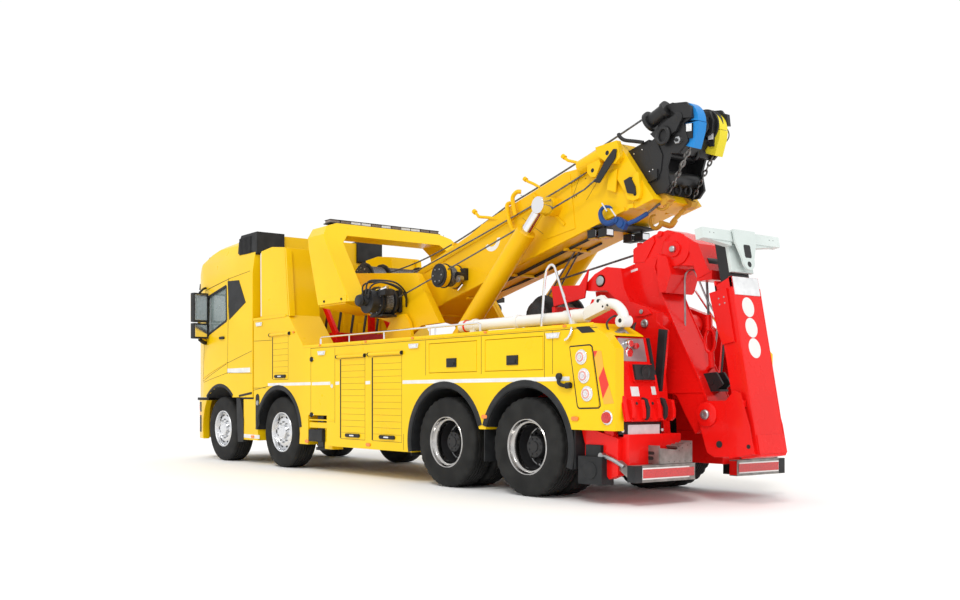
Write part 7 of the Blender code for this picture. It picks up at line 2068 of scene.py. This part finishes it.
for sign, side_name in ((1.0, "left"), (-1.0, "right")):
    kit = Shape(RED)
    on_cabinet(kit, oblong(0.6, 1.16, 0.83, 1.655), 0.006, sign=sign)
    for y0, y1 in ((0.603, 0.64), (1.1, 1.15)):
        on_cabinet(kit, oblong(y0, y1, 0.83, 1.655), 0.02, sign=sign)
    on_cabinet(kit, oblong(0.66, 0.96, 1.215, 1.395), 0.035, sign=sign)
    kit.use(CHECKER)
    on_cabinet(kit, oblong(0.69, 1.06, 1.415, 1.648), 0.01, sign=sign)
    kit.use(PLATE)
    on_cabinet(kit, oblong(0.885, 1.0, 1.07, 1.165), 0.01, sign=sign)
    kit.use(GREYBAR)
    on_cabinet(kit, oblong(0.6, 0.7, 1.085, 1.168), 0.01, sign=sign)
    kit.use(TRIM)
    on_cabinet(kit, oblong(0.612, 0.645, 1.285, 1.655), 0.028, sign=sign)
    on_cabinet(kit, oblong(0.672, 0.948, 1.232, 1.384), 0.06, sign=sign)
    kit.use(BLACK_MESH_AND_SHADE)
    x = cabinet_x(1.31)
    kit.disc((x - 0.058, 0.805 * sign, 1.308),
        [(0.0, 0.0), (0.058, 0.0), (0.066, 0.012), (0.058, 0.016), (0.04, 0.004), (0.0, 0.01)], 26, axis="X",
        sign=-1.0)
    kit.use(CHROME)
    x = cabinet_x(1.55)
    kit.disc((x - 0.004, 0.935 * sign, 1.59),
        [(0.0, 0.0), (0.04, 0.0), (0.044, 0.02), (0.036, 0.045), (0.0, 0.045)], 20, axis="X", sign=-1.0)
    kit.disc((x - 0.006, 0.93 * sign, 1.495),
        [(0.0, 0.0), (0.05, 0.0), (0.05, 0.016), (0.04, 0.024), (0.0, 0.024)], 24, axis="X", sign=-1.0)
    kit.use(LENS_RED)
    kit.disc((x - 0.006, 0.835 * sign, 1.57),
        [(0.0, 0.0), (0.03, 0.0), (0.032, 0.03), (0.022, 0.04), (0.0, 0.04)], 18, axis="X", sign=-1.0)
    kit.disc((x - 0.006, 0.93 * sign, 1.495), [(0.052, 0.0), (0.06, 0.004), (0.06, 0.014), (0.052, 0.018)], 24,
        axis="X", sign=-1.0)
    kit.use(RED)
    for y0, y1 in ((1.03, 1.075), (0.88, 0.925), (0.79, 0.835), (0.65, 0.695), (0.44, 0.48)):
        kit.side([(cabinet_x(1.04) + 0.02, 1.045), (cabinet_x(1.04) - 0.055, 1.035), (-1.325, 0.935),
            (-1.325, 0.86), (-1.285, 0.825), (-1.235, 0.825)], y0 * sign, y1 * sign)
    kit.use(BLACK_MESH_AND_SHADE)
    for y in (0.852, 0.59):
        kit.side([(-1.255, 1.06), (-1.3, 1.045), (-1.335, 0.96), (-1.33, 0.87), (-1.3, 0.835), (-1.285, 0.85),
            (-1.305, 0.9), (-1.3, 0.96), (-1.27, 1.01)], (y - 0.022) * sign, (y + 0.022) * sign)
    kit.use(CAST)
    for y in (0.975, 0.745):
        kit.rod((-1.285, y * sign, 1.0), (-1.293, y * sign, 1.002), 0.016, 10)
    kit.use(STEEL)
    kit.tube(curve([(-1.08, 1.02 * sign, 1.7), (-1.06, 0.94 * sign, 1.74), (-1.09, 0.86 * sign, 1.68)], 5),
        0.016, 7)
    kit.rod((-1.07, 1.05 * sign, 1.68), (-1.07, 0.92 * sign, 1.72), 0.028, 10)
    kit.rod((-1.06, 0.9 * sign, 1.8), (-1.06, 0.93 * sign, 1.8), 0.05, 18)
    kit.use(HOSE)
    kit.tube(curve([(-1.05, 0.92 * sign, 1.8), (-1.04, 1.0 * sign, 1.87), (-1.02, 1.1 * sign, 1.8),
        (-1.04, 1.08 * sign, 1.7), (-1.07, 1.03 * sign, 1.68)], 5), 0.011, 6)
    kit.tube(curve([(-1.0, 0.7 * sign, 1.66), (-0.98, 0.66 * sign, 1.78), (-0.9, 0.55 * sign, 1.82),
        (-0.8, 0.5 * sign, 1.78)], 5), 0.013, 6)
    kit.done(f"cabinet_fittings_{side_name}", "chassis", bevel=0.003)

# %% [markdown]
# Below the cabinets hang plain plates with their lamps, the frame's rear legs and a black box
# at each corner. They sit low, where little of them shows, so blocks and plates are enough.

# %% Low tail fittings
legs = ((-0.72, 0.78), (-1.215, 0.66), (-1.215, 0.3), (-1.1, 0.255), (-0.78, 0.6))
low = Shape(BLACK)
for sign in (1.0, -1.0):
    low.box((-1.16, 0.55 * sign, 0.67), (-1.235, 1.1 * sign, 0.815))
low.use(PLATE)
low.box((-1.235, 0.585, 0.688), (-1.243, 1.045, 0.792))
low.use(LENS)
for y in (1.12, 0.55):
    low.rod((-1.235, y, 0.735), (-1.25, y, 0.735), 0.016, 10)
low.use(RED)
low.side(legs, 1.06, 1.16)
low.side(legs, -1.16, -1.06)
for sign in (1.0, -1.0):
    low.box((-1.02, 1.02 * sign, 0.64), (-1.14, 1.14 * sign, 0.84))
low.use(TRIM)
for sign in (-1.0, 1.0):
    low.box((-0.76, 1.06 * sign, 0.195), (-1.075, 1.235 * sign, 0.475))
    low.box((-0.83, 1.1 * sign, 0.47), (-1.03, 1.2 * sign, 0.59))
    low.disc((-0.92, 1.235 * sign, 0.335), [(0.0, 0.0), (0.09, 0.0), (0.086, 0.008), (0.0, 0.01)], 24,
        sign=sign)
low.done("tail_low_fittings", "chassis", bevel=0.006, segments=2)

# %% [markdown]
# Two short alloy bumpers carry red and white reflectors. They are open channels, so each is a web
# with two flanges. The left one reaches a little nearer to the middle than the right.

# %% Bumpers
bumpers = Shape(MILL)
for sign, y0 in ((-1.0, -0.372), (1.0, 0.3)):
    y1 = 1.178 * sign
    bumpers.box((-1.35, y0, 0.243), (-1.447, y1, 0.256))
    bumpers.box((-1.35, y0, 0.394), (-1.447, y1, 0.407))
    bumpers.box((-1.438, y0, 0.25), (-1.446, y1, 0.4))
    bumpers.side([(-1.15, 0.47), (-1.21, 0.45), (-1.4, 0.33), (-1.4, 0.26), (-1.33, 0.27), (-1.14, 0.4)],
        1.1 * sign, 1.135 * sign)
    bumpers.use(WHITE)
    bumpers.box((-1.4465, y0 + (0.09 if sign > 0 else -0.03), 0.27), (-1.4485, y1 - 0.1 * sign, 0.382))
    bumpers.use(LENS_RED)
    bumpers.box((-1.448, y0 + 0.02 * sign, 0.283), (-1.4505, y1 - 0.105 * sign, 0.369))
    bumpers.use(TRIM)
    bumpers.box((-1.352, y1 - 0.095 * sign, 0.244), (-1.45, y1 + 0.006 * sign, 0.406))
    bumpers.use(STEEL)
    bumpers.tube(curve([(-1.05, 1.19 * sign, 0.485), (-1.11, 1.19 * sign, 0.475), (-1.18, 1.17 * sign, 0.445),
        (-1.27, 1.14 * sign, 0.39)], 4), 0.022, 8)
    bumpers.rod((-1.04, 1.16 * sign, 0.485), (-1.04, 1.215 * sign, 0.485), 0.032, 12)
    bumpers.use(MILL)
bumpers.box((-1.3, -0.62, 0.408), (-1.42, -1.1, 0.425))
bumpers.done("bumper_faces", "chassis", bevel=0.002)

# %% [markdown]
# A folded alloy step hangs at the left of the tail. Its back plate has a sloping top edge, and a grid
# of round bars makes the tread.

# %% Tail step
step = Shape(MILL)
step.front([(0.812, 0.41), (0.33, 0.41), (0.33, 0.626), (0.47, 0.6), (0.57, 0.545), (0.812, 0.566)], -1.428,
    -1.4345)
step.box((-1.14, 0.806, 0.41), (-1.43, 0.822, 0.59))
step.box((-1.18, 0.33, 0.41), (-1.43, 0.337, 0.628))
step.box((-1.18, 0.33, 0.41), (-1.43, 0.812, 0.418))
for k in range(4):
    y = 0.35 + 0.062 * k
    step.rod((-1.19, y, 0.6 - 0.01 * k), (-1.43, y, 0.6 - 0.01 * k), 0.018, 8)
step.box((-1.19, 0.337, 0.575), (-1.43, 0.56, 0.582))
# Slots and holes in the step: painted shade.
step.use(OPENING_SHADOW)
for z, half_length, half_height in ((0.515, 0.06, 0.016), (0.465, 0.05, 0.018)):
    step.side(pill(-1.315, z, half_length, half_height), 0.8215, 0.8232)
for y, z in ((0.4, 0.585), (0.48, 0.56), (0.53, 0.535), (0.36, 0.43), (0.44, 0.43), (0.52, 0.43), (0.6, 0.43),
        (0.68, 0.43), (0.36, 0.6)):
    step.rod((-1.4345, y, z), (-1.4352, y, z), 0.006, 6)
step.done("tail_step_box", "chassis", bevel=0.002)

# %% [markdown]
# A white tow bar lies along the left side of the deck: a long tube with clamps, a forged end and a
# bent coupling. The clamps are short thicker tubes round it.

# %% Tow bar fittings
BAR_Y, BAR_Z = 0.95, 1.9
tow = Shape(WHITE)
tow.tube([(1.4, BAR_Y, BAR_Z), (1.33, BAR_Y, BAR_Z)], 0.07, 20)
tow.tube([(-0.3, BAR_Y, BAR_Z), (-0.62, BAR_Y, 1.905)], 0.074, 20)
tow.side([(-0.58, 1.965), (-0.8, 2.045), (-0.87, 2.035), (-0.9, 1.985), (-0.885, 1.94), (-0.6, 1.85)], 0.905,
    1.0)
tow.side([(-0.72, 2.02), (-0.755, 2.08), (-0.83, 2.095), (-0.885, 2.05), (-0.88, 2.0)], 0.925, 0.98)
tow.tube(curve([(-0.84, BAR_Y, 2.005), (-0.95, BAR_Y, 2.0), (-1.03, BAR_Y, 1.965), (-1.085, BAR_Y, 1.905),
    (-1.105, BAR_Y, 1.84)], 5), 0.052, 12)
tow.disc((-1.105, 0.885, 1.815), [(0.0, 0.0), (0.06, 0.0), (0.06, 0.13), (0.0, 0.13)], 20)
# Holes in the tow bar's end: discs of painted shade.
tow.use(OPENING_SHADOW)
for x, z, radius in ((-0.805, 2.035, 0.02), (-0.93, 1.985, 0.014), (-0.87, 1.975, 0.014)):
    tow.rod((x, 0.978, z), (x, 1.0015, z), radius, 12)
tow.rod((-1.11, 1.01, 1.818), (-1.11, 1.0165, 1.818), 0.024, 14)
tow.use(WHITE)
for x in (1.15, 0.42, -0.45):
    tow.tube([(x + 0.025, BAR_Y, BAR_Z), (x - 0.025, BAR_Y, BAR_Z)], 0.078, 20)
tow.use(RED)
for x in (1.3, -0.34):
    tow.tube([(x + 0.012, BAR_Y, BAR_Z), (x - 0.012, BAR_Y, BAR_Z)], 0.073, 20)
tow.done("tow_bar_fittings", "chassis", bevel=0.004)

# %% [markdown]
# Under the boom stands the drag winch, between two bearing blocks. Its drum is wound like the others.

# %% Drag winch
DRAG_X, DRAG_Z = 0.78, 2.02
deck = Shape(ROPE)
wound(deck, (DRAG_X, 0.0, DRAG_Z), -0.185, 0.185, 0.17, 0.022)
deck.use(CAST)
for sign in (-1.0, 1.0):
    deck.disc((DRAG_X, 0.36 * sign, DRAG_Z), [(0.0, 0.0), (0.1, 0.0), (0.092, 0.014), (0.0, 0.014)], 22,
        sign=sign)
    deck.box((0.98, 0.21 * sign, 1.36), (0.6, 0.4 * sign, 1.8))
    deck.tube([(DRAG_X, 0.2 * sign, DRAG_Z), (DRAG_X, 0.235 * sign, DRAG_Z)], 0.245, 28)
deck.done("drag_winch_detail", "chassis", bevel=0.004)

# %% [markdown]
# Red frames stand on the deck behind the cab and beside the drag winch. They are square bars and cut
# plates, and they fill what would otherwise be an empty gap seen from above.

# %% Deck frames
HORN = ((0.5, 2.34), (0.06, 2.31), (-0.08, 2.48), (-0.02, 2.16), (0.46, 2.1))
BRACE = ((5.49, 2.96), (5.49, 2.84), (4.9, 1.98), (4.78, 1.98))
DECK = 1.312
red_deck = Shape(RED)
red_deck.side(HORN, 0.348, 0.372)
red_deck.side(HORN, -0.372, -0.348)
red_deck.box((0.5, -0.36, 1.3), (0.44, 0.36, 2.1))
for sign in (1.0, -1.0):
    red_deck.box((5.56, 0.52 * sign, DECK), (5.48, 0.62 * sign, 3.02))
red_deck.box((5.55, -0.62, 2.94), (5.49, 0.62, 3.02))
red_deck.side(BRACE, 0.5, 0.56)
red_deck.side(BRACE, -0.56, -0.5)
red_deck.box((4.95, -0.6, DECK), (4.75, 0.6, 2.02))
red_deck.done("deck_frames", "chassis", bevel=0.006)

# %% [markdown]
# Hydraulic hoses loop behind the cab in their dozens. A few rows of them are enough, each loop a
# little out of line with the next, because hoses that are exactly parallel look drawn.

# %% Deck hoses and boxes
clutter = Shape(TRIM)
for k in range(9):
    y = -0.72 + 0.18 * k
    clutter.tube(curve([(4.72, y, 1.38), (4.66, y + 0.03, 1.52), (4.45, y - 0.02, 1.6), (4.25, y + 0.04, 1.52),
        (4.2, y, 1.36)], 5), 0.019, 7)
clutter.use(HOSE)
for k in range(6):
    y = -0.6 + 0.24 * k
    clutter.tube(curve([(5.44, y, 1.35), (5.38, y + 0.04, 2.0), (5.42, y - 0.05, 2.5), (5.46, y, 2.85)], 5),
        0.022, 7)
clutter.use(STEEL)
for x, y in ((2.95, 0.9), (2.6, 0.86), (1.85, 0.88)):
    clutter.box((x - 0.1, y - 0.08, DECK), (x + 0.1, y + 0.08, 1.6))
clutter.use(HOOK)
clutter.tube(curve([(1.75, 0.76, 1.6), (1.66, 0.77, 1.85), (1.52, 0.78, 1.98), (1.4, 0.77, 1.86),
    (1.44, 0.76, 1.6)], 5), 0.026, 8)
clutter.done("deck_hoses", "chassis", bevel=0.003)

# %% [markdown] Last, the box round the model's solids and the box round everything that is shown are
# written down, so that one can see how far the dressing reaches past the model.

# %% Sizes and the table of pieces
visual_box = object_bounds()
boxes = {"cad_box": cad_box, "visual_box": visual_box}
sizes = {name: [[float(n) for n in corner] for corner in box] for name, box in boxes.items()}
print("sizes", sizes)
